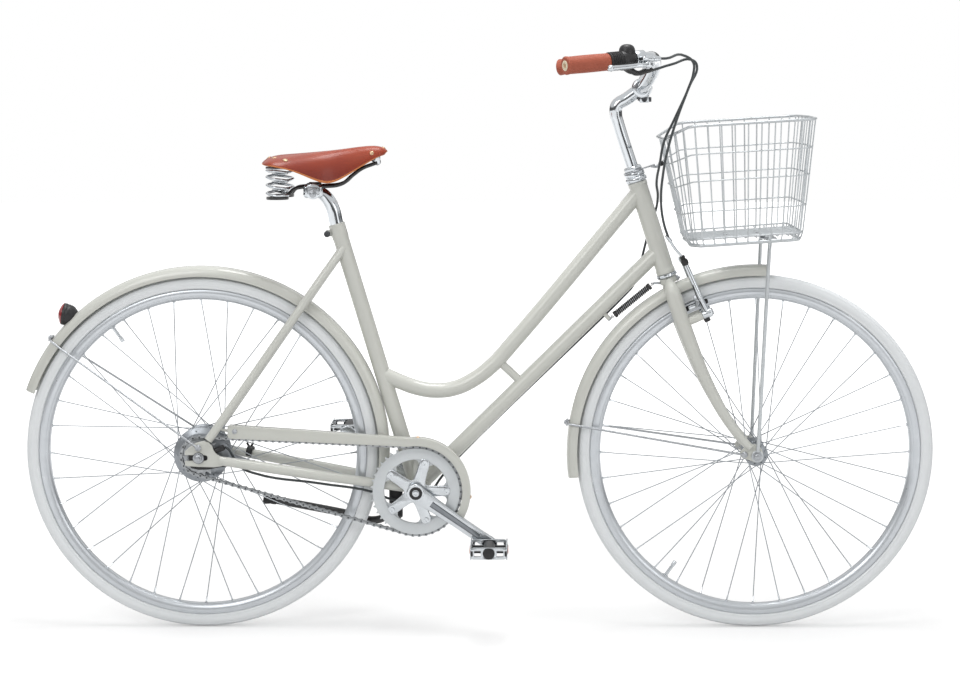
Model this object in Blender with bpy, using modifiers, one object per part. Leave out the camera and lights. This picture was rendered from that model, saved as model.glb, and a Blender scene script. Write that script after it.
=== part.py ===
"""Step-through city bicycle with a hub gear, mudguards and a wire basket.

Metres. +X is forward, +Z is up and the chain side is at -Y. The origin is on the ground, midway
between the two axles. Every part is an object of its own, named for what it is.
"""
import bpy
import bmesh
from math import asin, atan2, ceil, cos, pi, radians, sin, sqrt
from mathutils import Matrix, Vector

for leftover in list(bpy.data.objects):
    bpy.data.objects.remove(leftover, do_unlink=True)

# General
GAP = 0.0003                  # air between parts that touch on the real bicycle
X, Y, Z = Vector((1, 0, 0)), Vector((0, 1, 0)), Vector((0, 0, 1))

# Wheels: a 32-622 tyre on a box rim, 36 spokes crossed three times
WHEELBASE = 1.0625
TYRE_RADIUS = 0.342
TYRE_HALF_WIDTH = 0.0163
RIM_FLANGE_RADIUS = 0.3165
RIM_DEPTH = 0.020
RIM_HALF_WIDTH = 0.012
WHEEL_STEPS = 32
SPOKE_COUNT = 36
SPOKE_CROSSINGS = 3
SPOKE_RADIUS = 0.0013
VALVE_LENGTH = 0.034
VALVE_RADIUS = 0.003

# Frame geometry
REAR_CENTRE = 0.41325         # from the rear axle forward to the bottom bracket
BB_DROP = 0.068
SEAT_ANGLE = radians(73.48)
SEAT_TUBE_LENGTH = 0.531
HEAD_ANGLE = radians(72.12)
HEAD_LENGTH = 0.1824
FORK_SETBACK = 0.17185        # from the front axle back to the lower end of the head tube
FORK_HEIGHT = 0.3451
DOWN_TUBE_RADIUS = 0.0148
TOP_TUBE_RADIUS = 0.0148
SEAT_TUBE_RADIUS = 0.0151
HEAD_TUBE_RADIUS = 0.0173
HEAD_BORE_RADIUS = 0.0150
BB_SHELL_RADIUS = 0.0195
BB_SHELL_HALF_WIDTH = 0.034
BB_BORE_RADIUS = 0.0170
SEAT_STAY_RADIUS = 0.0081
CHAIN_STAY_RADIUS = 0.0098
STRUT_RADIUS = 0.0080
DROPOUT_INNER = 0.065         # half the width between the rear dropouts
DROPOUT_THICKNESS = 0.005
DROPOUT_SLOT = 0.0108

# Fork and headset
STEERER_RADIUS = 0.0127
HEADSET_RADIUS = 0.0200
LOWER_STACK = 0.0080
UPPER_STACK = 0.0195
BRACKET_THICKNESS = 0.0025
LOCKNUT_HEIGHT = 0.0082
CROWN_RADIUS = 0.0165
CROWN_DEPTH = 0.0110
BLADE_RADIUS = 0.0150
BLADE_TIP_RADIUS = 0.0075
FORK_INNER = 0.050            # half the width between the fork ends
FORK_END_THICKNESS = 0.005

# Stem, handlebar and controls
QUILL_RADIUS = 0.01105
STEM_ARM_RADIUS = 0.0125
STEM_CLAMP_RADIUS = 0.0185
STEM_CLAMP_HALF = 0.020
BAR_RADIUS = 0.0111
GRIP_RADIUS = 0.0155
GRIP_LENGTH = 0.085
LEFT_GRIP_LENGTH = 0.125
TWIST_RADIUS = 0.0170
TWIST_LENGTH = 0.0255
SHIFTER_RADIUS = 0.0180
SHIFTER_LENGTH = 0.0280
PERCH_RADIUS = 0.0155
PERCH_LENGTH = 0.0200
LEVER_LENGTH = 0.085
LEVER_OFFSET = 0.032

# Seat
POST_RADIUS = 0.01338
POST_BORE_RADIUS = 0.01405
POST_DEPTH = 0.120            # length of the post inside the seat tube
POST_BORE_DEPTH = 0.150
RAIL_RADIUS = 0.0035
LEATHER_THICKNESS = 0.0045
SADDLE_LENGTH = 0.240
SADDLE_HALF_WIDTH = 0.103
COIL_RADIUS = 0.0195
COIL_WIRE = 0.0026
COIL_TURNS = 3.5
COIL_SPREAD = 0.050           # from the middle to each coil

# Drive
PITCH = 0.0127
RING_TEETH = 42
SPROCKET_TEETH = 18
LINKS = 96
CHAIN_LINE = -0.0465
RING_THICKNESS = 0.0024
CHAIN_HALF_WIDTH = 0.0036
PIN_HALF_HEIGHT = 0.0042
WAIST_HALF_HEIGHT = 0.0032
ROLLER_LENGTH = 0.0064
WAIST_SHARE = 0.255           # half the straight part of a link that meets a tooth
TOOTH_BASE = 0.0056
ROOT_DEPTH = 0.0050
TOOTH_HEIGHT = 0.0084
RING_WINDOW_RADIUS = 0.0620
BOLT_CIRCLE_RADIUS = 0.0550
CRANK_LENGTH = 0.170
CRANK_ANGLE = radians(-34.7)
CRANK_INNER = 0.062           # from the middle to the inner face of each crank
CRANK_THICKNESS = 0.012
SPINDLE_RADIUS = 0.0085
SPINDLE_HALF = 0.060
PEDAL_SPINDLE_RADIUS = 0.0045
PEDAL_INNER = 0.079
PEDAL_WIDTH = 0.092
PEDAL_LENGTH = 0.070
PEDAL_HEIGHT = 0.024
GUARD_RADIUS = 0.104
GUARD_SHEET = 0.0012
GUARD_FACE = -0.0550

# Mudguards and their stays
MUDGUARD_RADIUS = 0.3615
MUDGUARD_HALF_WIDTH = 0.0225
MUDGUARD_SIDE = 0.0195
MUDGUARD_SHEET = 0.0012
STAY_RADIUS = 0.0021

# Hubs and axles
REAR_AXLE_RADIUS = 0.0050
FRONT_AXLE_RADIUS = 0.0045

# Steering damper spring
DAMPER_COIL_RADIUS = 0.0050
DAMPER_WIRE = 0.0012
DAMPER_TURNS = 7

# Kickstand
STAND_RADIUS = 0.0078
STAND_PIN_RADIUS = 0.0060
STAND_TILT = 0.116            # rise of the fold axis for each metre to the left

# Basket wire and cables
BASKET_WIRE = 0.0017
BASKET_RIM_WIRE = 0.0028
BASKET_ROD = 0.0038
CABLE_RADIUS = 0.0024

# Main points
REAR = Vector((-WHEELBASE / 2, 0, TYRE_RADIUS))
FRONT = Vector((WHEELBASE / 2, 0, TYRE_RADIUS))
BB = REAR + Vector((REAR_CENTRE, 0, -BB_DROP))
SEAT_UP = Vector((-cos(SEAT_ANGLE), 0, sin(SEAT_ANGLE)))
SEAT_TOP = BB + SEAT_UP * SEAT_TUBE_LENGTH
HEAD_UP = Vector((-cos(HEAD_ANGLE), 0, sin(HEAD_ANGLE)))
HEAD_FORWARD = Vector((sin(HEAD_ANGLE), 0, cos(HEAD_ANGLE)))
HEAD_LOW = FRONT + Vector((-FORK_SETBACK, 0, FORK_HEIGHT))
STEERER_TOP = HEAD_LENGTH + UPPER_STACK + BRACKET_THICKNESS + LOCKNUT_HEIGHT

PARTS = bpy.data.collections.new("city_bicycle")
bpy.context.scene.collection.children.link(PARTS)


def paint(name, colour, roughness, metallic):
    """A Principled material of one colour."""
    made = bpy.data.materials.new(name)
    made.use_nodes = True
    shader = made.node_tree.nodes["Principled BSDF"]
    shader.inputs["Base Color"].default_value = (*colour, 1.0)
    shader.inputs["Roughness"].default_value = roughness
    shader.inputs["Metallic"].default_value = metallic
    return made


# Colour, roughness and metallic value of each finish
ENAMEL = (0.55, 0.56, 0.52), 0.35, 0.0
CHROME = (0.80, 0.81, 0.82), 0.12, 1.0
ALLOY = (0.72, 0.73, 0.74), 0.28, 1.0
STEEL = (0.62, 0.63, 0.64), 0.32, 1.0
DARK_STEEL = (0.30, 0.31, 0.32), 0.40, 1.0
RUBBER_WHITE = (0.78, 0.79, 0.80), 0.65, 0.0
RUBBER_BLACK = (0.02, 0.02, 0.02), 0.60, 0.0
PLASTIC_BLACK = (0.03, 0.03, 0.03), 0.45, 0.0
LEATHER = (0.40, 0.09, 0.025), 0.38, 0.0
GRIP_BROWN = (0.34, 0.10, 0.05), 0.60, 0.0
LENS_RED = (0.50, 0.02, 0.02), 0.20, 0.0


def step(base, x, z, y=0.0):
    """The point x forward, z up and y to the left of a main point."""
    return base + Vector((x, y, z))


def steer(rise, forward=0.0, y=0.0):
    """A point given by its height along the steering axis and its distance in front of it."""
    return HEAD_LOW + HEAD_UP * rise + HEAD_FORWARD * forward + Y * y


def aim(origin, direction):
    """A placing matrix whose local Z runs along the direction; in the XZ plane its local Y is world Y."""
    up = direction.normalized()
    guide = X if abs(up.x) < 0.9 else -Z
    side = up.cross(guide).normalized()
    placed = Matrix((side.cross(up), side, up)).transposed().to_4x4()
    placed.translation = origin
    return placed


def bore(shaft_radius, sides):
    """The corner radius of a faceted hole whose flats clear a shaft by the gap."""
    return (shaft_radius + GAP) / cos(pi / sides)


def smooth(points, spacing):
    """Points about one spacing apart on a smooth curve through the given ones, in any dimension."""
    rows = [tuple(p) for p in points]
    ends = [rows[0]] + rows + [rows[-1]]
    result = []
    for a, b, c, d in zip(ends, ends[1:], ends[2:], ends[3:]):
        count = max(1, ceil(sqrt(sum((q - p) ** 2 for p, q in zip(b[:3], c[:3]))) / spacing))
        for k in range(count):
            t = k / count
            result.append(tuple(
                0.5 * (2 * q + (r - p) * t + (2 * p - 5 * q + 4 * r - s) * t * t
                       + (3 * q - p - 3 * r + s) * t ** 3)
                for p, q, r, s in zip(a, b, c, d)))
    result.append(rows[-1])
    return result


def finish(obj, name, look):
    """Name a shape and give it a material of its own."""
    obj.name = name
    obj.data.name = name
    obj.data.materials.clear()
    obj.data.materials.append(paint(name, *look))
    obj.data.shade_smooth()
    obj.data.set_sharp_from_angle(angle=radians(35))
    return obj


def add_mesh(bm):
    """An object made from an edit mesh."""
    mesh = bpy.data.meshes.new("shape")
    bm.to_mesh(mesh)
    bm.free()
    obj = bpy.data.objects.new("shape", mesh)
    PARTS.objects.link(obj)
    return obj


def as_mesh(obj, weld=0.000005):
    """The evaluated shape as one closed mesh in world space, with its faces pointing out."""
    bpy.context.view_layer.update()
    seen = obj.evaluated_get(bpy.context.evaluated_depsgraph_get())
    bm = bmesh.new()
    copy = bpy.data.meshes.new_from_object(seen)
    bm.from_mesh(copy)
    bm.transform(obj.matrix_world)
    bmesh.ops.remove_doubles(bm, verts=bm.verts, dist=weld)
    bmesh.ops.dissolve_degenerate(bm, edges=bm.edges, dist=0.000002)
    bmesh.ops.recalc_face_normals(bm, faces=bm.faces)
    bpy.data.meshes.remove(copy)
    bpy.data.objects.remove(obj, do_unlink=True)
    return add_mesh(bm)


def rod(start, end, radius, sides=12, end_radius=None):
    """A round or tapered bar between two points."""
    start, end = Vector(start), Vector(end)
    bm = bmesh.new()
    bmesh.ops.create_cone(
        bm, cap_ends=True, segments=sides, radius1=radius,
        radius2=radius if end_radius is None else end_radius, depth=(end - start).length)
    bm.transform(aim((start + end) / 2, end - start))
    return add_mesh(bm)


def block(centre, size, facing=X):
    """A box at a centre, its length along facing and its second size along Y where facing allows it."""
    bm = bmesh.new()
    bmesh.ops.create_cube(bm, size=1.0)
    bm.transform(aim(centre, facing) @ Matrix.Diagonal((size[2], size[1], size[0], 1)))
    return add_mesh(bm)


def ball(centre, radius, sides=8):
    """A small round end."""
    bm = bmesh.new()
    bmesh.ops.create_uvsphere(bm, u_segments=sides, v_segments=sides // 2 + 1, radius=radius)
    bm.transform(Matrix.Translation(centre))
    return add_mesh(bm)


def tube(points, radius, resolution=2):
    """A bent bar through points; a fourth value of a point is its own radius."""
    curve = bpy.data.curves.new("bar", "CURVE")
    curve.dimensions = "3D"
    curve.bevel_depth = radius
    curve.bevel_resolution = resolution
    curve.use_fill_caps = True
    line = curve.splines.new("POLY")
    line.points.add(len(points) - 1)
    for target, point in zip(line.points, points):
        target.co = (point[0], point[1], point[2], 1.0)
        target.radius = point[3] / radius if len(point) > 3 else 1.0
    obj = bpy.data.objects.new("bar", curve)
    PARTS.objects.link(obj)
    return as_mesh(obj)


def plate(loops, thickness, y):
    """A flat sheet cut to outlines of (x, z) points, its middle plane at y."""
    curve = bpy.data.curves.new("sheet", "CURVE")
    curve.dimensions = "2D"
    curve.fill_mode = "BOTH"
    curve.extrude = thickness / 2
    for loop in loops:
        line = curve.splines.new("POLY")
        line.use_cyclic_u = True
        line.points.add(len(loop) - 1)
        for target, (x, z) in zip(line.points, loop):
            target.co = (x, z, 0.0, 1.0)
    obj = bpy.data.objects.new("sheet", curve)
    PARTS.objects.link(obj)
    obj.matrix_world = Matrix.Translation(Y * y) @ Matrix.Rotation(pi / 2, 4, "X")
    return as_mesh(obj)


def turned(profile, origin, direction, steps, closed=True, start=0.0, sweep=2 * pi, sheet=0.0):
    """A turned shape from (radius, height) points; a part turn of a sheet gets its thickness."""
    mesh = bpy.data.meshes.new("profile")
    count = len(profile)
    edges = [(k, (k + 1) % count) for k in range(count if closed else count - 1)]
    mesh.from_pydata([(r * cos(start), r * sin(start), h) for r, h in profile], edges, [])
    obj = bpy.data.objects.new("profile", mesh)
    PARTS.objects.link(obj)
    obj.matrix_world = aim(origin, direction)
    screw = obj.modifiers.new("turn", "SCREW")
    screw.axis = "Z"
    screw.angle = sweep
    screw.steps = steps
    screw.render_steps = steps
    screw.use_merge_vertices = sweep >= 2 * pi
    screw.merge_threshold = 0.00001
    screw.use_normal_calculate = True
    if sheet:
        solid = obj.modifiers.new("sheet", "SOLIDIFY")
        solid.thickness = sheet
        solid.offset = 0.0
        solid.use_even_offset = True
    return as_mesh(obj)


def arc(centre, radius, first, last, count):
    """Points (x, z) along an arc, angles from +X towards +Z."""
    return [(centre.x + radius * cos(first + (last - first) * k / count),
             centre.z + radius * sin(first + (last - first) * k / count))
            for k in range(count + 1)]


def boolean(base, operands, operation):
    """Join to or cut from a shape each of the operands, which are used up."""
    for other in operands:
        change = base.modifiers.new("change", "BOOLEAN")
        change.operation = operation
        change.solver = "EXACT"
        change.object = other
        base = as_mesh(base)
        bpy.data.objects.remove(other, do_unlink=True)
    return base


def join(shapes):
    """One body from shapes that reach into each other."""
    return boolean(shapes[0], shapes[1:], "UNION")


def cut(base, cutters):
    """A shape less its cutters."""
    return boolean(base, cutters, "DIFFERENCE")


def together(shapes):
    """Shapes that don't meet, as one object."""
    bm = bmesh.new()
    for shape in shapes:
        bm.from_mesh(shape.data)
        bpy.data.objects.remove(shape, do_unlink=True)
    return add_mesh(bm)


def hexagon(start, end, radius):
    """A nut or a bolt head."""
    return rod(start, end, radius, sides=6)


# Wheels
WHEEL_AXIS = -Y
FLAT = 1 / cos(pi / WHEEL_STEPS)
HALF_STEP = pi / WHEEL_STEPS
RIM_INNER_RADIUS = RIM_FLANGE_RADIUS - RIM_DEPTH


def ring_profile(half):
    """A profile that is the same on both sides of the wheel's middle plane."""
    points = [(r * FLAT, h) for r, h in half]
    return points + [(r, -h) for r, h in reversed(points)]


def make_tyre(name, hub):
    half = [(RIM_FLANGE_RADIUS + GAP, 0.0108), (RIM_FLANGE_RADIUS + 0.0105, TYRE_HALF_WIDTH),
            (TYRE_RADIUS - 0.0055, TYRE_HALF_WIDTH * 0.80), (TYRE_RADIUS, TYRE_HALF_WIDTH * 0.34)]
    finish(turned(ring_profile(half), hub, WHEEL_AXIS, WHEEL_STEPS, start=HALF_STEP), name, RUBBER_WHITE)


def make_rim(name, hub, valve_angle):
    half = [(RIM_INNER_RADIUS, RIM_HALF_WIDTH * 0.62), (RIM_INNER_RADIUS + 0.0065, RIM_HALF_WIDTH),
            (RIM_FLANGE_RADIUS, RIM_HALF_WIDTH)]
    rim = turned(ring_profile(half), hub, WHEEL_AXIS, WHEEL_STEPS, start=HALF_STEP)
    outward = Vector((cos(valve_angle), 0, sin(valve_angle)))
    valve = rod(hub + outward * (RIM_INNER_RADIUS + 0.003), hub + outward * (RIM_INNER_RADIUS - VALVE_LENGTH),
                VALVE_RADIUS, 6, VALVE_RADIUS * 0.75)
    finish(join([rim, valve]), name, ALLOY)


def make_hub(name, hub, profile, flanges, steps):
    """A hub with its spokes, half of them on each flange, crossed and laced to the rim."""
    spokes = []
    per_flange = SPOKE_COUNT // 2
    lean = 2 * pi * SPOKE_CROSSINGS / per_flange
    for flange_y, hole_radius, first in flanges:
        for k in range(per_flange):
            angle = first + 2 * pi * k / per_flange
            sense = 1 if k % 2 else -1
            far = angle + sense * lean
            side = 1 if flange_y > 0 else -1
            start = Vector((hole_radius * cos(angle), flange_y + sense * 0.0016, hole_radius * sin(angle)))
            reach = RIM_INNER_RADIUS - GAP
            end = Vector((reach * cos(far), side * 0.0022 + sense * 0.0014, reach * sin(far)))
            spokes.append(rod(hub + start, hub + end, SPOKE_RADIUS, sides=3))
    body = turned(profile, hub, WHEEL_AXIS, steps)
    finish(join([body, together(spokes)]), name, ALLOY)


def make_wheels():
    half_hole = pi * 2 / SPOKE_COUNT
    bore_radius = bore(FRONT_AXLE_RADIUS, 12)
    half = [(bore_radius, 0.0485), (0.0090, 0.0485), (0.0105, 0.0370), (0.0225, 0.0342), (0.0225, 0.0316),
            (0.0130, 0.0290)]
    front = half + [(r, -h) for r, h in reversed(half)]
    make_hub("front_hub", FRONT, front,
             [(-0.0329, 0.0195, 0.0), (0.0329, 0.0195, half_hole)], 12)
    bore_radius = bore(REAR_AXLE_RADIUS, 14)
    rear = [(bore_radius, 0.0360), (0.0420, 0.0360), (0.0530, 0.0315), (0.0530, 0.0285), (0.0370, 0.0260),
            (0.0370, -0.0240), (0.0510, -0.0265), (0.0510, -0.0295), (0.0340, -0.0350), (0.0210, -0.0500),
            (bore_radius, -0.0500)]
    make_hub("rear_hub", REAR, rear, [(-0.0300, 0.0465, 0.0), (0.0280, 0.0450, half_hole)], 14)
    for name, hub, valve_angle in (("rear", REAR, radians(125)), ("front", FRONT, radians(235))):
        make_tyre(f"{name}_tyre", hub)
        make_rim(f"{name}_rim", hub, valve_angle)


# Frame
SEAT_JOINT = 0.2295           # up the seat tube to the top tube
STAY_JOINT = 0.484            # up the seat tube to the seat stays
DOWN_JOINT = 0.0453           # up the head tube to the down tube
TOP_JOINT = 0.1642            # up the head tube to the top tube
TOP_TUBE_SWEEP = [(-0.032, 0.2050), (0.003, 0.1925), (0.0387, 0.1876), (0.0730, 0.1920),
                  (0.1059, 0.2066), (0.1452, 0.2361), (0.1847, 0.2794)]
STRUT_TOP = (0.156, 0.2464)
STRUT_LOW = (0.2059, 0.1993)
SEAT_STAY_BENDS = [(0.259, 0.372, 0.017), (0.231, 0.333, 0.030), (0.201, 0.2906, 0.0355), (0.131, 0.192, 0.046),
                   (0.0187, 0.0333, 0.066)]
CHAIN_STAY_BENDS = [(0.4073, -0.066, 0.026, 0.0088), (0.3813, -0.0625, 0.0325, 0.0088),
                    (0.3263, -0.0535, 0.0345, 0.0092), (0.2293, -0.0376, 0.0475, 0.0098),
                    (0.1013, -0.016, 0.0600, 0.0098), (0.0393, -0.0055, 0.0665, 0.0086)]
STAY_BRIDGE = (0.2132, 0.308)
LOW_BRIDGE = (0.3735, -0.060)
DAMPER_TAB = (0.370, 0.325)   # from the bottom bracket to the lower hook of the damper spring
GUARD_BOLT = (0.0680, 0.0490)
GUARD_ARM_ANGLES = (radians(88), radians(-6))


def down_tube_point(share):
    """A point on the middle line of the down tube."""
    return BB.lerp(steer(DOWN_JOINT), share)


def seat_stay(side):
    path = [tuple(BB + SEAT_UP * STAY_JOINT + Y * side * 0.009)]
    path += [tuple(step(REAR, x, z, side * y)) for x, z, y in SEAT_STAY_BENDS]
    return path


def chain_stay(side):
    return [(*step(REAR, x, z, side * y), r) for x, z, y, r in CHAIN_STAY_BENDS]


def dropout(side):
    half = DROPOUT_SLOT / 2
    corners = [(-0.0258, half), (-0.0258, 0.0140), (-0.0100, 0.0270), (0.0110, 0.0320), (0.0285, 0.0245),
               (0.0530, 0.0060), (0.0560, -0.0110), (0.0300, -0.0180), (-0.0240, -0.0155), (-0.0258, -half),
               (0.0125, -half), (0.0172, -half * 0.5), (0.0172, half * 0.5), (0.0125, half)]
    middle = DROPOUT_INNER + DROPOUT_THICKNESS / 2
    return plate([[(REAR.x + x, REAR.z + z) for x, z in corners]], DROPOUT_THICKNESS, side * middle)


def make_frame():
    head = rod(HEAD_LOW, steer(HEAD_LENGTH), HEAD_TUBE_RADIUS, 14)
    seat_tube = rod(BB, SEAT_TOP, SEAT_TUBE_RADIUS, 14)
    down_tube = rod(BB, steer(DOWN_JOINT), DOWN_TUBE_RADIUS, 10)
    sweep = [BB + SEAT_UP * SEAT_JOINT] + [step(BB, x, z) for x, z in TOP_TUBE_SWEEP]
    top_tube = tube([tuple(p) for p in sweep + [steer(TOP_JOINT)]], TOP_TUBE_RADIUS, 3)
    strut = rod(step(BB, *STRUT_TOP), step(BB, *STRUT_LOW), STRUT_RADIUS, 8)
    shell = rod(step(BB, 0, 0, -BB_SHELL_HALF_WIDTH), step(BB, 0, 0, BB_SHELL_HALF_WIDTH), BB_SHELL_RADIUS, 16)
    shapes = [shell, seat_tube, down_tube, top_tube, head, strut]
    for side in (-1, 1):
        shapes.append(tube(seat_stay(side), SEAT_STAY_RADIUS, 2))
        shapes.append(tube(chain_stay(side), CHAIN_STAY_RADIUS, 2))
        shapes.append(dropout(side))
    upper, lower = step(REAR, *STAY_BRIDGE), step(REAR, *LOW_BRIDGE)
    shapes.append(rod(upper - Y * 0.033, upper + Y * 0.033, 0.0050, 6))
    shapes.append(rod(lower - Y * 0.032, lower + Y * 0.032, 0.0050, 6))
    ear = SEAT_TOP - SEAT_UP * 0.0135
    back = Vector((-SEAT_UP.z, 0, SEAT_UP.x))
    shapes.append(block(ear + back * 0.017, (0.013, 0.013, 0.014), Y))
    shapes.append(rod(ear + back * 0.022 - Y * 0.0105, ear + back * 0.022 + Y * 0.0105, 0.0062, 8))
    hook = step(BB, *DAMPER_TAB)
    tube_course = (steer(DOWN_JOINT) - BB).normalized()
    shapes.append(rod(hook, hook + Vector((-tube_course.z, 0, tube_course.x)) * 0.0210, 0.0045, 6))
    bolt = step(REAR, *GUARD_BOLT, GUARD_FACE)
    shapes.append(rod(bolt + Y * GAP, bolt + Y * 0.0055, 0.0060, 6))
    arm = [tuple(bolt + Y * 0.0030), tuple(step(REAR, 0.0500, 0.0505, -0.0520)),
           tuple(step(REAR, 0.0350, 0.0563, -0.0620))]
    shapes.append(tube(arm, 0.0024, 1))
    for angle in GUARD_ARM_ANGLES:
        outward = Vector((cos(angle), 0, sin(angle)))
        inner, outer = BB_SHELL_RADIUS - 0.003, GUARD_RADIUS - GUARD_SHEET - GAP
        middle = BB + outward * (inner + outer) / 2 + Y * (-BB_SHELL_HALF_WIDTH - 0.0008)
        shapes.append(block(middle, (outer - inner, 0.0034, 0.014), outward))
    frame = join(shapes)
    cutters = [
        rod(HEAD_LOW - HEAD_UP * 0.002, steer(HEAD_LENGTH + 0.002), HEAD_BORE_RADIUS, 14),
        rod(SEAT_TOP - SEAT_UP * POST_BORE_DEPTH, SEAT_TOP + SEAT_UP * 0.002, POST_BORE_RADIUS, 14),
        rod(step(BB, 0, 0, -BB_SHELL_HALF_WIDTH - 0.004), step(BB, 0, 0, BB_SHELL_HALF_WIDTH + 0.004),
            BB_BORE_RADIUS, 16),
        block(ear + back * 0.018, (0.0016, 0.034, 0.0260), Y),
    ]
    finish(cut(frame, cutters), "frame", ENAMEL)


def make_headset():
    inner = bore(STEERER_RADIUS, 14)
    lower = [(inner, -LOWER_STACK), (0.0185, -LOWER_STACK), (HEADSET_RADIUS, -0.0052), (HEADSET_RADIUS, -0.0025),
             (0.0178, -GAP), (inner, -GAP)]
    finish(turned(lower, HEAD_LOW, HEAD_UP, 14), "headset_lower_cup", CHROME)
    upper = [(inner, GAP), (0.0178, GAP), (HEADSET_RADIUS, 0.0030), (HEADSET_RADIUS, 0.0080),
             (0.0175, 0.0105), (0.0190, 0.0130), (0.0190, UPPER_STACK), (inner, UPPER_STACK)]
    finish(turned(upper, steer(HEAD_LENGTH), HEAD_UP, 14), "headset_upper_cup", CHROME)
    top = HEAD_LENGTH + UPPER_STACK + BRACKET_THICKNESS + 2 * GAP
    nut = hexagon(steer(top), steer(top + LOCKNUT_HEIGHT), 0.0190)
    hole = rod(steer(top - 0.001), steer(top + LOCKNUT_HEIGHT + 0.001), inner, 14)
    finish(cut(nut, [hole]), "headset_locknut", CHROME)


def make_bottom_bracket():
    outer = BB_BORE_RADIUS * cos(pi / 16) - GAP
    inner = bore(SPINDLE_RADIUS, 12)
    half = BB_SHELL_HALF_WIDTH
    profile = [(inner, -half), (outer, -half), (outer, half), (inner, half)]
    finish(turned(profile, BB, WHEEL_AXIS, 12), "bottom_bracket_cartridge", DARK_STEEL)
    finish(rod(BB - Y * SPINDLE_HALF, BB + Y * SPINDLE_HALF, SPINDLE_RADIUS, 12), "crank_spindle", STEEL)


# Mudguards
REAR_GUARD_SPAN = (radians(-5.7), radians(160.0))
REAR_GUARD_STEPS = 19
FRONT_GUARD_SPAN = (radians(86.4), radians(187.8))
FRONT_GUARD_STEPS = 12


def mudguard_sheet(hub, span, steps):
    half = MUDGUARD_HALF_WIDTH - MUDGUARD_SHEET / 2
    crown = MUDGUARD_RADIUS - MUDGUARD_SHEET / 2
    profile = [(crown - MUDGUARD_SIDE, half), (crown - 0.0075, half * 0.88), (crown, half * 0.34)]
    profile += [(r, -h) for r, h in reversed(profile)]
    return turned(profile, hub, WHEEL_AXIS, steps, closed=False, start=span[0], sweep=span[1] - span[0],
                  sheet=MUDGUARD_SHEET)


def make_mudguards():
    rear = mudguard_sheet(REAR, REAR_GUARD_SPAN, REAR_GUARD_STEPS)
    bridge = step(REAR, *STAY_BRIDGE)
    toward = (REAR - bridge).normalized()
    foot = REAR - toward * (MUDGUARD_RADIUS - 0.0010)
    tab = rod(foot, bridge + toward * (0.0050 + GAP), 0.0042, 8)
    finish(join([rear, tab]), "rear_mudguard", ENAMEL)
    front = mudguard_sheet(FRONT, FRONT_GUARD_SPAN, FRONT_GUARD_STEPS)
    crown = steer(-LOWER_STACK - CROWN_DEPTH - 0.0010)
    foot = FRONT + (crown - FRONT).normalized() * (MUDGUARD_RADIUS - 0.0010)
    tab = rod(foot, crown, 0.0060, 8)
    finish(join([front, tab]), "front_mudguard", ENAMEL)


def mudguard_stay(hub, guard_angle, anchor, anchor_y, name):
    """A wire from one fork or frame end round the mudguard to the other, with its bolts."""
    outside = MUDGUARD_RADIUS + STAY_RADIUS + GAP
    away = Vector((cos(guard_angle), 0, sin(guard_angle)))
    along = Vector((-sin(guard_angle), 0, cos(guard_angle)))
    low = MUDGUARD_RADIUS - MUDGUARD_SIDE - 0.006
    spread = MUDGUARD_HALF_WIDTH + STAY_RADIUS + GAP * 2
    half = [step(anchor, 0, 0, anchor_y + STAY_RADIUS + 0.0036), hub + away * low + Y * (spread + 0.002),
            hub + away * (MUDGUARD_RADIUS - 0.0085) + Y * spread, hub + away * outside + Y * (spread - 0.006)]
    path = half + [p - Y * 2 * p.y for p in reversed(half)]
    wire = tube([tuple(p) for p in path], STAY_RADIUS, 1)
    eyes = [rod(step(anchor, 0, 0, side * anchor_y), step(anchor, 0, 0, side * (anchor_y + 0.0072)), 0.0052, 6)
            for side in (-1, 1)]
    bolt = hexagon(hub + away * (outside - STAY_RADIUS), hub + away * (outside + 0.0065), 0.0050)
    clip = block(hub + away * (outside + 0.0010), (0.012, 0.016, 0.0042), along)
    finish(join([wire, clip, bolt] + eyes), name, STEEL)


def make_mudguard_stays():
    mudguard_stay(REAR, radians(142.5), step(REAR, 0.0000, 0.0200),
                  DROPOUT_INNER + DROPOUT_THICKNESS + GAP, "rear_mudguard_stay")
    mudguard_stay(FRONT, radians(170.9), step(FRONT, -0.0245, 0.0035),
                  FORK_INNER + FORK_END_THICKNESS + GAP, "front_mudguard_stay")


LIGHT_CENTRE = (-0.2648, 0.2690)            # from the rear axle to the middle of the lens's edge
LIGHT_FACING = Vector((-0.984, 0, 0.178))
LIGHT_RADIUS = 0.0212


def make_rear_light():
    rim = step(REAR, *LIGHT_CENTRE)
    foot = rim - LIGHT_FACING * 0.0280 - Z * 0.0080
    dish = rod(rim, rim - LIGHT_FACING * 0.0055, LIGHT_RADIUS, 14)
    body = rod(rim - LIGHT_FACING * 0.0090, foot, LIGHT_RADIUS * 0.96, 14, 0.0090)
    shape = arc(REAR, MUDGUARD_RADIUS + GAP, *REAR_GUARD_SPAN, REAR_GUARD_STEPS)
    finish(cut(join([dish, body]), [plate([shape], 0.080, 0.0)]), "rear_light_housing", PLASTIC_BLACK)
    lens = [(0.0, 0.0095), (0.0110, 0.0085), (0.0180, 0.0055), (LIGHT_RADIUS, 0.0010), (LIGHT_RADIUS, 0.0),
            (0.0, 0.0)]
    finish(turned(lens, rim + LIGHT_FACING * GAP, LIGHT_FACING, 14, closed=False), "rear_light_lens", LENS_RED)


# Drive
RING_PITCH_RADIUS = PITCH / (2 * sin(pi / RING_TEETH))
SPROCKET_PITCH_RADIUS = PITCH / (2 * sin(pi / SPROCKET_TEETH))


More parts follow.
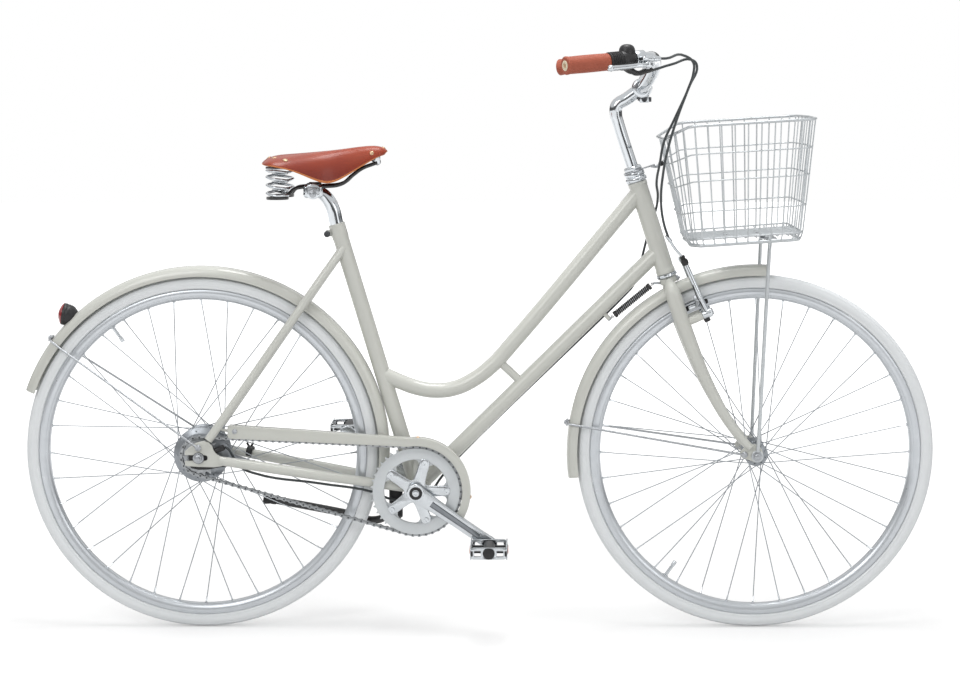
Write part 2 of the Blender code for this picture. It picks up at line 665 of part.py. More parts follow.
def chain_pins():
    """The pins round both toothed wheels, seated in their gaps, and spaced along both runs."""
    across = REAR - BB
    away = atan2(across.z, across.x)
    centres = across.length
    wrap = asin((RING_PITCH_RADIUS - SPROCKET_PITCH_RADIUS) / centres)
    ring_step, sprocket_step = 2 * pi / RING_TEETH, 2 * pi / SPROCKET_TEETH
    ring_half = int((pi / 2 + wrap) / ring_step)
    sprocket_half = int((pi / 2 - wrap) / sprocket_step)
    def on(centre, radius, angle):
        return Vector((centre.x + radius * cos(angle), 0, centre.z + radius * sin(angle)))
    ring = [on(BB, RING_PITCH_RADIUS, away + pi - k * ring_step) for k in range(-ring_half, ring_half + 1)]
    sprocket = [on(REAR, SPROCKET_PITCH_RADIUS, away - k * sprocket_step)
                for k in range(-sprocket_half, sprocket_half + 1)]
    spare = (LINKS - len(ring) - len(sprocket)) // 2
    def run(centre, radius, last, goal_centre, goal_radius, goal, sense):
        """Pins between two seated ones, along the arc that is left, the tangent and the next arc."""
        tangent = away + sense * (pi / 2 - wrap)
        start, end = on(centre, radius, tangent), on(goal_centre, goal_radius, tangent)
        path = [last, start, end, goal]
        lengths = [(b - a).length for a, b in zip(path, path[1:])]
        pins = []
        for k in range(1, spare + 1):
            left = sum(lengths) * k / (spare + 1)
            leg = 0
            while left > lengths[leg]:
                left -= lengths[leg]
                leg += 1
            pins.append(path[leg].lerp(path[leg + 1], left / lengths[leg]))
        return pins
    lower = run(BB, RING_PITCH_RADIUS, ring[-1], REAR, SPROCKET_PITCH_RADIUS, sprocket[0], 1)
    upper = run(REAR, SPROCKET_PITCH_RADIUS, sprocket[-1], BB, RING_PITCH_RADIUS, ring[0], -1)
    return ring + lower + sprocket + upper


def make_chain():
    """Links with waists on their outer edge; those that meet a tooth are open between the rollers."""
    pins = chain_pins()
    count = len(pins)
    ring_reach = RING_PITCH_RADIUS + TOOTH_HEIGHT - ROOT_DEPTH + WAIST_HALF_HEIGHT
    sprocket_reach = ring_reach - RING_PITCH_RADIUS + SPROCKET_PITCH_RADIUS
    outer, inner, windows = [], [], []
    for k, pin in enumerate(pins):
        before, after = pins[k - 1], pins[(k + 1) % count]
        middle = (pin + after) / 2
        course, link = (after - before).normalized(), (after - pin).normalized()
        out, link_out = Vector((course.z, 0, -course.x)), Vector((link.z, 0, -link.x))
        meets = (middle - BB).length < ring_reach or (middle - REAR).length < sprocket_reach
        for line, sense in ((outer, -1), (inner, 1)):
            at_pin = pin + out * PIN_HALF_HEIGHT * sense
            line.append((at_pin.x, at_pin.z))
            if sense > 0 and (meets or k % 2):
                continue
            for share in (0.5 - WAIST_SHARE, 0.5 + WAIST_SHARE) if meets else (0.5,):
                at_waist = pin.lerp(after, share) + link_out * WAIST_HALF_HEIGHT * sense
                line.append((at_waist.x, at_waist.z))
        if meets:
            length = (after - pin).length - ROLLER_LENGTH
            windows.append(block(middle + Y * CHAIN_LINE, (length, 0.0036, 0.0120), link))
    band = plate([outer, inner], 2 * CHAIN_HALF_WIDTH, CHAIN_LINE)
    finish(cut(band, [together(windows)]), "chain", STEEL)


def toothed(centre, teeth, radius, phase):
    """The outline of a toothed wheel; phase is the angle of one gap between teeth."""
    points = []
    for k in range(teeth):
        middle = phase + (k + 0.5) * 2 * pi / teeth
        root, tip = radius - ROOT_DEPTH, radius - ROOT_DEPTH + TOOTH_HEIGHT
        for r, half in ((root, TOOTH_BASE / 2), (tip, 0.0), (root, -TOOTH_BASE / 2)):
            angle = middle - asin(half / r)
            points.append((centre.x + r * cos(angle), centre.z + r * sin(angle)))
    return points


def make_chainring():
    across = REAR - BB
    phase = atan2(across.z, across.x) + pi
    window = []
    arms = 5
    for k in range(arms):
        tab = CRANK_ANGLE + radians(36) + 2 * pi * k / arms
        for angle, radius in ((-0.62, 1.0), (-0.30, 1.0), (-0.20, 0.80), (-0.11, 0.75), (0.11, 0.75),
                              (0.20, 0.80), (0.30, 1.0)):
            reach = RING_WINDOW_RADIUS * radius
            window.append((BB.x + reach * cos(tab + angle), BB.z + reach * sin(tab + angle)))
    teeth = toothed(BB, RING_TEETH, RING_PITCH_RADIUS, phase)
    finish(plate([teeth, window], RING_THICKNESS, CHAIN_LINE), "chainring", ALLOY)


def make_sprocket():
    across = REAR - BB
    phase = atan2(across.z, across.x)
    hole = bore(REAR_AXLE_RADIUS, 12)
    disc = plate([toothed(REAR, SPROCKET_TEETH, SPROCKET_PITCH_RADIUS, phase),
                  arc(REAR, 0.0125, 0, 2 * pi * 7 / 8, 7)], 0.0022, CHAIN_LINE)
    profile = [(hole, 0.0363), (0.0165, 0.0363), (0.0165, 0.0520), (hole, 0.0520)]
    finish(join([turned(profile, REAR, WHEEL_AXIS, 12), disc]), "rear_sprocket", STEEL)


def crank_outline(angle, boss, width, tip):
    """A crank seen from the side: a boss, a tapering arm and a round eye."""
    along = Vector((cos(angle), 0, sin(angle)))
    across = Vector((-sin(angle), 0, cos(angle)))
    points = []
    for k in range(9):
        turn = pi / 2 + 0.5 + (pi - 1.0) * k / 8
        points.append(BB + along * boss * cos(turn) + across * boss * sin(turn))
    points.append(BB + along * 0.035 - across * width)
    eye = BB + along * CRANK_LENGTH
    for k in range(7):
        turn = -pi / 2 + pi * k / 6
        points.append(eye + along * tip * cos(turn) + across * tip * sin(turn))
    points.append(BB + along * 0.035 + across * width)
    return [(p.x, p.z) for p in points]


def crank_angle(side):
    return CRANK_ANGLE if side < 0 else CRANK_ANGLE + pi


def crank_eye(side):
    """Where the pedal's axis crosses the bicycle's middle plane."""
    angle = crank_angle(side)
    return step(BB, CRANK_LENGTH * cos(angle), CRANK_LENGTH * sin(angle))


def make_crank(side):
    """side is -1 for the chain side, which also carries the five-armed spider."""
    angle = crank_angle(side)
    middle = side * (CRANK_INNER + CRANK_THICKNESS / 2)
    arm = plate([crank_outline(angle, 0.0175, 0.0135, 0.0130)], CRANK_THICKNESS, middle)
    outer_face = CRANK_INNER + CRANK_THICKNESS
    inner_face = -CHAIN_LINE + RING_THICKNESS / 2 + GAP if side < 0 else 0.0450
    boss = rod(BB + Y * side * inner_face, BB + Y * side * (outer_face - 0.001), 0.0165, 16)
    along = Vector((cos(angle), 0, sin(angle)))
    eye = BB + along * CRANK_LENGTH
    spindle = rod(eye + Y * side * (outer_face - 0.004), eye + Y * side * (PEDAL_INNER + PEDAL_WIDTH - 0.012),
                  PEDAL_SPINDLE_RADIUS, 10)
    shapes = [boss, arm, spindle]
    if side < 0:
        star = []
        for k in range(5):
            turn = CRANK_ANGLE + radians(36) + 2 * pi * k / 5
            out = Vector((cos(turn), 0, sin(turn)))
            bolt = BB + out * BOLT_CIRCLE_RADIUS
            shapes.append(hexagon(bolt - Y * (inner_face + 0.0030), bolt - Y * (inner_face + 0.0068), 0.0060))
            for angle, reach in ((-0.50, 0.021), (-0.118, BOLT_CIRCLE_RADIUS + 0.0060),
                                 (0.118, BOLT_CIRCLE_RADIUS + 0.0060), (0.50, 0.021)):
                star.append((BB.x + reach * cos(turn + angle), BB.z + reach * sin(turn + angle)))
        shapes.insert(1, plate([star], 0.0052, -inner_face - 0.0026))
    crank = join(shapes)
    socket = rod(BB + Y * side * (inner_face - 0.002), BB + Y * side * (SPINDLE_HALF + GAP),
                 bore(SPINDLE_RADIUS, 12), 12)
    groove = rod(BB + along * 0.045 + Y * side * (outer_face + 0.0010),
                 BB + along * 0.135 + Y * side * (outer_face + 0.0016), 0.0040, 8, 0.0030)
    finish(cut(crank, [socket, groove]), "crank_right" if side < 0 else "crank_left", ALLOY)


def make_pedal(side):
    """A pedal with a barrel on bearings, two end bridges and toothed cage plates."""
    eye = crank_eye(side)
    inner, outer = PEDAL_INNER, PEDAL_INNER + PEDAL_WIDTH
    half_length = PEDAL_LENGTH / 2
    shapes = [rod(eye + Y * side * inner, eye + Y * side * outer, 0.0112, 10)]
    for y in (inner + 0.006, outer - 0.009):
        shapes.append(block(eye + Y * side * y, (PEDAL_LENGTH - 0.002, 0.0070, 0.0150)))
    for sense in (-1, 1):
        centre = eye + X * sense * (half_length - 0.0012) + Y * side * (inner + outer) / 2
        shapes.append(block(centre, (PEDAL_WIDTH - 0.002, PEDAL_HEIGHT, 0.0024), Y))
    hole = rod(eye + Y * side * (inner - 0.002), eye + Y * side * (outer - 0.012 + GAP),
               bore(PEDAL_SPINDLE_RADIUS, 10), 10)
    finish(cut(join(shapes), [hole]), "pedal_right" if side < 0 else "pedal_left", PLASTIC_BLACK)


GUARD_TAIL = [(0.0573, 0.0600), (0.2303, 0.0480)]      # upper edge, from the rear axle
GUARD_TAIL_LOW = [(0.0583, 0.0350), (0.2303, 0.0220)]
GUARD_END = radians(-29)
GUARD_FACE_WIDTH = 0.0130
GUARD_FLANGE = 0.0190


def make_chain_guard():
    """A folded strip over the upper run and round the front of the chainring."""
    upper = [(REAR.x + x, REAR.z + z) for x, z in GUARD_TAIL]
    lower = [(REAR.x + x, REAR.z + z) for x, z in GUARD_TAIL_LOW]
    round_top = arc(BB, GUARD_RADIUS, radians(97), GUARD_END, 12)
    round_low = arc(BB, GUARD_RADIUS - GUARD_FACE_WIDTH, GUARD_END, radians(100), 12)
    face = plate([upper + round_top + round_low + lower[::-1]], GUARD_SHEET, GUARD_FACE - GUARD_SHEET / 2)
    inside = arc(BB, GUARD_RADIUS - GUARD_SHEET, GUARD_END, radians(97), 12)
    under = [(x, z - GUARD_SHEET) for x, z in reversed(upper)]
    flange = plate([upper + round_top + inside + under], GUARD_FLANGE, GUARD_FACE - 0.0006 + GUARD_FLANGE / 2)
    bolt = step(REAR, *GUARD_BOLT, GUARD_FACE - GUARD_SHEET)
    shapes = [face, flange, hexagon(bolt + Y * 0.0006, bolt - Y * 0.0030, 0.0050)]
    for angle in GUARD_ARM_ANGLES:
        spot = BB + Vector((cos(angle), 0, sin(angle))) * (GUARD_RADIUS - GUARD_FACE_WIDTH / 2)
        shapes.append(rod(spot + Y * (GUARD_FACE - 0.0006), spot + Y * (GUARD_FACE - 0.0032), 0.0035, 8))
    finish(join(shapes), "chain_guard", ENAMEL)


# Rear axle, gear shift unit, brake reaction arm
REACTION_ARM = (0.0900, -0.0330)


def make_rear_axle():
    face = DROPOUT_INNER + DROPOUT_THICKNESS + GAP
    shapes = [rod(REAR - Y * (face + 0.0150), REAR + Y * (face + 0.0130), REAR_AXLE_RADIUS, 10)]
    for side in (-1, 1):
        shapes.append(rod(REAR + Y * side * face, REAR + Y * side * (face + 0.0018), 0.0110, 8))
        shapes.append(hexagon(REAR + Y * side * (face + 0.0015), REAR + Y * side * (face + 0.0085), 0.0085))
    shapes.append(rod(REAR + Y * 0.0505, REAR + Y * (DROPOUT_INNER - GAP), 0.0150, 10))
    end = step(REAR, *REACTION_ARM)
    shapes.append(block((REAR + end) / 2 + Y * 0.0520, ((end - REAR).length, 0.0026, 0.0130), end - REAR))
    shapes.append(block(end + Vector((-0.004, 0.0590, 0.0045)), (0.0130, 0.0180, 0.0030)))
    finish(join(shapes), "rear_axle", STEEL)


def make_shift_unit():
    near, far = -(DROPOUT_INNER - GAP), -0.0530
    body = rod(REAR + Y * far, REAR + Y * near, 0.0205, 16)
    end = step(REAR, 0.0440, 0.0170, (near + far) / 2)
    arm = rod(REAR + Y * (near + far) / 2, end, 0.0056, 8)
    hole = rod(REAR + Y * (far + 0.002), REAR + Y * (near - 0.002), bore(REAR_AXLE_RADIUS, 10), 10)
    finish(cut(join([body, arm]), [hole]), "gear_shift_unit", PLASTIC_BLACK)


# Kickstand
STAND_PIVOT = (-0.042, -0.052, 0.0120)      # forward, up and left of the bottom bracket
STAND_AXIS = Vector((0, 1, STAND_TILT)).normalized()
STAND_BENDS = [(-0.082, -0.0715, 0.0320), (-0.144, -0.0600, 0.0420), (-0.2780, -0.0360, 0.0505)]
STAND_FOOT = (-0.3035, -0.0320, 0.0520)


def make_kickstand():
    pivot = step(BB, *STAND_PIVOT)
    seat = step(BB, -0.042, -0.0036)
    clamp = block(seat - Z * 0.0030, (0.022, 0.060, 0.0060))
    post = block(step(BB, -0.042, -0.0330, 0.0060), (0.026, 0.0120, 0.0550))
    barrel = rod(pivot - STAND_AXIS * 0.012, pivot + STAND_AXIS * 0.004, 0.0130, 12)
    pin = rod(pivot, pivot + STAND_AXIS * 0.0230, STAND_PIN_RADIUS, 12)
    finish(join([post, clamp, barrel, pin]), "kickstand_mount", DARK_STEEL)
    hub_start, hub_end = pivot + STAND_AXIS * (0.004 + GAP), pivot + STAND_AXIS * 0.0220
    hub = rod(hub_start, hub_end, 0.0120, 12)
    start = (hub_start + hub_end) / 2
    bends = [step(BB, x, z, y) for x, z, y in STAND_BENDS]
    leg = tube([tuple(start)] + [tuple(p) for p in bends], STAND_RADIUS, 2)
    hole = rod(hub_start - STAND_AXIS * 0.002, pivot + STAND_AXIS * 0.0245, bore(STAND_PIN_RADIUS, 12), 12)
    finish(cut(join([hub, leg]), [hole]), "kickstand_leg", DARK_STEEL)
    foot_end = step(BB, *STAND_FOOT)
    course = (foot_end - bends[-1]).normalized()
    finish(rod(bends[-1] + course * GAP, foot_end, 0.0085, 10, 0.0115), "kickstand_foot", RUBBER_BLACK)


# Seat
POST_BENDS = [(0.0, 0.0), (-0.0055, 0.0250), (-0.0125, 0.0410), (-0.0225, 0.0540), (-0.0350, 0.0615),
              (-0.0450, 0.0635)]
SADDLE_CLAMP = (-0.0420, 0.0630)            # from the top of the seat tube
SADDLE_NOSE = (0.1005, 0.1380)
CANTLE = (-0.1060, 0.1110)
NOSE_PIECE = (0.0790, 0.1165)               # where the rails end under the nose of the leather
COIL_FOOT = (-0.1065, 0.0540)
COIL_TOP = 0.1055


def seat_post_path():
    radii = (POST_RADIUS, POST_RADIUS, 0.0130, 0.0122, 0.0113, 0.0110)
    path = [(*(SEAT_TOP - SEAT_UP * POST_DEPTH), POST_RADIUS)]
    return path + [(*step(SEAT_TOP, x, z), r) for (x, z), r in zip(POST_BENDS, radii)]


def rail_path(side):
    """One rail, from the nose, back through the clamp and out to the foot of its coil."""
    spots = [(*NOSE_PIECE, 0.005), (0.0730, 0.1140, 0.006), (0.0520, 0.1060, 0.010), (0.0330, 0.0930, 0.016), (0.0130, 0.0770, 0.021),
             (-0.0220, 0.0720, 0.022), (-0.0610, 0.0710, 0.022), (-0.0760, 0.0680, 0.026),
             (-0.0900, 0.0560, 0.036), (-0.1000, 0.0520, COIL_SPREAD - 0.004)]
    return [tuple(step(SEAT_TOP, x, z, side * y)) for x, z, y in spots]


def make_seat_post():
    finish(tube(seat_post_path(), POST_RADIUS, 5), "seat_post", CHROME)
    centre = step(SEAT_TOP, *SADDLE_CLAMP)
    clamp = rod(centre - Y * 0.028, centre + Y * 0.028, 0.0150, 10)
    bolt = [hexagon(centre + Y * side * 0.0275 - Z * 0.004, centre + Y * side * 0.0345 - Z * 0.004, 0.0065)
            for side in (-1, 1)]
    shapes = join([clamp] + bolt)
    cutters = [tube([(*step(SEAT_TOP, *POST_BENDS[3]), 0.0130), (*step(SEAT_TOP, *POST_BENDS[4]), 0.0120),
                     (*(step(SEAT_TOP, *POST_BENDS[5]) - X * GAP), 0.0115)], POST_RADIUS, 5)]
    for side in (-1, 1):
        cutters.append(tube(rail_path(side)[4:8], RAIL_RADIUS + GAP + 0.0006, 1))
    finish(cut(shapes, cutters), "saddle_clamp", ALLOY)


def under_leather():
    """The leather lowered by the gap, which shapes the top of what carries it."""
    bm = bmesh.new()
    bm.from_mesh(bpy.data.objects["saddle_leather"].data)
    bm.transform(Matrix.Translation(-Z * GAP))
    return add_mesh(bm)


def make_saddle_frame():
    wires = [tube(rail_path(side), RAIL_RADIUS, 1) for side in (-1, 1)]
    nose = block(step(SEAT_TOP, NOSE_PIECE[0], 0.1257), (0.012, 0.016, 0.0318))
    feet = []
    for side in (-1, 1):
        foot = step(SEAT_TOP, COIL_FOOT[0], COIL_FOOT[1], side * COIL_SPREAD)
        feet.append(rod(foot - Z * 0.0050, foot, COIL_RADIUS + COIL_WIRE * 0.8, 10))
    finish(join([nose] + wires + feet), "saddle_rails", DARK_STEEL)
    for side, name in ((-1, "right"), (1, "left")):
        foot = step(SEAT_TOP, COIL_FOOT[0], COIL_FOOT[1], side * COIL_SPREAD)
        bottom, top = foot.z + GAP + COIL_WIRE, SEAT_TOP.z + COIL_TOP - COIL_WIRE
        points = []
        per_turn = 8
        dwell = 2
        total = int(COIL_TURNS * per_turn)
        for k in range(total + 1):
            share = min(max((k - dwell) / (total - 2 * dwell), 0.0), 1.0)
            turn = 2 * pi * k / per_turn
            points.append((foot.x + COIL_RADIUS * cos(turn), foot.y + side * COIL_RADIUS * sin(turn),
                           bottom + (top - bottom) * share))
        report_gap(f"saddle coil {name}", points, COIL_WIRE, per_turn)
        finish(tube(points, COIL_WIRE, 1), f"saddle_spring_{name}", CHROME)


def report_gap(name, points, wire, per_turn):
    """Print the least air between the turns of a coil, on points along its middle line."""
    spots = [Vector(p[:3]) for p in points]
    least = min((a - b).length for k, a in enumerate(spots) for b in spots[k + per_turn - 2:]) - 2 * wire
    print(f"{name}: least gap to itself {least * 1000:.2f} mm")


def between(table, u):
    """The rest of the row of a table at the value u of its first column."""
    for low, high in zip(table, table[1:]):
        if u <= high[0]:
            part = (u - low[0]) / (high[0] - low[0])
            return tuple(a + (b - a) * part for a, b in zip(low[1:], high[1:]))
    return table[-1][1:]


# Share of the length from the nose, ridge height above the nose tip, half width, depth of the skirt
SADDLE_SHAPE = [
    (0.00, 0.0000, 0.0110, 0.0090), (0.045, 0.0085, 0.0210, 0.0170), (0.125, 0.0110, 0.0245, 0.0280),
    (0.235, 0.0085, 0.0275, 0.0400), (0.36, 0.0045, 0.0330, 0.0520), (0.47, 0.0015, 0.0420, 0.0590),
    (0.59, -0.0010, 0.0630, 0.0450), (0.72, -0.0040, 0.0870, 0.0290), (0.84, -0.0060, 0.1000, 0.0210),
    (0.94, -0.0090, 0.1000, 0.0140), (1.00, -0.0200, 0.0880, 0.0040)]


def make_saddle_leather():
    """The tensioned leather top: a grid bent over its ridge, with skirts that hang at both sides."""
    columns = 8
    bm = bmesh.new()
    bmesh.ops.create_grid(bm, x_segments=len(SADDLE_SHAPE) - 1, y_segments=columns, size=0.5)
    nose = step(SEAT_TOP, *SADDLE_NOSE)
    for vert in bm.verts:
        row = SADDLE_SHAPE[round((0.5 - vert.co.x) * (len(SADDLE_SHAPE) - 1))]
        share, ridge, width, skirt = row
        v = vert.co.y * 2
        edge = abs(v)
        round_back = 0.014 * edge ** 2 * max(0.0, share - 0.8) / 0.2
        round_nose = 0.007 * edge ** 2 * max(0.0, 0.06 - share) / 0.06
        vert.co.x = nose.x - SADDLE_LENGTH * share + round_back - round_nose
        vert.co.y = width * (1 - (1 - edge) ** 1.7) * (1 if v > 0 else -1)
        vert.co.z = nose.z + ridge - skirt * edge ** 2.6
    leather = add_mesh(bm)
    solid = leather.modifiers.new("thickness", "SOLIDIFY")
    solid.thickness = LEATHER_THICKNESS
    solid.offset = -1.0
    solid.use_even_offset = False
    finish(as_mesh(leather), "saddle_leather", LEATHER)


def make_cantle():
    """The plate under the rear of the leather that stands on the coils."""
    top = SEAT_TOP.z + COIL_TOP + GAP
    points = [(-0.075, -0.030), (-0.090, -0.066), (-0.112, -0.072), (-0.128, -0.050), (-0.134, 0.0)]
    outline = points + [(x, -y) for x, y in reversed(points[:-1])]
    curve_points = [(SEAT_TOP.x + x, y) for x, y in outline]
    lip = [(-0.128, -0.050), (-0.134, 0.0), (-0.128, 0.050), (-0.125, 0.050), (-0.131, 0.0), (-0.125, -0.050)]
    shapes = []
    for outline, height in ((curve_points, 0.0030), ([(SEAT_TOP.x + x, y) for x, y in lip], 0.0142)):
        sheet = plate([outline], height, 0.0)
        sheet.data.transform(Matrix.Translation(Z * (top + height / 2)) @ Matrix.Rotation(-pi / 2, 4, "X"))
        shapes.append(as_mesh(sheet))
    finish(cut(join(shapes), [under_leather()]), "saddle_cantle_plate", STEEL)


# Fork
BLADE_BENDS = [(0.0040, -0.0136, 0.0040, 0.0050), (0.0045, -0.0140, 0.0160, 0.0056),
               (0.0055, -0.0190, 0.0295, 0.0095), (0.0100, -0.0320, 0.0400, 0.0142),
               (0.0160, -0.0520, 0.0415, 0.0150), (0.0410, -0.1231, 0.0430, 0.0140),
               (0.0821, -0.2181, 0.0465, 0.0115), (0.1366, -0.3061, 0.0505, 0.0090),
               (0.1590, -0.3300, 0.0525, 0.0075)]
BRAKE_PIVOT = (0.0726, -0.0751)             # from the lower end of the head tube
BRAKE_PIVOT_Y = 0.0400
BRAKE_AXIS = Vector((0.916, 0, 0.400)).normalized()


def brake_pivot(side):
    return step(HEAD_LOW, *BRAKE_PIVOT, side * BRAKE_PIVOT_Y)


def fork_end(side):
    corners = [(-0.0330, 0.0080), (-0.0190, 0.0220), (-0.0040, 0.0230), (0.0080, 0.0130), (0.0110, 0.0000),
               (0.0085, -0.0090), (0.0050, -0.0120), (0.0050, 0.0015), (0.0030, 0.0051), (-0.0030, 0.0051),
               (-0.0050, 0.0015), (-0.0050, -0.0120), (-0.0110, -0.0090), (-0.0290, -0.0030)]
    middle = FORK_INNER + FORK_END_THICKNESS / 2
    return plate([[(FRONT.x + x, FRONT.z + z) for x, z in corners]], FORK_END_THICKNESS, side * middle)


def make_fork():
    crown_top, crown_low = -LOWER_STACK - GAP, -LOWER_STACK - CROWN_DEPTH
    steerer = rod(steer(crown_low + 0.002), steer(STEERER_TOP + 2 * GAP), STEERER_RADIUS, 14)
    crown = rod(steer(crown_low), steer(crown_top), CROWN_RADIUS, 14)
    shapes = [crown, steerer]
    for side in (-1, 1):
        bends = [(*step(HEAD_LOW, x, z, side * y), r) for x, z, y, r in BLADE_BENDS]
        shapes.append(tube(smooth(bends, 0.070), BLADE_RADIUS, 2))
        shapes.append(fork_end(side))
        pivot = brake_pivot(side)
        shapes.append(rod(pivot - BRAKE_AXIS * 0.036, pivot - BRAKE_AXIS * 0.0060, 0.0075, 6))
        shapes.append(rod(pivot - BRAKE_AXIS * 0.0080, pivot + BRAKE_AXIS * 0.0100, 0.0040, 8))
    lug = steer(-0.0150, -CROWN_RADIUS)
    shapes.append(block(lug - X * 0.005, (0.016, 0.012, 0.0040)))
    fork = join(shapes)
    hollow = rod(steer(STEERER_TOP - 0.090), steer(STEERER_TOP + 0.002), bore(QUILL_RADIUS, 12), 12)
    finish(cut(fork, [hollow]), "fork", ENAMEL)


def make_front_axle():
    face = FORK_INNER + FORK_END_THICKNESS + GAP
    shapes = [rod(FRONT - Y * (face + 0.0110), FRONT + Y * (face + 0.0110), FRONT_AXLE_RADIUS, 10)]
    for side in (-1, 1):
        shapes.append(hexagon(FRONT + Y * side * (face + 0.0030), FRONT + Y * side * (face + 0.0095), 0.0076))
    finish(join(shapes), "front_axle", STEEL)


def make_brake_arm(side):
    """A brake arm on its boss with its shoe, and the knob or link at its top."""
    pivot = brake_pivot(side)
    up = Vector((-BRAKE_AXIS.z, 0, BRAKE_AXIS.x))
    hub_start, hub_end = pivot - BRAKE_AXIS * (0.0060 - GAP), pivot + BRAKE_AXIS * 0.0125
    hub = rod(hub_start, hub_end, 0.0088, 12)
    outward = Y * side
    knee = pivot + up * 0.045 + BRAKE_AXIS * 0.003 + outward * 0.002
    top = pivot + up * 0.104 + BRAKE_AXIS * 0.003 - outward * 0.002
    arm = tube([tuple(pivot + BRAKE_AXIS * 0.003) + (0.0062,), tuple(knee) + (0.0058,), tuple(top) + (0.0050,)],
               0.0062, 1)
    shoe_centre = FRONT + Vector((-0.1142, 0, 0.2840)).normalized() * (RIM_FLANGE_RADIUS - 0.0090)
    along = Vector((-(shoe_centre - FRONT).z, 0, (shoe_centre - FRONT).x)).normalized()
    inner = RIM_HALF_WIDTH + 0.0017
    shoe = block(Vector((shoe_centre.x, side * (inner + 0.0050), shoe_centre.z)), (0.046, 0.0100, 0.0095), along)
    post = rod(Vector((shoe_centre.x, side * (inner + 0.0070), shoe_centre.z)),
               Vector((knee.x, side * (BRAKE_PIVOT_Y + 0.004), knee.z)).lerp(
                   Vector((shoe_centre.x, side * (BRAKE_PIVOT_Y + 0.004), shoe_centre.z)), 0.35), 0.0045, 8)
    knob = ball(top + up * 0.002, 0.0078, 6)
    hole = rod(hub_start - BRAKE_AXIS * 0.002, hub_end + BRAKE_AXIS * 0.002, bore(0.0040, 8), 8)
    name = "brake_arm_right" if side < 0 else "brake_arm_left"
    finish(cut(join([hub, arm, post, shoe, knob]), [hole]), name, ALLOY)


# Stem and handlebar
STEM_BEND = 0.3290            # height of the bend up the steering axis
STEM_CLAMP = (-0.0474, 0.3509)              # from the lower end of the head tube
BAR_BENDS = [(0.0, 0.0, 0.024), (0.006, 0.010, 0.057), (0.0165, 0.034, 0.095),
             (0.0165, 0.0495, 0.130), (0.0100, 0.0555, 0.165), (-0.0060, 0.0538, 0.213)]
BAR_END = (-0.1490, 0.0410, 0.2900)


def bar_end(side):
    return step(HEAD_LOW, STEM_CLAMP[0] + BAR_END[0], STEM_CLAMP[1] + BAR_END[1], side * BAR_END[2])


def bar_course(side):
    """The direction of the straight grip part of the bar, from its start to its end."""
    start = step(HEAD_LOW, STEM_CLAMP[0] + BAR_BENDS[-1][0], STEM_CLAMP[1] + BAR_BENDS[-1][1],
                 side * BAR_BENDS[-1][2])
    return (bar_end(side) - start).normalized()


def on_bar(side, distance):
    """A point on the grip part of the bar, measured back from its end."""
    return bar_end(side) - bar_course(side) * distance


def make_stem_and_bar():
    clamp = step(HEAD_LOW, *STEM_CLAMP)
    bend = steer(STEM_BEND)
    quill = [(*steer(STEERER_TOP - 0.060), QUILL_RADIUS), (*steer(STEERER_TOP + 0.004), QUILL_RADIUS),
             (*steer(STEM_BEND - 0.030), QUILL_RADIUS)]
    arm = [(*steer(STEM_BEND - 0.012, 0.001), QUILL_RADIUS + 0.0006), (*(bend + X * 0.007 + Z * 0.006), 0.0122),
           (*bend.lerp(clamp, 0.45), STEM_ARM_RADIUS), (*clamp.lerp(bend, 0.06), STEM_ARM_RADIUS)]
    shapes = [tube(quill + arm, STEM_ARM_RADIUS, 4)]
    shapes.append(rod(clamp - Y * STEM_CLAMP_HALF, clamp + Y * STEM_CLAMP_HALF, STEM_CLAMP_RADIUS, 14))
    lug = clamp + Vector((0.004, 0, -0.0235))
    shapes.append(block(lug + Z * 0.003, (0.018, 0.022, 0.0160)))
    shapes.append(hexagon(lug - Z * 0.002 - Y * 0.015, lug - Z * 0.002 + Y * 0.015, 0.0055))
    hole = rod(clamp - Y * 0.030, clamp + Y * 0.030, bore(BAR_RADIUS, 10), 10)
    finish(cut(join(shapes), [hole]), "stem", ALLOY)
    half = smooth([tuple(step(clamp, x, z, y)) for x, z, y in BAR_BENDS], 0.028) + [tuple(bar_end(1))]
    path = [(x, -y, z) for x, y, z in reversed(half)] + half
    finish(tube(path, BAR_RADIUS, 2), "handlebar", ALLOY)


def sleeve(side, start, length, profile, steps=12):
    """A turned sleeve round the bar from (radius, share of its length) points, with the bar's bore."""
    inner = bore(BAR_RADIUS + 0.0002, steps)
    course = bar_course(side)
    points = [(inner, 0.0)] + [(r, s * length) for r, s in profile] + [(inner, length)]
    return turned(points, on_bar(side, start), -course, steps)


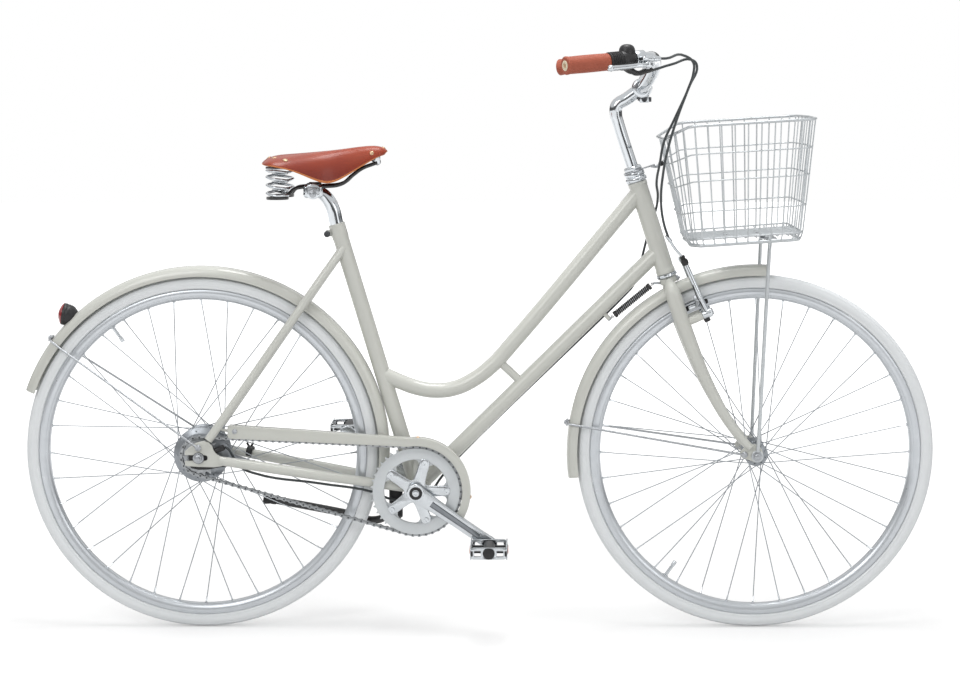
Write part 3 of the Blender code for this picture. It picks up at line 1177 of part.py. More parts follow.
def make_controls():
    plug = 0.0034
    steps = 10
    inner = bore(BAR_RADIUS + 0.0002, steps)
    for side, name, length in ((-1, "grip_right", GRIP_LENGTH), (1, "grip_left", LEFT_GRIP_LENGTH)):
        profile = [(0.0, -plug), (GRIP_RADIUS * 0.80, -plug), (GRIP_RADIUS * 1.06, 0.0),
                   (GRIP_RADIUS * 1.06, 0.0030)]
        profile += [(GRIP_RADIUS * r, length * share) for share, r in
                    ((0.10, 0.97), (0.35, 1.02), (0.65, 0.97), (0.93, 1.00))]
        profile += [(GRIP_RADIUS, length), (inner, length), (inner, -GAP), (0.0, -GAP)]
        finish(turned(profile, bar_end(side), -bar_course(side), steps, closed=False), name, GRIP_BROWN)
    twist = [(TWIST_RADIUS * 0.90, 0.0), (TWIST_RADIUS, 0.12), (TWIST_RADIUS * 0.95, 0.5),
             (TWIST_RADIUS * 0.99, 1.0)]
    start = GRIP_LENGTH + GAP
    finish(sleeve(-1, start, TWIST_LENGTH, twist), "twist_grip", RUBBER_BLACK)
    start += TWIST_LENGTH + GAP
    body = [(SHIFTER_RADIUS * 0.98, 0.0), (SHIFTER_RADIUS, 0.3), (SHIFTER_RADIUS * 0.9, 0.75),
            (SHIFTER_RADIUS * 0.80, 1.0)]
    shell = sleeve(-1, start, SHIFTER_LENGTH, body)
    course = bar_course(-1)
    middle = on_bar(-1, start + SHIFTER_LENGTH * 0.5)
    window = block(middle + Z * 0.0195, (0.0215, 0.020, 0.0140), course)
    snout = rod(middle + cable_side() * 0.013, shifter_snout(), 0.0048, 6, 0.0038)
    hole = rod(on_bar(-1, start - 0.002), on_bar(-1, start + SHIFTER_LENGTH + 0.020),
               bore(BAR_RADIUS + 0.0002, 12), 12)
    finish(cut(join([shell, window, snout]), [hole]), "shifter_body", PLASTIC_BLACK)


def lever_side():
    """The level direction away from the bar on which the brake lever sits."""
    course = bar_course(-1)
    return Vector((-course.y, course.x, 0)).normalized()


def cable_side():
    """The direction from the bar towards the shift cable's exit."""
    return (-lever_side() * 0.5 - Z * 0.87).normalized()


def shifter_snout():
    """Where the shift cable leaves the shifter."""
    middle = on_bar(-1, GRIP_LENGTH + TWIST_LENGTH + SHIFTER_LENGTH * 0.5 + 2 * GAP)
    return middle + cable_side() * 0.0250 - bar_course(-1) * 0.0200


def brake_barrel():
    """The inner and outer end of the barrel that the brake cable leaves."""
    start, centre = perch_place()
    course, out = bar_course(-1), lever_side()
    return centre + out * 0.0190 - course * 0.004, centre + out * 0.0185 - course * 0.034 - Z * 0.002


def perch_place():
    start = GRIP_LENGTH + TWIST_LENGTH + SHIFTER_LENGTH + 3 * GAP
    return start, on_bar(-1, start + PERCH_LENGTH / 2)


def lever_pivot():
    """The middle of the brake lever's pivot, in front of and a little below the bar."""
    start, centre = perch_place()
    return centre + lever_side() * LEVER_OFFSET - Z * 0.0100


def make_brake_lever():
    start, centre = perch_place()
    course, out = bar_course(-1), lever_side()
    ring = sleeve(-1, start, PERCH_LENGTH, [(PERCH_RADIUS, 0.0), (PERCH_RADIUS, 1.0)], 12)
    pivot = lever_pivot()
    bridge = block((centre + pivot) / 2 + out * 0.004 - Z * 0.001, (LEVER_OFFSET - 0.004, 0.0150, 0.0130), out)
    pin = rod(pivot - Z * 0.0070, pivot + Z * 0.0070, 0.0035, 8)
    inner, end = brake_barrel()
    barrel = rod(inner, end, 0.0060, 8, 0.0045)
    hole = rod(on_bar(-1, start - 0.004), on_bar(-1, start + PERCH_LENGTH + 0.02), bore(BAR_RADIUS + 0.0002, 12), 12)
    slot = rod(pivot - Z * 0.0046, pivot + Z * 0.0046, 0.0105, 12)
    perch = cut(join([ring, bridge, barrel]), [hole, slot])
    finish(join([perch, pin]), "brake_lever_perch", ALLOY)
    tip = pivot + course * LEVER_LENGTH + out * 0.014
    hub = rod(pivot - Z * 0.0041, pivot + Z * 0.0041, 0.0080, 12)
    blade = tube([(*pivot, 0.0038), (*pivot.lerp(tip, 0.35), 0.0040), (*pivot.lerp(tip, 0.7), 0.0042),
                  (*tip, 0.0046)], 0.0045, 1)
    hole = rod(pivot - Z * 0.0060, pivot + Z * 0.0060, bore(0.0035, 8), 8)
    finish(cut(join([hub, blade, ball(tip, 0.0062)]), [hole]), "brake_lever", ALLOY)


def brake_noodle_end():
    """Where the brake cable meets the guide on the near brake arm."""
    up = Vector((-BRAKE_AXIS.z, 0, BRAKE_AXIS.x))
    return brake_pivot(-1) + up * 0.1160 + BRAKE_AXIS * 0.003 + Y * 0.002


def make_cables():
    """Cable housings along their real routes, their points chosen by hand."""
    inner, end = brake_barrel()
    leave = (end - inner).normalized()
    brake = [end + leave * GAP, end + leave * 0.012, (0.3830, -0.150, 1.0962), (0.3975, -0.143, 1.0850),
             (0.3985, -0.140, 1.0660), (0.3885, -0.137, 1.0350), (0.3720, -0.134, 0.9900), (0.3530, -0.129, 0.9255),
             (0.3455, -0.112, 0.8785), (0.3435, -0.090, 0.8310), (0.3500, -0.068, 0.7880), (0.3610, -0.050, 0.7560),
             brake_noodle_end()]
    finish(tube(smooth(brake, 0.045), CABLE_RADIUS, 1), "front_brake_cable", RUBBER_BLACK)
    end = shifter_snout()
    middle = on_bar(-1, GRIP_LENGTH + TWIST_LENGTH + SHIFTER_LENGTH * 0.5 + 2 * GAP)
    leave = (end - middle - cable_side() * 0.013).normalized()
    under = DOWN_TUBE_RADIUS + CABLE_RADIUS + 0.0012
    tube_course = (steer(DOWN_JOINT) - BB).normalized()
    below = Vector((tube_course.z, 0, -tube_course.x))
    beside = below * under * 0.86 + Y * under * 0.54
    clip, low = down_tube_point(0.86) + beside, down_tube_point(0.14) + beside
    shift = [end + leave * GAP, end + leave * 0.010, (0.3600, -0.150, 1.0820), (0.3940, -0.130, 1.0900),
             (0.4060, -0.122, 1.0790), (0.3935, -0.121, 1.0437), (0.3650, -0.119, 0.9800), (0.3480, -0.112, 0.9420),
             (0.3415, -0.084, 0.9000), (0.3385, -0.034, 0.8600), (0.3430, 0.000, 0.8330),
             (0.3400, 0.026, 0.8030), (0.3290, 0.032, 0.7700), (0.3200, 0.029, 0.7350),
             clip + Vector((0.010, 0.010, 0.014)), clip]
    rest = [low, BB + tube_course * 0.045 + below * 0.0200 + Y * 0.007, BB + below * 0.0250 - Y * 0.006,
            step(BB, -0.012, -0.0262, -0.015), step(BB, -0.050, -0.0200, -0.0235),
            step(REAR, 0.3263, -0.0725, -0.0290), step(REAR, 0.2293, -0.0545, -0.0400),
            step(REAR, 0.1013, -0.0315, -0.0525), step(REAR, 0.0770, -0.0200, -0.0500),
            step(REAR, 0.0630, 0.0000, -0.0500), step(REAR, 0.0570, 0.0130, -0.0550),
            step(REAR, 0.0440, 0.0170, -0.0588) + Vector((0.0062, 0, 0.0024))]
    path = smooth(shift, 0.045) + smooth(rest, 0.070)
    finish(tube(path, CABLE_RADIUS, 1), "shift_cable", RUBBER_BLACK)


def make_damper_spring():
    """The coil with straight hooks that centres the steering, from the down tube to the fork crown."""
    low = step(BB, *DAMPER_TAB)
    high = steer(-0.0150, -CROWN_RADIUS) - X * 0.013
    course = (high - low).normalized()
    low = low + course * (0.0045 + DAMPER_WIRE + GAP)
    length = (high - low).length - DAMPER_WIRE - GAP
    side = course.cross(Y).normalized()
    hook = 0.010
    per_turn = 8
    body = length - 2 * hook
    points = [low, low + course * (hook - 0.003)]
    for k in range(DAMPER_TURNS * per_turn + 1):
        turn = 2 * pi * k / per_turn
        along = hook + body * k / (DAMPER_TURNS * per_turn)
        points.append(low + course * along + side * DAMPER_COIL_RADIUS * cos(turn)
                      + Y * DAMPER_COIL_RADIUS * sin(turn))
    points += [low + course * (length - hook + 0.003), low + course * length]
    report_gap("steering damper", points[2:-2], DAMPER_WIRE, per_turn)
    finish(tube([tuple(p) for p in points], DAMPER_WIRE, 1), "steering_spring", DARK_STEEL)


# Basket: stations round it from the middle of the rear to the middle of the front, bottom and rim
BASKET_STATIONS = [
    ((0.392, 0.000, 0.752), (0.347, 0.000, 0.944)), ((0.392, 0.092, 0.752), (0.347, 0.095, 0.944)),
    ((0.412, 0.128, 0.753), (0.392, 0.160, 0.969)), ((0.592, 0.140, 0.765), (0.603, 0.172, 0.981)),
    ((0.604, 0.128, 0.766), (0.622, 0.156, 0.982)), ((0.606, 0.000, 0.766), (0.626, 0.000, 0.983))]
BASKET_ROWS = 4
FLOOR_REAR, FLOOR_FRONT = 0.3995, 0.6002
FLOOR_LOW, FLOOR_RISE = 0.7550, 0.0654


def basket_point(place, level, side=-1):
    """A point of the basket wall: place counts stations, level runs from the bottom to the rim."""
    index = min(int(place), len(BASKET_STATIONS) - 2)
    part = place - index
    low_a, top_a = (Vector(p) for p in BASKET_STATIONS[index])
    low_b, top_b = (Vector(p) for p in BASKET_STATIONS[index + 1])
    point = low_a.lerp(low_b, part).lerp(top_a.lerp(top_b, part), level)
    return Vector((point.x, side * point.y, point.z))


def floor_height(x):
    """The middle of the basket's floor wires at a place along the bicycle."""
    return FLOOR_LOW + FLOOR_RISE * (x - FLOOR_REAR)


def lattice(columns, wire_x, wire_z, rim, folds=()):
    """A flat net in the unit square of X and Z, in pieces that are joined at the columns of its folds."""
    stops = [0, *folds, columns]
    bm = bmesh.new()
    for first, last in zip(stops, stops[1:]):
        loops = [[(first / columns, 0), (last / columns, 0), (last / columns, 1), (first / columns, 1)]]
        for column in range(first, last):
            left = max((column + wire_x) / columns, 2 * wire_x / columns)
            right = min((column + 1 - wire_x) / columns, 1 - 2 * wire_x / columns)
            for row in range(BASKET_ROWS):
                low = rim if row == 0 else row / BASKET_ROWS + wire_z
                high = 1 - rim if row == BASKET_ROWS - 1 else (row + 1) / BASKET_ROWS - wire_z
                loops.append([(left, low), (right, low), (right, high), (left, high)])
        piece = plate(loops, 2 * BASKET_WIRE, 0.0)
        bm.from_mesh(piece.data)
        bpy.data.objects.remove(piece, do_unlink=True)
    cuts = [fold / columns for fold in folds]
    seams = [face for face in bm.faces
             if any(all(abs(vert.co.x - cut) < 0.0001 for vert in face.verts) for cut in cuts)]
    bmesh.ops.delete(bm, geom=seams, context="FACES_ONLY")
    bmesh.ops.remove_doubles(bm, verts=bm.verts, dist=0.00001)
    return bm


def basket_panel(name, places, inward, folds=()):
    """A net bent to the basket's wall, its uprights at the given (place, side) pairs."""
    columns = len(places) - 1
    net = lattice(columns, 0.062, 0.0085, 0.026, folds)
    for vert in net.verts:
        along = min(max(vert.co.x, 0.0), 1.0) * columns
        index = min(int(along), columns - 1)
        (a, side_a), (b, side_b) = places[index], places[index + 1]
        start, end = basket_point(a, vert.co.z, side_a), basket_point(b, vert.co.z, side_b)
        depth = vert.co.y + BASKET_WIRE
        vert.co = start.lerp(end, along - index) + inward * depth
    net.normal_update()
    bmesh.ops.recalc_face_normals(net, faces=net.faces)
    finish(add_mesh(net), name, STEEL)


def make_basket():
    back = [(1.94, 1), (1.0, 1), (0.60, 1), (0.20, 1), (0.20, -1), (0.60, -1), (1.0, -1), (1.94, -1)]
    basket_panel("basket_back", back, X, (1, 6))
    front = [(3.15, 1), (4.0, 1), (4.40, 1), (4.80, 1), (4.80, -1), (4.40, -1), (4.0, -1), (3.15, -1)]
    basket_panel("basket_front", front, -X, (1, 6))
    for side, name in ((-1, "basket_right"), (1, "basket_left")):
        places = [(2.014 + 0.975 * k / 6, side) for k in range(7)]
        basket_panel(name, places, Y * -side)
    floor = lattice(5, 0.045, 0.0085, 0.020)
    for vert in floor.verts:
        x = FLOOR_REAR + (FLOOR_FRONT - FLOOR_REAR) * vert.co.z
        half = 0.098 + 0.0235 * vert.co.z
        vert.co = Vector((x, (vert.co.x * 2 - 1) * half, floor_height(x) + vert.co.y))
    floor.normal_update()
    bmesh.ops.recalc_face_normals(floor, faces=floor.faces)
    finish(add_mesh(floor), "basket_floor", STEEL)


def make_basket_carriers():
    """The rod from axle to axle end under the basket, and the plate at the headset."""
    face = FORK_INNER + FORK_END_THICKNESS + GAP
    cross_x = 0.5500
    under = floor_height(cross_x) - BASKET_WIRE - GAP - BASKET_ROD
    half = [Vector((FRONT.x, face + BASKET_ROD, FRONT.z + 0.0092)),
            Vector((FRONT.x + 0.002, face + 0.010, FRONT.z + 0.040)),
            Vector((cross_x - 0.003, 0.0790, under - 0.020)), Vector((cross_x, 0.0700, under)),
            Vector((cross_x, 0.0300, under))]
    path = [tuple(p) for p in half] + [(p.x, -p.y, p.z) for p in reversed(half)]
    rod_shape = tube(path, BASKET_ROD, 1)
    eyes = [rod(FRONT + Y * side * face, FRONT + Y * side * (face + 0.0027), 0.0115, 12) for side in (-1, 1)]
    holes = [rod(FRONT + Y * side * (face - 0.001), FRONT + Y * side * (face + 0.0065), bore(FRONT_AXLE_RADIUS, 10),
                 10) for side in (-1, 1)]
    finish(cut(join([rod_shape] + eyes), holes), "basket_stays", STEEL)
    low = HEAD_LENGTH + UPPER_STACK + GAP
    ring = rod(steer(low), steer(low + BRACKET_THICKNESS), 0.0195, 16)
    inner = steer(low + BRACKET_THICKNESS / 2, 0.014)
    outer = basket_point(0.0, 0.75, 1) - X * 0.0034
    arm = block(inner.lerp(steer(low + BRACKET_THICKNESS / 2, 0.040), 0.5),
                (0.030, 0.016, BRACKET_THICKNESS * 0.9), HEAD_FORWARD)
    bar = tube([tuple(steer(low + BRACKET_THICKNESS / 2, 0.034)), tuple(outer - X * 0.006), tuple(outer)], 0.0030, 1)
    hole = rod(steer(low - 0.001), steer(low + BRACKET_THICKNESS + 0.001), bore(STEERER_RADIUS, 16), 16)
    finish(cut(join([ring, arm, bar]), [hole]), "basket_bracket", STEEL)


def hang(name, place, direction, pieces, carrier=None):
    """An empty on a joint's axis, its local Z along it, that carries the pieces which move with it."""
    pivot = bpy.data.objects.new(name, None)
    pivot.empty_display_size = 0.03
    PARTS.objects.link(pivot)
    pivot.matrix_world = aim(place, direction)
    bpy.context.view_layer.update()
    carried = [bpy.data.objects[piece] for piece in pieces]
    if carrier:
        pivot.parent = carrier
        pivot.matrix_parent_inverse = carrier.matrix_world.inverted()
    for piece in carried:
        piece.parent = pivot
        piece.matrix_parent_inverse = pivot.matrix_world.inverted()
    return pivot


def place_joints():
    """Parent each moving piece to an empty on the axis it turns about or slides along."""
    steering = hang("steering", HEAD_LOW, HEAD_UP, [
        "fork", "headset_locknut", "stem", "handlebar", "grip_left", "grip_right", "shifter_body",
        "brake_lever_perch", "front_brake_cable", "front_mudguard", "front_mudguard_stay", "front_axle",
        "basket_back", "basket_front", "basket_left", "basket_right", "basket_floor", "basket_bracket",
        "basket_stays"])
    hang("front_wheel_spin", FRONT, Y, ["front_hub", "front_rim", "front_tyre"], steering)
    hang("twist_grip_turn", bar_end(-1), bar_course(-1), ["twist_grip"], steering)
    hang("brake_lever_pull", lever_pivot(), Z, ["brake_lever"], steering)
    hang("rear_wheel_spin", REAR, Y, ["rear_hub", "rear_rim", "rear_tyre"])
    hang("sprocket_spin", REAR, Y, ["rear_sprocket"])
    cranks = hang("crank_spin", BB, Y, ["crank_spindle", "crank_left", "crank_right", "chainring"])
    hang("kickstand_fold", step(BB, *STAND_PIVOT), STAND_AXIS, ["kickstand_leg", "kickstand_foot"])
    seat = hang("seat_post_slide", SEAT_TOP, SEAT_UP, [
        "seat_post", "saddle_clamp", "saddle_rails", "saddle_spring_left", "saddle_spring_right"])
    hang("saddle_sag", step(SEAT_TOP, *NOSE_PIECE), -Y, ["saddle_leather", "saddle_cantle_plate"], seat)
    for side, name in ((-1, "right"), (1, "left")):
        hang(f"pedal_{name}_spin", crank_eye(side), Y, [f"pedal_{name}"], cranks)
        hang(f"brake_arm_{name}_swing", brake_pivot(side), BRAKE_AXIS, [f"brake_arm_{name}"], steering)


def build():
    make_wheels()
    make_frame()
    make_headset()
    make_bottom_bracket()
    make_mudguards()
    make_mudguard_stays()
    make_rear_light()
    make_chain()
    make_chainring()
    make_sprocket()
    make_chain_guard()
    make_rear_axle()
    make_shift_unit()
    make_kickstand()
    make_seat_post()
    make_saddle_leather()
    make_saddle_frame()
    make_cantle()
    make_fork()
    make_front_axle()
    make_stem_and_bar()
    make_controls()
    make_brake_lever()
    make_cables()
    make_damper_spring()
    make_basket()
    make_basket_carriers()
    for side in (-1, 1):
        make_crank(side)
        make_pedal(side)
        make_brake_arm(side)
    place_joints()


build()
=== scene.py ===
"""The looks of the step-through bicycle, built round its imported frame.

Metres, and millimetres in the tables made by mm(). +X is forward, +Y is the rider's left and +Z is up,
with the ground at zero.
"""
from math import asin, atan2, cos, pi, radians, sin

import bpy
from mathutils import Matrix, Vector


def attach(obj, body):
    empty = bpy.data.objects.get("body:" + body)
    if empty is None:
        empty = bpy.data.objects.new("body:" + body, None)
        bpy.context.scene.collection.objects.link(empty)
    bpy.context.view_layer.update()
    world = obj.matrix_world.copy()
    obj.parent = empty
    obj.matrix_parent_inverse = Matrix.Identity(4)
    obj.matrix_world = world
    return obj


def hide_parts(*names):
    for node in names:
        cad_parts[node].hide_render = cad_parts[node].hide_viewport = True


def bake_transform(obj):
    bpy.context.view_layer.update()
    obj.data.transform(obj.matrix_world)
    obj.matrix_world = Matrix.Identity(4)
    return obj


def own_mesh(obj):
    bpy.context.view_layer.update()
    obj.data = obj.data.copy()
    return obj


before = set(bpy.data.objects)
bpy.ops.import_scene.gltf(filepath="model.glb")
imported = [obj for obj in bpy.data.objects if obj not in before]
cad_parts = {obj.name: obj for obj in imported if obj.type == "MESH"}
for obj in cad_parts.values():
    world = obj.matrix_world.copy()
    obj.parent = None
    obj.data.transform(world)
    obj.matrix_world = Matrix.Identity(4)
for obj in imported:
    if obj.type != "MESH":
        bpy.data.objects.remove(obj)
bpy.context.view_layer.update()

# Main points and driving sizes, as in the frame
X, Y, Z = Vector((1, 0, 0)), Vector((0, 1, 0)), Vector((0, 0, 1))
TYRE_RADIUS = 0.342
RIM_INNER = 0.2965
REAR = Vector((-0.53125, 0, TYRE_RADIUS))
FRONT = Vector((0.53125, 0, TYRE_RADIUS))
CRANKS = Vector((-0.118, 0, 0.274))
HEAD = Vector((0.3594, 0, 0.6871))
HEAD_UP = Vector((-0.307024, 0, 0.951702))
HEAD_AHEAD = Vector((0.951702, 0, 0.307024))
HEAD_LENGTH = 0.1824
SEAT_UP = Vector((-0.28435, 0, 0.958721))
SEAT_TOP = Vector((-0.26899, 0, 0.783081))
SPOKE_COUNT = 36
SPOKE_CROSSINGS = 3
PITCH = 0.0127  # from pin to pin of the chain
RING_TEETH, SPROCKET_TEETH, LINKS = 42, 18, 96
RING_RADIUS = PITCH / (2 * sin(pi / RING_TEETH))
SPROCKET_RADIUS = PITCH / (2 * sin(pi / SPROCKET_TEETH))
CHAIN_LINE = -0.0465
CRANK_LENGTH = 0.17
CRANK_ANGLE = radians(-34.7)
BRAKE_AXIS = Vector((0.916433, 0, 0.400189))
BRAKE_UP = Vector((-0.400189, 0, 0.916433))
DROPOUT_FACE, FORK_FACE = 0.0703, 0.0553  # outer faces of the plates that hold the axles, with their gap
CUP_HEIGHT, BRACKET_SHEET, GAP = 0.0195, 0.0025, 0.0003
SIDES = ((-1, "right"), (1, "left"))


def step(base, x, z, y=0.0):
    """The point x forward, z up and y to the left of a main point."""
    return base + Vector((x, y, z))


def steer(rise, forward=0.0, y=0.0):
    """A point given by its height along the steering axis and its distance in front of it."""
    return HEAD + HEAD_UP * rise + HEAD_AHEAD * forward + Y * y


def ray(angle):
    """A direction in the bicycle's middle plane."""
    return Vector((cos(angle), 0, sin(angle)))


def aim(origin, direction):
    """A placing matrix: local Z runs along the direction and local Y stays near world Y where it can."""
    up = Vector(direction).normalized()
    across = (Y.cross(up) if abs(up.y) < 0.9 else X - up * up.x).normalized()
    placed = Matrix((across, up.cross(across), up)).transposed().to_4x4()
    placed.translation = origin
    return placed


# The studio

def set_camera():
    """The photograph's own viewpoint: square to the chain side, a little above the saddle."""
    lens = bpy.data.cameras.new("studio_camera")
    lens.lens = 84.684
    lens.sensor_width = 36.0
    lens.clip_end = 60.0
    eye = bpy.data.objects.new("studio_camera", lens)
    bpy.context.scene.collection.objects.link(eye)
    turn = (Matrix.Rotation(0.01848, 4, "Z") @ Matrix.Rotation(pi / 2 - 0.11662, 4, "X")
            @ Matrix.Rotation(-0.00383, 4, "Z"))
    eye.matrix_world = Matrix.Translation((0.08345, -4.3, 1.0581)) @ turn
    bpy.context.scene.camera = eye


def add_lamp(name, place, target, size, power):
    """A square area lamp turned to its target."""
    lamp = bpy.data.lights.new(name, "AREA")
    lamp.shape = "SQUARE"
    lamp.size = size
    lamp.energy = power
    holder = bpy.data.objects.new(name, lamp)
    bpy.context.scene.collection.objects.link(holder)
    holder.location = place
    holder.rotation_euler = (Vector(target) - Vector(place)).to_track_quat("-Z", "Y").to_euler()


def join_sockets(links, *sockets):
    """Link sockets in pairs: out, in, out, in."""
    for start, end in zip(sockets[::2], sockets[1::2]):
        links.new(start, end)


def math_node(nodes, operation, first=None, second=None):
    """A math node with its fixed values."""
    node = nodes.new("ShaderNodeMath")
    node.operation = operation
    for socket, value in zip(node.inputs, (first, second)):
        if value is not None:
            socket.default_value = value
    return node


def set_light():
    """Even light from all round, a soft lamp overhead and two that round the tubes."""
    world = bpy.data.worlds.new("studio")
    bpy.context.scene.world = world
    world.use_nodes = True
    nodes, links = world.node_tree.nodes, world.node_tree.links
    nodes.clear()
    out = nodes.new("ShaderNodeOutputWorld")
    room, white, mirror = (nodes.new("ShaderNodeBackground") for _ in range(3))
    for background, strength in ((room, 0.62), (white, 1.0), (mirror, 1.0)):
        background.inputs["Color"].default_value = (1.0, 1.0, 1.0, 1.0)
        background.inputs["Strength"].default_value = strength
    # Polished metal sees a white room with the dark half of the studio behind the camera.
    coords, split = nodes.new("ShaderNodeTexCoord"), nodes.new("ShaderNodeSeparateXYZ")
    bands, height = nodes.new("ShaderNodeValToRGB"), nodes.new("ShaderNodeMapRange")
    bands.color_ramp.elements[0].color = (0.62, 0.62, 0.62, 1)
    for place, level in ((0.42, 0.74), (0.465, 0.16), (0.555, 0.12), (0.62, 0.9)):
        spot = bands.color_ramp.elements.new(place)
        spot.color = (level, level, level, 1)
    height.inputs["From Min"].default_value = -1.0
    path = nodes.new("ShaderNodeLightPath")
    seen = math_node(nodes, "MAXIMUM")
    first, second = nodes.new("ShaderNodeMixShader"), nodes.new("ShaderNodeMixShader")
    join_sockets(links, path.outputs["Is Camera Ray"], seen.inputs[0], path.outputs["Is Transmission Ray"],
                 seen.inputs[1], coords.outputs["Generated"], split.inputs[0], split.outputs["Z"],
                 height.inputs["Value"], height.outputs[0], bands.inputs["Fac"], bands.outputs["Color"],
                 mirror.inputs["Color"], path.outputs["Is Glossy Ray"], first.inputs["Fac"], room.outputs[0],
                 first.inputs[1], mirror.outputs[0], first.inputs[2], seen.outputs[0], second.inputs["Fac"],
                 first.outputs[0], second.inputs[1], white.outputs[0], second.inputs[2], second.outputs[0],
                 out.inputs["Surface"])
    add_lamp("overhead_lamp", (0.1, -0.1, 3.2), (0.1, 0, 0), 1.3, 42)
    add_lamp("key_lamp", (-1.7, -3.0, 2.7), (0, 0, 0.5), 1.5, 30)
    add_lamp("fill_lamp", (2.6, -2.6, 1.5), (0.1, 0, 0.5), 1.6, 12)


def set_floor():
    """A seamless white floor that keeps the wheels' soft shadows and brightens away from them."""
    bpy.ops.object.select_all(action="DESELECT")
    bpy.ops.mesh.primitive_plane_add(size=30.0, location=(0, 0, -0.0004))
    floor = bpy.context.object
    floor.name = "studio_floor"
    paper = bpy.data.materials.new("studio_paper")
    paper.use_nodes = True
    nodes, links = paper.node_tree.nodes, paper.node_tree.links
    shader = nodes["Principled BSDF"]
    shader.inputs["Base Color"].default_value = (0.7, 0.7, 0.7, 1)
    shader.inputs["Roughness"].default_value = 0.9
    shader.inputs["Specular IOR Level"].default_value = 0.0
    coords, distance = nodes.new("ShaderNodeTexCoord"), nodes.new("ShaderNodeVectorMath")
    distance.operation = "LENGTH"
    spread = nodes.new("ShaderNodeMapRange")
    for label, value in (("From Min", 0.9), ("From Max", 3.2), ("To Min", 0.34), ("To Max", 0.95)):
        spread.inputs[label].default_value = value
    glow, path = nodes.new("ShaderNodeEmission"), nodes.new("ShaderNodeLightPath")
    seen, strength = math_node(nodes, "MAXIMUM"), math_node(nodes, "MULTIPLY")
    add = nodes.new("ShaderNodeAddShader")
    join_sockets(links, path.outputs["Is Camera Ray"], seen.inputs[0], path.outputs["Is Glossy Ray"],
                 seen.inputs[1], coords.outputs["Object"], distance.inputs[0], distance.outputs["Value"],
                 spread.inputs["Value"], seen.outputs[0], strength.inputs[0], spread.outputs[0],
                 strength.inputs[1], strength.outputs[0], glow.inputs["Strength"], shader.outputs[0],
                 add.inputs[0], glow.outputs[0], add.inputs[1], add.outputs[0],
                 nodes["Material Output"].inputs["Surface"])
    floor.data.materials.append(paper)


# Finishes

def make_mottle():
    """Soft clouds and fine specks that move a colour, its roughness and its height a little."""
    group = bpy.data.node_groups.new("mottled_surface", "ShaderNodeTree")
    for label, kind, value in (
        ("Place", "NodeSocketVector", None), ("Scale", "NodeSocketFloat", 40.0),
        ("Colour", "NodeSocketColor", (0.5, 0.5, 0.5, 1)),
        ("Second Colour", "NodeSocketColor", (0.4, 0.4, 0.4, 1)), ("Roughness", "NodeSocketFloat", 0.4),
        ("Spread", "NodeSocketFloat", 0.1)):
        socket = group.interface.new_socket(label, in_out="INPUT", socket_type=kind)
        if value is not None:
            socket.default_value = value
    for label, kind in (("Colour", "NodeSocketColor"), ("Roughness", "NodeSocketFloat"),
                        ("Height", "NodeSocketFloat")):
        group.interface.new_socket(label, in_out="OUTPUT", socket_type=kind)
    nodes, links = group.nodes, group.links
    entry, leave = nodes.new("NodeGroupInput"), nodes.new("NodeGroupOutput")
    cloud, speck = nodes.new("ShaderNodeTexNoise"), nodes.new("ShaderNodeTexNoise")
    cloud.inputs["Detail"].default_value = 5.0
    speck.inputs["Detail"].default_value = 2.0
    fine = math_node(nodes, "MULTIPLY", None, 14.0)
    mix = nodes.new("ShaderNodeMix")
    mix.data_type = "RGBA"
    centre = math_node(nodes, "SUBTRACT", None, 0.5)
    lift = math_node(nodes, "MULTIPLY_ADD")
    join_sockets(links, entry.outputs["Place"], cloud.inputs["Vector"], entry.outputs["Scale"],
                 cloud.inputs["Scale"], entry.outputs["Place"], speck.inputs["Vector"],
                 entry.outputs["Scale"], fine.inputs[0], fine.outputs[0], speck.inputs["Scale"],
                 cloud.outputs["Fac"], mix.inputs["Factor"], entry.outputs["Colour"], mix.inputs["A"],
                 entry.outputs["Second Colour"], mix.inputs["B"], cloud.outputs["Fac"], centre.inputs[0],
                 centre.outputs[0], lift.inputs[0], entry.outputs["Spread"], lift.inputs[1],
                 entry.outputs["Roughness"], lift.inputs[2], mix.outputs["Result"], leave.inputs["Colour"],
                 lift.outputs[0], leave.inputs["Roughness"], speck.outputs["Fac"], leave.inputs["Height"])
    return group


MOTTLE = make_mottle()


def linear(*shade):
    """A screen colour of 0 to 255 as the renderer counts it."""
    return tuple((c / 255 / 12.92) if c <= 10 else ((c / 255 + 0.055) / 1.055) ** 2.4 for c in shade) + (1.0,)


def new_finish(name, colour, second, roughness, spread, scale, bump, metallic=0.0, coat=0.0):
    """A material whose colour, gloss and surface vary over the piece."""
    made = bpy.data.materials.new(name)
    made.use_nodes = True
    nodes, links = made.node_tree.nodes, made.node_tree.links
    shader = nodes["Principled BSDF"]
    shader.inputs["Metallic"].default_value = metallic
    if coat:
        shader.inputs["Coat Weight"].default_value = coat
        shader.inputs["Coat Roughness"].default_value = 0.06
    coords = nodes.new("ShaderNodeTexCoord")
    mottle = nodes.new("ShaderNodeGroup")
    mottle.node_tree = MOTTLE
    mottle.name = "surface"
    mottle.inputs["Scale"].default_value = scale
    mottle.inputs["Colour"].default_value = linear(*colour)
    mottle.inputs["Second Colour"].default_value = linear(*second)
    mottle.inputs["Roughness"].default_value = roughness
    mottle.inputs["Spread"].default_value = spread
    raised = nodes.new("ShaderNodeBump")
    raised.name = "raised"
    raised.inputs["Strength"].default_value = bump
    raised.inputs["Distance"].default_value = 0.0004
    join_sockets(links, coords.outputs["Object"], mottle.inputs["Place"], mottle.outputs["Colour"],
                 shader.inputs["Base Color"], mottle.outputs["Roughness"], shader.inputs["Roughness"],
                 mottle.outputs["Height"], raised.inputs["Height"], raised.outputs[0],
                 shader.inputs["Normal"])
    return made


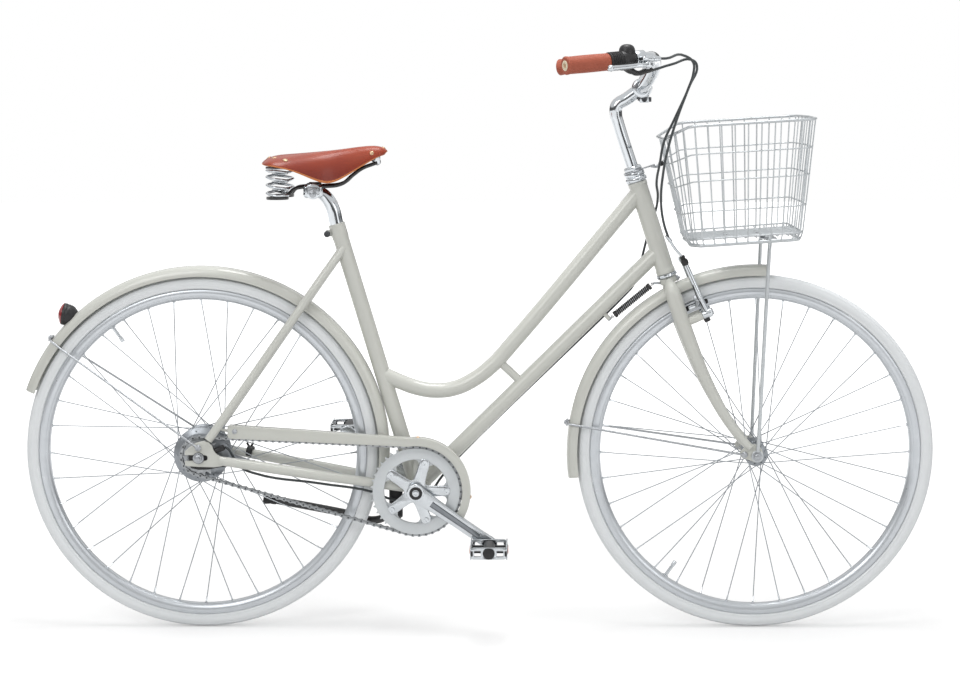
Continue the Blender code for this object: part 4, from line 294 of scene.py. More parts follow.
ENAMEL = new_finish("pale_grey_enamel", (203, 204, 197), (198, 199, 192), 0.34, 0.1, 18, 0.02, coat=0.5)
CHROME = new_finish("chrome_plate", (200, 204, 207), (188, 192, 196), 0.08, 0.06, 30, 0.02, metallic=1.0)
ALLOY = new_finish("polished_alloy", (204, 208, 211), (184, 188, 192), 0.2, 0.12, 60, 0.05, metallic=1.0)
RIM_ALLOY = new_finish("rim_alloy", (198, 202, 206), (188, 192, 196), 0.3, 0.12, 60, 0.05, metallic=0.75)
RING_ALLOY = new_finish("brushed_ring", (200, 204, 206), (190, 194, 196), 0.36, 0.12, 80, 0.08, metallic=0.6)
# The hubs' own alloy, which the crank's groove also takes as painted shade.
HUB_ALLOY_AND_GROOVE_SHADE = new_finish("hub_shell", (150, 154, 158), (128, 132, 137), 0.34, 0.14, 70, 0.08, metallic=0.9)
ZINC = new_finish("bright_zinc", (180, 183, 186), (150, 153, 157), 0.32, 0.16, 90, 0.08, metallic=1.0)
WIRE = new_finish("silver_wire", (196, 200, 202), (178, 182, 185), 0.36, 0.12, 120, 0.06, metallic=0.6)
SPOKE_STEEL = new_finish("spoke_steel", (170, 174, 178), (150, 155, 160), 0.3, 0.1, 120, 0.03, metallic=0.8)
CHAIN_STEEL = new_finish("chain_steel", (176, 179, 181), (128, 131, 134), 0.34, 0.2, 160, 0.1, metallic=0.9)
DARK_STEEL = new_finish("dark_steel", (92, 94, 97), (66, 68, 70), 0.36, 0.16, 90, 0.1, metallic=0.9)
BLACK_STEEL = new_finish("black_coated_steel", (26, 26, 28), (16, 16, 17), 0.34, 0.16, 70, 0.12, coat=0.2)
BLACK_PLASTIC = new_finish("black_moulding", (24, 24, 26), (14, 14, 16), 0.42, 0.14, 160, 0.2)
BLACK_RUBBER = new_finish("black_rubber", (28, 28, 29), (19, 19, 20), 0.7, 0.12, 120, 0.25)
CABLE_COVER = new_finish("cable_housing", (62, 68, 70), (44, 48, 50), 0.36, 0.1, 90, 0.1)
TYRE_WHITE = new_finish("white_tyre_rubber", (232, 235, 236), (225, 228, 230), 0.62, 0.1, 45, 0.14)
GRIP_BROWN = new_finish("brown_grip", (172, 88, 64), (154, 74, 52), 0.6, 0.14, 90, 0.35)
CREAM = new_finish("cream_plug", (228, 216, 190), (214, 200, 172), 0.5, 0.1, 80, 0.1)
COPPER = new_finish("rivet_copper", (212, 182, 152), (190, 158, 124), 0.32, 0.14, 90, 0.06, metallic=0.8)
RED_LENS = new_finish("red_lens", (168, 20, 26), (120, 10, 18), 0.16, 0.1, 60, 0.3, coat=0.6)
AMBER = new_finish("amber_reflector", (222, 112, 60), (190, 84, 38), 0.22, 0.1, 60, 0.3, coat=0.5)
LEATHER_EDGE = new_finish("cut_leather_edge", (214, 134, 76), (190, 106, 54), 0.6, 0.12, 90, 0.3)


def make_leather():
    """Tanned leather: honey on top, with painted shade that darkens it down the skirts, fine pores and a
    burnished sheen.
    """
    made = new_finish("honey_leather", (166, 62, 14), (136, 38, 8), 0.42, 0.14, 22, 0.18, coat=0.12)
    nodes, links = made.node_tree.nodes, made.node_tree.links
    coords, split = nodes.new("ShaderNodeTexCoord"), nodes.new("ShaderNodeSeparateXYZ")
    # Painted shade: the colour darkens below the top, down the skirts.
    fall = nodes.new("ShaderNodeMapRange")
    for label, value in (("From Min", 0.876), ("From Max", 0.925), ("To Min", 0.75), ("To Max", 0.0)):
        fall.inputs[label].default_value = value
    skirt_shade = nodes.new("ShaderNodeMix")
    skirt_shade.data_type = "RGBA"
    skirt_shade.inputs["B"].default_value = linear(110, 24, 4)
    pores = nodes.new("ShaderNodeTexVoronoi")
    pores.inputs["Scale"].default_value = 900.0
    both = math_node(nodes, "MULTIPLY_ADD", None, 0.35)
    join_sockets(links, coords.outputs["Object"], split.inputs[0], split.outputs["Z"], fall.inputs["Value"],
                 fall.outputs[0], skirt_shade.inputs["Factor"], nodes["surface"].outputs["Colour"], skirt_shade.inputs["A"],
                 skirt_shade.outputs["Result"], nodes["Principled BSDF"].inputs["Base Color"],
                 coords.outputs["Object"], pores.inputs["Vector"], pores.outputs["Distance"], both.inputs[0],
                 nodes["surface"].outputs["Height"], both.inputs[2], both.outputs[0],
                 nodes["raised"].inputs["Height"])
    return made


LEATHER = make_leather()


# The maker's tools

def pick(piece):
    """Make one object the selected and active one."""
    bpy.ops.object.select_all(action="DESELECT")
    piece.select_set(True)
    bpy.context.view_layer.objects.active = piece
    return piece


def close_up(piece):
    """Close the seams of a shape and point its faces outwards."""
    pick(piece)
    bpy.ops.object.mode_set(mode="EDIT")
    bpy.ops.mesh.select_all(action="SELECT")
    bpy.ops.mesh.remove_doubles(threshold=0.00001)
    bpy.ops.mesh.normals_make_consistent(inside=False)
    bpy.ops.object.mode_set(mode="OBJECT")
    return piece


def put(piece, placing):
    """Set a shape in its place, which goes into its mesh."""
    pick(piece)
    piece.matrix_world = placing @ piece.matrix_world
    bpy.ops.object.transform_apply(location=True, rotation=True, scale=True)
    return piece


def shape_up(piece, kind, **settings):
    """Add a modifier with its settings and apply it."""
    pick(piece)
    change = piece.modifiers.new(kind.lower(), kind)
    for name, value in settings.items():
        setattr(change, name, value)
    bpy.ops.object.modifier_apply(modifier=change.name)
    return piece


def soften(piece, width, segments=2):
    """Round the sharp edges of a shape."""
    return shape_up(piece, "BEVEL", width=width, segments=segments, limit_method="ANGLE",
                    angle_limit=radians(38))


def tint(piece, finish):
    """Give a shape one finish."""
    piece.data.materials.clear()
    piece.data.materials.append(finish)
    return piece


def join(shapes):
    """One piece from several, each keeping its finish."""
    bpy.ops.object.select_all(action="DESELECT")
    for shape in shapes:
        shape.select_set(True)
    bpy.context.view_layer.objects.active = shapes[0]
    bpy.ops.object.join()
    return shapes[0]


def repeat(master, placings):
    """The master set at each placing, every copy with its own mesh, as one piece."""
    copies = []
    for placing in placings:
        copy = master.copy()
        copy.data = master.data.copy()
        bpy.context.scene.collection.objects.link(copy)
        copies.append(put(copy, placing))
    bpy.data.objects.remove(master, do_unlink=True)
    return join(copies)


def draw(loops, closed=False, bent=False, **settings):
    """A mesh from a curve through points; a fourth value of a point is the curve's own radius there."""
    curve = bpy.data.curves.new("drawn", "CURVE")
    for setting, value in settings.items():
        setattr(curve, setting, value)
    for loop in loops:
        line = curve.splines.new("BEZIER" if bent else "POLY")
        line.use_cyclic_u = closed
        spots = line.bezier_points if bent else line.points
        spots.add(len(loop) - 1)
        for spot, point in zip(spots, loop):
            place = tuple(point[:3])
            spot.co = place if bent else (*place, 1.0)
            if bent:
                spot.handle_left_type = spot.handle_right_type = "AUTO"
            if len(point) > 3:
                spot.radius = point[3] / curve.bevel_depth
    drawn = bpy.data.objects.new("drawn", curve)
    bpy.context.scene.collection.objects.link(drawn)
    pick(drawn)
    bpy.ops.object.convert(target="MESH")
    return bpy.context.object


def pipe(points, radius, finish, bent=True, closed=False, sides=3, grain=8):
    """A round bar through its points; a bent one runs smoothly between them."""
    made = draw([points], closed, bent, dimensions="3D", bevel_depth=radius, bevel_resolution=sides,
                resolution_u=grain, use_fill_caps=not closed)
    return tint(close_up(made), finish)


def cut_sheet(loops, thickness, finish, placing, edge=0.0004, rounding=1):
    """A flat piece cut to outlines, laid by a placing matrix, with its edges broken."""
    flat = [[(a, b, 0.0) for a, b in loop] for loop in loops]
    made = draw(flat, True, dimensions="2D", fill_mode="BOTH", extrude=thickness / 2 - edge, bevel_depth=edge,
                bevel_resolution=rounding, offset=-edge)
    return tint(close_up(put(made, placing)), finish)


def sheet(loops, thickness, y, finish, edge=0.0004, rounding=1):
    """A sheet cut to outlines of (x, z) points, its middle plane at y."""
    placing = Matrix.Translation(Y * y) @ Matrix.Rotation(pi / 2, 4, "X")
    return cut_sheet(loops, thickness, finish, placing, edge, rounding)


def turned(profile, origin, direction, finish, steps=32, closed=False, start=0.0, sweep=2 * pi):
    """A shape spun from (radius, height) points; a part turn leaves an open surface."""
    made = draw([[(r * cos(start), r * sin(start), h) for r, h in profile]], closed, dimensions="3D")
    bpy.ops.object.mode_set(mode="EDIT")
    bpy.ops.mesh.select_all(action="SELECT")
    # The operator turns against the angle's sign.
    bpy.ops.mesh.spin(steps=steps, angle=-sweep, center=(0, 0, 0), axis=(0, 0, 1))
    bpy.ops.object.mode_set(mode="OBJECT")
    close_up(made)
    return tint(put(made, aim(origin, direction)), finish)


def hoop(profile, origin, direction, finish, steps=40):
    """A turned shape with an open middle, whose profile comes back to its start."""
    return turned(profile, origin, direction, finish, steps, closed=True)


def block(centre, size, finish, facing=X, edge=0.001, segments=2):
    """A softened block; facing X its size is (X, Y, Z), facing Y it is (Y, Z, X)."""
    bpy.ops.object.select_all(action="DESELECT")
    bpy.ops.mesh.primitive_cube_add(size=1.0)
    made = bpy.context.object
    put(made, aim(centre, facing) @ Matrix.Diagonal((size[2], size[1], size[0], 1)))
    return tint(soften(made, edge, segments), finish)


def bar(start, end, radius, finish, sides=24, edge=0.0006):
    """A straight round or many-sided piece with its ends broken."""
    start, end = Vector(start), Vector(end)
    bpy.ops.object.select_all(action="DESELECT")
    bpy.ops.mesh.primitive_cylinder_add(vertices=sides, radius=radius, depth=(end - start).length)
    made = put(bpy.context.object, aim((start + end) / 2, end - start))
    return tint(soften(made, edge), finish)


def dome(centre, direction, radius, height, finish, steps=20):
    """A low rounded head standing on a face."""
    curve = [(radius * cos(k * pi / 12), height * sin(k * pi / 12)) for k in range(6)]
    return turned([(0.0, -0.0004), (radius, -0.0004)] + curve + [(0.0, height)], centre, direction, finish,
                  steps)


def socket_bolt(centre, direction, radius, height, finish):
    """A round bolt head with a hollow in its top."""
    profile = [(0.0, height * 0.45), (radius * 0.42, height * 0.45), (radius * 0.48, height * 0.96),
               (radius * 0.62, height), (radius * 0.88, height), (radius, height * 0.8), (radius, -0.0004),
               (0.0, -0.0004)]
    return turned(profile, centre, direction, finish, 16)


def hex_nut(centre, direction, radius, height, finish, stub=0.0, stub_radius=0.0):
    """A six-sided nut on its washer, with the end of its axle or bolt standing out of it."""
    direction = Vector(direction).normalized()
    washer = [(0, 0), (radius * 1.18, 0), (radius * 1.18, 0.001), (radius * 1.05, 0.0013), (0, 0.0013)]
    shapes = [bar(centre, centre + direction * height, radius, finish, 6, radius * 0.08),
              turned(washer, centre, direction, finish, 24)]
    if stub:
        shapes.append(bar(centre, centre + direction * (height + stub), stub_radius, finish, 16,
                          stub_radius * 0.2))
    return join(shapes)


def finish_up(piece, name, nodes, crease):
    """Name a piece, smooth it between its real edges and let it take the place of its nodes."""
    piece.name = name
    piece.data.name = name
    pick(piece)
    bpy.ops.object.shade_smooth_by_angle(angle=radians(crease))
    if nodes:
        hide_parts(*nodes)


def fit(shapes, name, body, slot, *nodes, crease=38):
    """Hang a finished piece on its body. It is made of one shape or of a list of them."""
    piece = join(shapes) if isinstance(shapes, list) else shapes
    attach(piece, body)
    finish_up(piece, name, nodes, crease)


def fit_across(piece, name, slot, start, end, *nodes):
    """A cable or spring with its placing baked into its mesh, on no body; start and end are not used."""
    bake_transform(piece)
    finish_up(piece, name, nodes, 38)


def mm(*values, row=2):
    """Points from their measures in millimetres, as many in a row as a point has."""
    return [tuple(v / 1000 for v in values[k:k + row]) for k in range(0, len(values), row)]


def mirrored(half):
    """A profile from its half: the same at both sides of the middle plane."""
    return half + [(r, -h) for r, h in reversed(half) if abs(h) > 1e-7]


def both_sides(points):
    """A path from its left half and on to the right, with a point in the middle taken once."""
    return points + [(x, -y, z) for x, y, z in reversed(points) if abs(y) > 1e-7]


# Wheels

TYRE_HALF = mm(316.8, 10.4, 317.2, 11.9, 318.4, 13.4, 318.8, 14.4, 320, 14.8, 320.8, 14.4, 324, 15.6,
               327, 16.2, 330.2, 16.1, 333, 15.2, 335, 14, 335.4, 14.3, 336.7, 13.6, 337.9, 12.2, 338.9, 10.6,
               338.5, 9.8, 339.7, 8.5, 340.7, 6.4, 340.2, 5.7, 341.3, 4.3, 341.8, 2.3, 341.3, 1.6, 342, 0.8)
RIM_HALF = mm(296.6, 4.5, 297.4, 7.2, 299.8, 9.6, 302.4, 11.4, 303.4, 11.8, 304, 11.4, 304.8, 11.9, 314.8, 12,
              315.2, 11.7, 315.8, 11.9, 316.5, 11.2, 316.2, 10.2, 312, 10, 309.6, 8.4, 308.6, 4)
FRONT_HUB_HALF = mm(4.9, 48.5, 8.4, 48.5, 9, 47.8, 9.1, 44.6, 10.4, 43.8, 10.8, 37.6, 13.8, 36, 20.8, 34.5,
                    22.2, 34.1, 22.6, 32.9, 22.2, 31.7, 20, 31.3, 15, 30.2, 12.7, 27.2, 11.7, 20, 11.5, 6,
                    12.2, 5, 12.2, 2, 11.5, 1)
REAR_HUB = mm(5.4, 36, 18, 36, 20, 35.2, 41, 35.2, 43, 34.4, 51.5, 31.2, 53, 30.4, 53, 29, 51.8, 28.4,
              42, 27.2, 38, 25.2, 37.1, 21, 36.9, 2, 37.4, 1.4, 37.4, -4, 36.9, -4.6, 37.1, -20, 38.2, -24.4,
              44, -25.8, 50, -26.6, 51.1, -27.4, 51.1, -28.8, 49.8, -29.8, 40, -32.2, 34, -34.8, 30, -40,
              28, -44, 21.5, -48.6, 18, -50, 5.4, -50)
WHEEL_AXIS = -Y


def spoke_ends(hub, flange_y, hole_radius, first):
    """Where each spoke of a flange meets the rim and where it leaves the flange, and the way it leans."""
    per_flange = SPOKE_COUNT // 2
    lean = 2 * pi * SPOKE_CROSSINGS / per_flange
    side = 1 if flange_y > 0 else -1
    for k in range(per_flange):
        angle = first + 2 * pi * k / per_flange
        sense = 1 if k % 2 else -1
        start = hub + ray(angle) * hole_radius + Y * (flange_y + sense * 0.0016)
        end = hub + ray(angle + sense * lean) * RIM_INNER + Y * (side * 0.0022 + sense * 0.0014)
        yield end, start, sense


def make_spokes(name, body, hub, flanges):
    """Round spokes with their bent heads, nipples and rim eyelets, laced three times across."""
    rows = []
    for flange in flanges:
        for wanted in (-1, 1):
            spots = [(end, start) for end, start, sense in spoke_ends(hub, *flange) if sense == wanted]
            length = (spots[0][1] - spots[0][0]).length
            bend = -Y * wanted
            path = [Z * 0.004, Z * (length - 0.003), Z * (length - 0.0008) + bend * 0.0008,
                    Z * length + bend * 0.0034]
            spoke = pipe(path, 0.00098, SPOKE_STEEL, bent=False, sides=1)
            head = turned(mm(0, 3.5, 1.4, 3.8, 1.4, 0.3, 0, 0), path[-1] - bend * 0.0004, bend, SPOKE_STEEL,
                          8)
            nipple = turned(mm(0, -0.8, 2, -0.8, 1.9, 3, 1.6, 3.6, 1.5, 11.8, 1.1, 12.4, 0, 12.4), Vector(),
                            Z, ALLOY, 8)
            eyelet = hoop(mm(1.8, -1.2, 3.4, -1.2, 3.4, 0.2, 2.8, 0.8, 1.8, 0.8), Vector(), Z, ALLOY, 12)
            placings = [aim(end, start - end) for end, start in spots]
            rows.append(repeat(join([spoke, head, nipple, eyelet]), placings))
    fit(rows, name, body, "alloy")


def make_wheel(name, hub, valve_angle, flanges, hub_profile):
    """A tyre, a rim with its valve, a turned hub and the spokes."""
    body = f"{name}_wheel"
    tyre = hoop(mirrored(TYRE_HALF), hub, WHEEL_AXIS, TYRE_WHITE, 128)
    fit(tyre, f"{name}_tyre_cover", body, "white_tyre", f"{name}_tyre", crease=50)
    rim = hoop(mirrored(RIM_HALF), hub, WHEEL_AXIS, RIM_ALLOY, 128)
    outward = ray(valve_angle)
    stem = turned(mm(0, -3, 6, -3, 6, 3, 4.6, 4.2, 3.3, 4.6, 3.3, 23, 2.6, 23.6, 2.6, 25, 3.8, 25.3, 4, 34,
                     3.4, 36, 0, 36.2), hub + outward * (RIM_INNER + 0.002), -outward, ALLOY, 16)
    fit([rim, stem], f"{name}_rim_hoop", body, "alloy", f"{name}_rim")
    make_spokes(f"{name}_spokes", body, hub, flanges)
    shell = hoop(hub_profile, hub, WHEEL_AXIS, HUB_ALLOY_AND_GROOVE_SHADE, 56)
    fit(shell, f"{name}_hub_shell", body, "alloy", f"{name}_hub")


def make_wheels():
    """Both wheels; the rear hub is wider and its flanges are larger."""
    half_hole = 2 * pi / SPOKE_COUNT
    make_wheel("front", FRONT, radians(235), [(-0.0329, 0.0195, 0.0), (0.0329, 0.0195, half_hole)],
               mirrored(FRONT_HUB_HALF))
    make_wheel("rear", REAR, radians(125), [(-0.03, 0.0465, 0.0), (0.028, 0.045, half_hole)], REAR_HUB)


# Frame

DOWN_TOP = 0.0453
TOP_TUBE = mm(-32, 205, 3, 192.5, 38.7, 187.6, 73, 192, 105.9, 206.6, 145.2, 236.1, 184.7, 279.4)
SEAT_STAY = mm(259, 372, 17, 231, 333, 30, 201, 290.6, 35.5, 131, 192, 46, 18.7, 33.3, 66, row=3)
CHAIN_STAY = mm(407.3, -66, 26, 8.8, 381.3, -62.5, 32.5, 8.8, 326.3, -53.5, 34.5, 9.2,
                229.3, -37.6, 47.5, 9.8, 101.3, -16, 60, 9.8, 39.3, -5.5, 66.5, 8.6, row=4)
DROPOUT = mm(-25.8, 5.4, -25.8, 12, -24.6, 14, -19, 19, -10, 26.2, -2, 30, 11, 33, 20, 30, 26.2, 23, 29, 14,
             34.5, 7, 42, 3, 53, 1, 56, -5, 56, -11, 43, -16, 30, -18, 0, -17.2, -24, -15.5, -25.8, -14,
             -25.8, -5.4, 12.5, -5.4, 15.8, -4.2, 17.2, -1.8, 17.2, 1.8, 15.8, 4.2, 12.5, 5.4)
GUARD_FACE = -0.055
GUARD_RADIUS = 0.104
GUARD_BOLT = (0.068, 0.049)
GUARD_ARMS = (radians(88), radians(-6))
SPRING_HOOK = step(CRANKS, 0.37, 0.325)


def make_main_tubes():
    """The welded tubes, with a rolled collar at each end of the head tube and a bead at the cranks."""
    down_course = steer(DOWN_TOP) - CRANKS
    head = mm(15, 0, 17.6, 0, 18.2, 1.2, 18.2, 7, 17.5, 8.6, 17.3, 11)
    head += [(r, HEAD_LENGTH - h) for r, h in reversed(head)]
    seat = mm(0, 0, 15.1, 0, 15.1, 501, 15.8, 503, 16, 530, 15.6, 531, 14, 531, 14, 490, 0, 490)
    shell = mm(17.2, 34, 19, 34, 19.5, 33.4, 19.5, -33.4, 19, -34, 17.2, -34)
    top = [CRANKS + SEAT_UP * 0.2295] + [step(CRANKS, x, z) for x, z in TOP_TUBE] + [steer(0.1642)]
    strut = [step(CRANKS, 0.156, 0.2464), step(CRANKS, 0.2059, 0.1993)]
    shapes = [hoop(head, HEAD, HEAD_UP, ENAMEL), turned(seat, CRANKS, SEAT_UP, ENAMEL, 40),
              hoop(shell, CRANKS, WHEEL_AXIS, ENAMEL),
              pipe([CRANKS, steer(DOWN_TOP)], 0.0148, ENAMEL, bent=False, sides=8),
              pipe(top, 0.0148, ENAMEL, sides=8, grain=10), pipe(strut, 0.008, ENAMEL, bent=False, sides=6)]
    for course in (down_course.normalized(), SEAT_UP):
        bead = mm(14, -2.2, 15.8, -0.8, 15.8, 0.8, 14, 2.2)
        shapes.append(hoop(bead, CRANKS + course * 0.0215, course, ENAMEL, 32))
    toward = Vector((-down_course.z, 0, down_course.x)).normalized()
    shapes.append(bar(SPRING_HOOK, SPRING_HOOK + toward * 0.021, 0.0042, ENAMEL, 12))
    shapes.append(socket_bolt(SPRING_HOOK - toward * 0.0002, -toward, 0.0042, 0.0022, ZINC))
    return shapes


def make_stays():
    """The stays, their bridges and the slotted plates that hold the rear axle."""
    shapes = []
    for side in (-1, 1):
        seat = [CRANKS + SEAT_UP * 0.484 + Y * side * 0.009]
        seat += [step(REAR, x, z, side * y) for x, z, y in SEAT_STAY]
        shapes.append(pipe(seat, 0.0081, ENAMEL, sides=6))
        chain = [(*step(REAR, x, z, side * y), r) for x, z, y, r in CHAIN_STAY]
        shapes.append(pipe(chain, 0.0098, ENAMEL, sides=6))
        plate = [[(REAR.x + x, REAR.z + z) for x, z in DROPOUT]]
        shapes.append(sheet(plate, 0.005, side * 0.0675, ENAMEL, 0.0008))
    for x, z, half in ((0.2132, 0.308, 0.033), (0.3735, -0.06, 0.032)):
        shapes.append(bar(step(REAR, x, z, -half), step(REAR, x, z, half), 0.005, ENAMEL, 16))
    return shapes


def make_frame():
    """The frame with its seat lug, guard arms, and the clip of the gear cable."""
    shapes = make_main_tubes() + make_stays()
    back = Vector((-SEAT_UP.z, 0, SEAT_UP.x))
    ear = SEAT_TOP - SEAT_UP * 0.0135
    pinch = ear + back * 0.022
    for side in (-1, 1):
        shapes.append(block(ear + back * 0.0185 + Y * side * 0.0036, (0.0056, 0.012, 0.013), ENAMEL, Y,
                            0.0016))
    shapes.append(bar(pinch - Y * 0.0105, pinch + Y * 0.0105, 0.0056, ZINC, 20))
    shapes.append(socket_bolt(pinch - Y * 0.0102, -Y, 0.0062, 0.0034, DARK_STEEL))
    bolt = step(REAR, *GUARD_BOLT, GUARD_FACE)
    shapes.append(bar(bolt + Y * 0.0003, bolt + Y * 0.0055, 0.006, ENAMEL, 20))
    arm = [bolt + Y * 0.003, step(REAR, 0.05, 0.0505, -0.052), step(REAR, 0.035, 0.0563, -0.062)]
    shapes.append(pipe(arm, 0.0026, ENAMEL))
    for angle in GUARD_ARMS:
        middle = CRANKS + ray(angle) * 0.0596 + Y * -0.0348
        shapes.append(block(middle, (0.0862, 0.0034, 0.014), ENAMEL, ray(angle)))
    clip = step(REAR, 0.083, -0.009, 0.0615)
    band = mm(9.6, -6, 11.2, -6, 11.6, -5, 11.6, 5, 11.2, 6, 9.6, 6)
    shapes.append(hoop(band, clip, (0.97, -0.14, -0.19), BLACK_PLASTIC, 24))
    for lean in (-0.0045, 0.0045):
        foot = clip + Z * 0.0095 + X * lean * 0.4
        shapes.append(pipe([foot, foot + Z * 0.008 + X * lean], 0.0022, BLACK_PLASTIC, bent=False))
    fit(shapes, "frame_tubes", "frame_body", "enamel", "frame")


def make_headset():
    """Both bearing cups and the nut on top of them."""
    lower = mm(13, -8, 17.2, -8, 18.5, -7.6, 19.9, -6, 20, -4.6, 19.6, -4.2, 19.6, -3.6, 20, -3.2, 19.8, -1.6,
               18, -0.3, 13, -0.3)
    fit(hoop(lower, HEAD, HEAD_UP, CHROME, 48), "lower_head_race", "frame_body", "chrome",
        "headset_lower_cup")
    upper = mm(13, 0.3, 17.6, 0.3, 19.6, 1.8, 20, 3, 20, 7.2, 19, 9, 17.6, 10.2, 17.6, 11.2, 18.8, 12, 19, 13,
               19, 18.6, 18.4, 19.5, 13, 19.5)
    fit(hoop(upper, steer(HEAD_LENGTH), HEAD_UP, CHROME, 48), "upper_head_race", "frame_body", "chrome",
        "headset_upper_cup")
    low = HEAD_LENGTH + CUP_HEIGHT + BRACKET_SHEET + 2 * GAP
    nut = bar(steer(low), steer(low + 0.0066), 0.019, CHROME, 6, 0.001)
    collar = hoop(mm(12.8, 0, 15.8, 0, 16.4, 6.8, 15, 8.2, 12.8, 8.2), steer(low), HEAD_UP, CHROME)
    fit([nut, collar], "head_locknut", "steering_body", "chrome", "headset_locknut")


# Mudguards and lamp

CROWN = 0.3609  # the mudguards' middle line, from the hub
GUARD_TAB = CROWN - 0.0004
STAY_ANGLE = radians(142.5)


def mudguard(hub, first, last, steps):
    """A rolled sheet with turned-in edges, following the tyre."""
    half, drop = 0.0219, 0.0186
    side = [(CROWN - drop - 0.0009, half - 0.0012), (CROWN - drop, half)]
    for k in range(1, 8):
        turn = k * pi / 16
        side.append((CROWN - drop + drop * sin(turn) ** 0.92, half * cos(turn) ** 0.62))
    guard = turned(side + [(CROWN, 0.0)] + [(r, -h) for r, h in reversed(side)], hub, WHEEL_AXIS, ENAMEL,
                   steps, start=first, sweep=last - first)
    shape_up(guard, "SOLIDIFY", thickness=0.0012, offset=0.0, use_even_offset=True)
    return soften(guard, 0.0004, 1)


def make_mudguards():
    """Both blades with the tabs that hold them to the bridge and the crown."""
    rear = mudguard(REAR, radians(-5.7), radians(160.0), 72)
    bridge = step(REAR, 0.2132, 0.308)
    toward = (REAR - bridge).normalized()
    tab = bar(REAR - toward * GUARD_TAB, bridge + toward * 0.0053, 0.0042, ENAMEL, 16)
    bolt = dome(REAR - toward * (CROWN - 0.0013), toward, 0.006, 0.0026, ZINC)
    fit([rear, tab, bolt], "rear_mudguard_blade", "frame_body", "enamel", "rear_mudguard")
    front = mudguard(FRONT, radians(86.4), radians(187.8), 44)
    crown = steer(-0.02)
    tab = bar(FRONT + (crown - FRONT).normalized() * GUARD_TAB, crown, 0.006, ENAMEL, 16)
    fit([front, tab], "front_mudguard_blade", "steering_body", "enamel", "front_mudguard")


def make_mudguard_stay(hub, angle, anchor, anchor_y, name, body, node):
    """A wire round the mudguard with an eye at each end, held by a clip and a bolt."""
    outside, spread = CROWN + 0.003, 0.0252
    away, along = ray(angle), ray(angle + pi / 2)
    half = [anchor + Y * (anchor_y + 0.0057), hub + away * 0.336 + Y * (spread + 0.002),
            hub + away * 0.353 + Y * spread, hub + away * (outside - 0.002) + Y * (spread - 0.002),
            hub + away * outside + Y * (spread - 0.006)]
    shapes = [pipe(both_sides(half), 0.0021, ZINC, bent=False)]
    for side in (-1, 1):
        face, out = anchor + Y * side * anchor_y, Y * side
        shapes.append(turned(mm(0, 0, 5.6, 0, 6, 0.6, 6, 4, 5.2, 4.8, 0, 4.8), face, out, ZINC, 24))
        shapes.append(socket_bolt(face + out * 0.0046, out, 0.0042, 0.0026, ZINC))
    shapes.append(block(hub + away * (outside + 0.001), (0.012, 0.02, 0.0042), ZINC, along, 0.0012))
    shapes.append(hex_nut(hub + away * (outside + 0.0024), away, 0.0048, 0.0036, ZINC, 0.0016, 0.0024))
    fit(shapes, name, body, "steel", node)


def make_rear_light():
    """A black shell with a pleated red lens standing on the rear mudguard."""
    facing = Vector((-0.984, 0, 0.178)).normalized()
    rim = step(REAR, -0.2648, 0.269)
    foot = rim - facing * 0.0265 - Z * 0.008
    shell = turned(mm(0, 0.3, 20.6, 0.3, 21.2, -0.6, 21.2, -5.2, 20, -6.8, 20.3, -10, 19, -13, 16, -18,
                      0, -19.6), rim, facing, BLACK_PLASTIC, 40)
    neck = turned(mm(0, -1, 20.2, 0, 19, 6, 15, 13, 10.2, 17.6, 0, 19), rim - facing * 0.009, foot - rim,
                  BLACK_PLASTIC, 32)
    base = block(foot + facing * 0.0065 + Z * 0.003, (0.024, 0.018, 0.006), BLACK_PLASTIC,
                 ray(STAY_ANGLE + pi / 2 - 0.1), 0.002)
    fit([shell, neck, base], "rear_light_shell", "frame_body", "black_plastic", "rear_light_housing")
    rings = [(0.0, 0.0094)]
    for k in range(1, 9):
        r = 0.0196 * k / 8
        rings += [(r - 0.0011, 0.0094 - 0.0068 * ((r - 0.0011) / 0.0205) ** 2),
                  (r, 0.0088 - 0.0068 * (r / 0.0205) ** 2)]
    rings += mm(20.6, 2, 21.2, 1, 21.2, 0.3, 0, 0.3)
    fit(turned(rings, rim, facing, RED_LENS, 40), "rear_light_glass", "frame_body", "red_lens",
        "rear_light_lens", crease=20)


# Drive

CHAIN_AWAY = atan2((REAR - CRANKS).z, (REAR - CRANKS).x)  # the direction from the cranks to the rear hub
SPIDER_ARMS = [CRANK_ANGLE + radians(36) + 2 * pi * k / 5 for k in range(5)]


def chain_pins():
    """The pins round both toothed wheels, seated in their gaps, and spaced along both runs."""
    wrap = asin((RING_RADIUS - SPROCKET_RADIUS) / (REAR - CRANKS).length)

    def seated(hub, radius, teeth, middle, reach):
        """The pins in a toothed wheel's gaps, as far as reach to both sides of its middle one."""
        gap = 2 * pi / teeth
        half = int(reach / gap)
        return [hub + ray(middle - k * gap) * radius for k in range(-half, half + 1)]

    ring = seated(CRANKS, RING_RADIUS, RING_TEETH, CHAIN_AWAY + pi, pi / 2 + wrap)
    sprocket = seated(REAR, SPROCKET_RADIUS, SPROCKET_TEETH, CHAIN_AWAY, pi / 2 - wrap)
    spare = (LINKS - len(ring) - len(sprocket)) // 2

    def run(last, goal, start_hub, start_radius, goal_hub, goal_radius, sense):
        """Pins between two seated ones, along the arc that is left, the tangent and the next arc."""
        tangent = ray(CHAIN_AWAY + sense * (pi / 2 - wrap))
        path = [last, start_hub + tangent * start_radius, goal_hub + tangent * goal_radius, goal]
        lengths = [(b - a).length for a, b in zip(path, path[1:])]
        pins = []
        for k in range(1, spare + 1):
            left, leg = sum(lengths) * k / (spare + 1), 0
            while left > lengths[leg]:
                left -= lengths[leg]
                leg += 1
            pins.append(path[leg].lerp(path[leg + 1], left / lengths[leg]))
        return pins

    lower = run(ring[-1], sprocket[0], CRANKS, RING_RADIUS, REAR, SPROCKET_RADIUS, 1)
    upper = run(sprocket[-1], ring[0], REAR, SPROCKET_RADIUS, CRANKS, RING_RADIUS, -1)
    return ring + lower + sprocket + upper


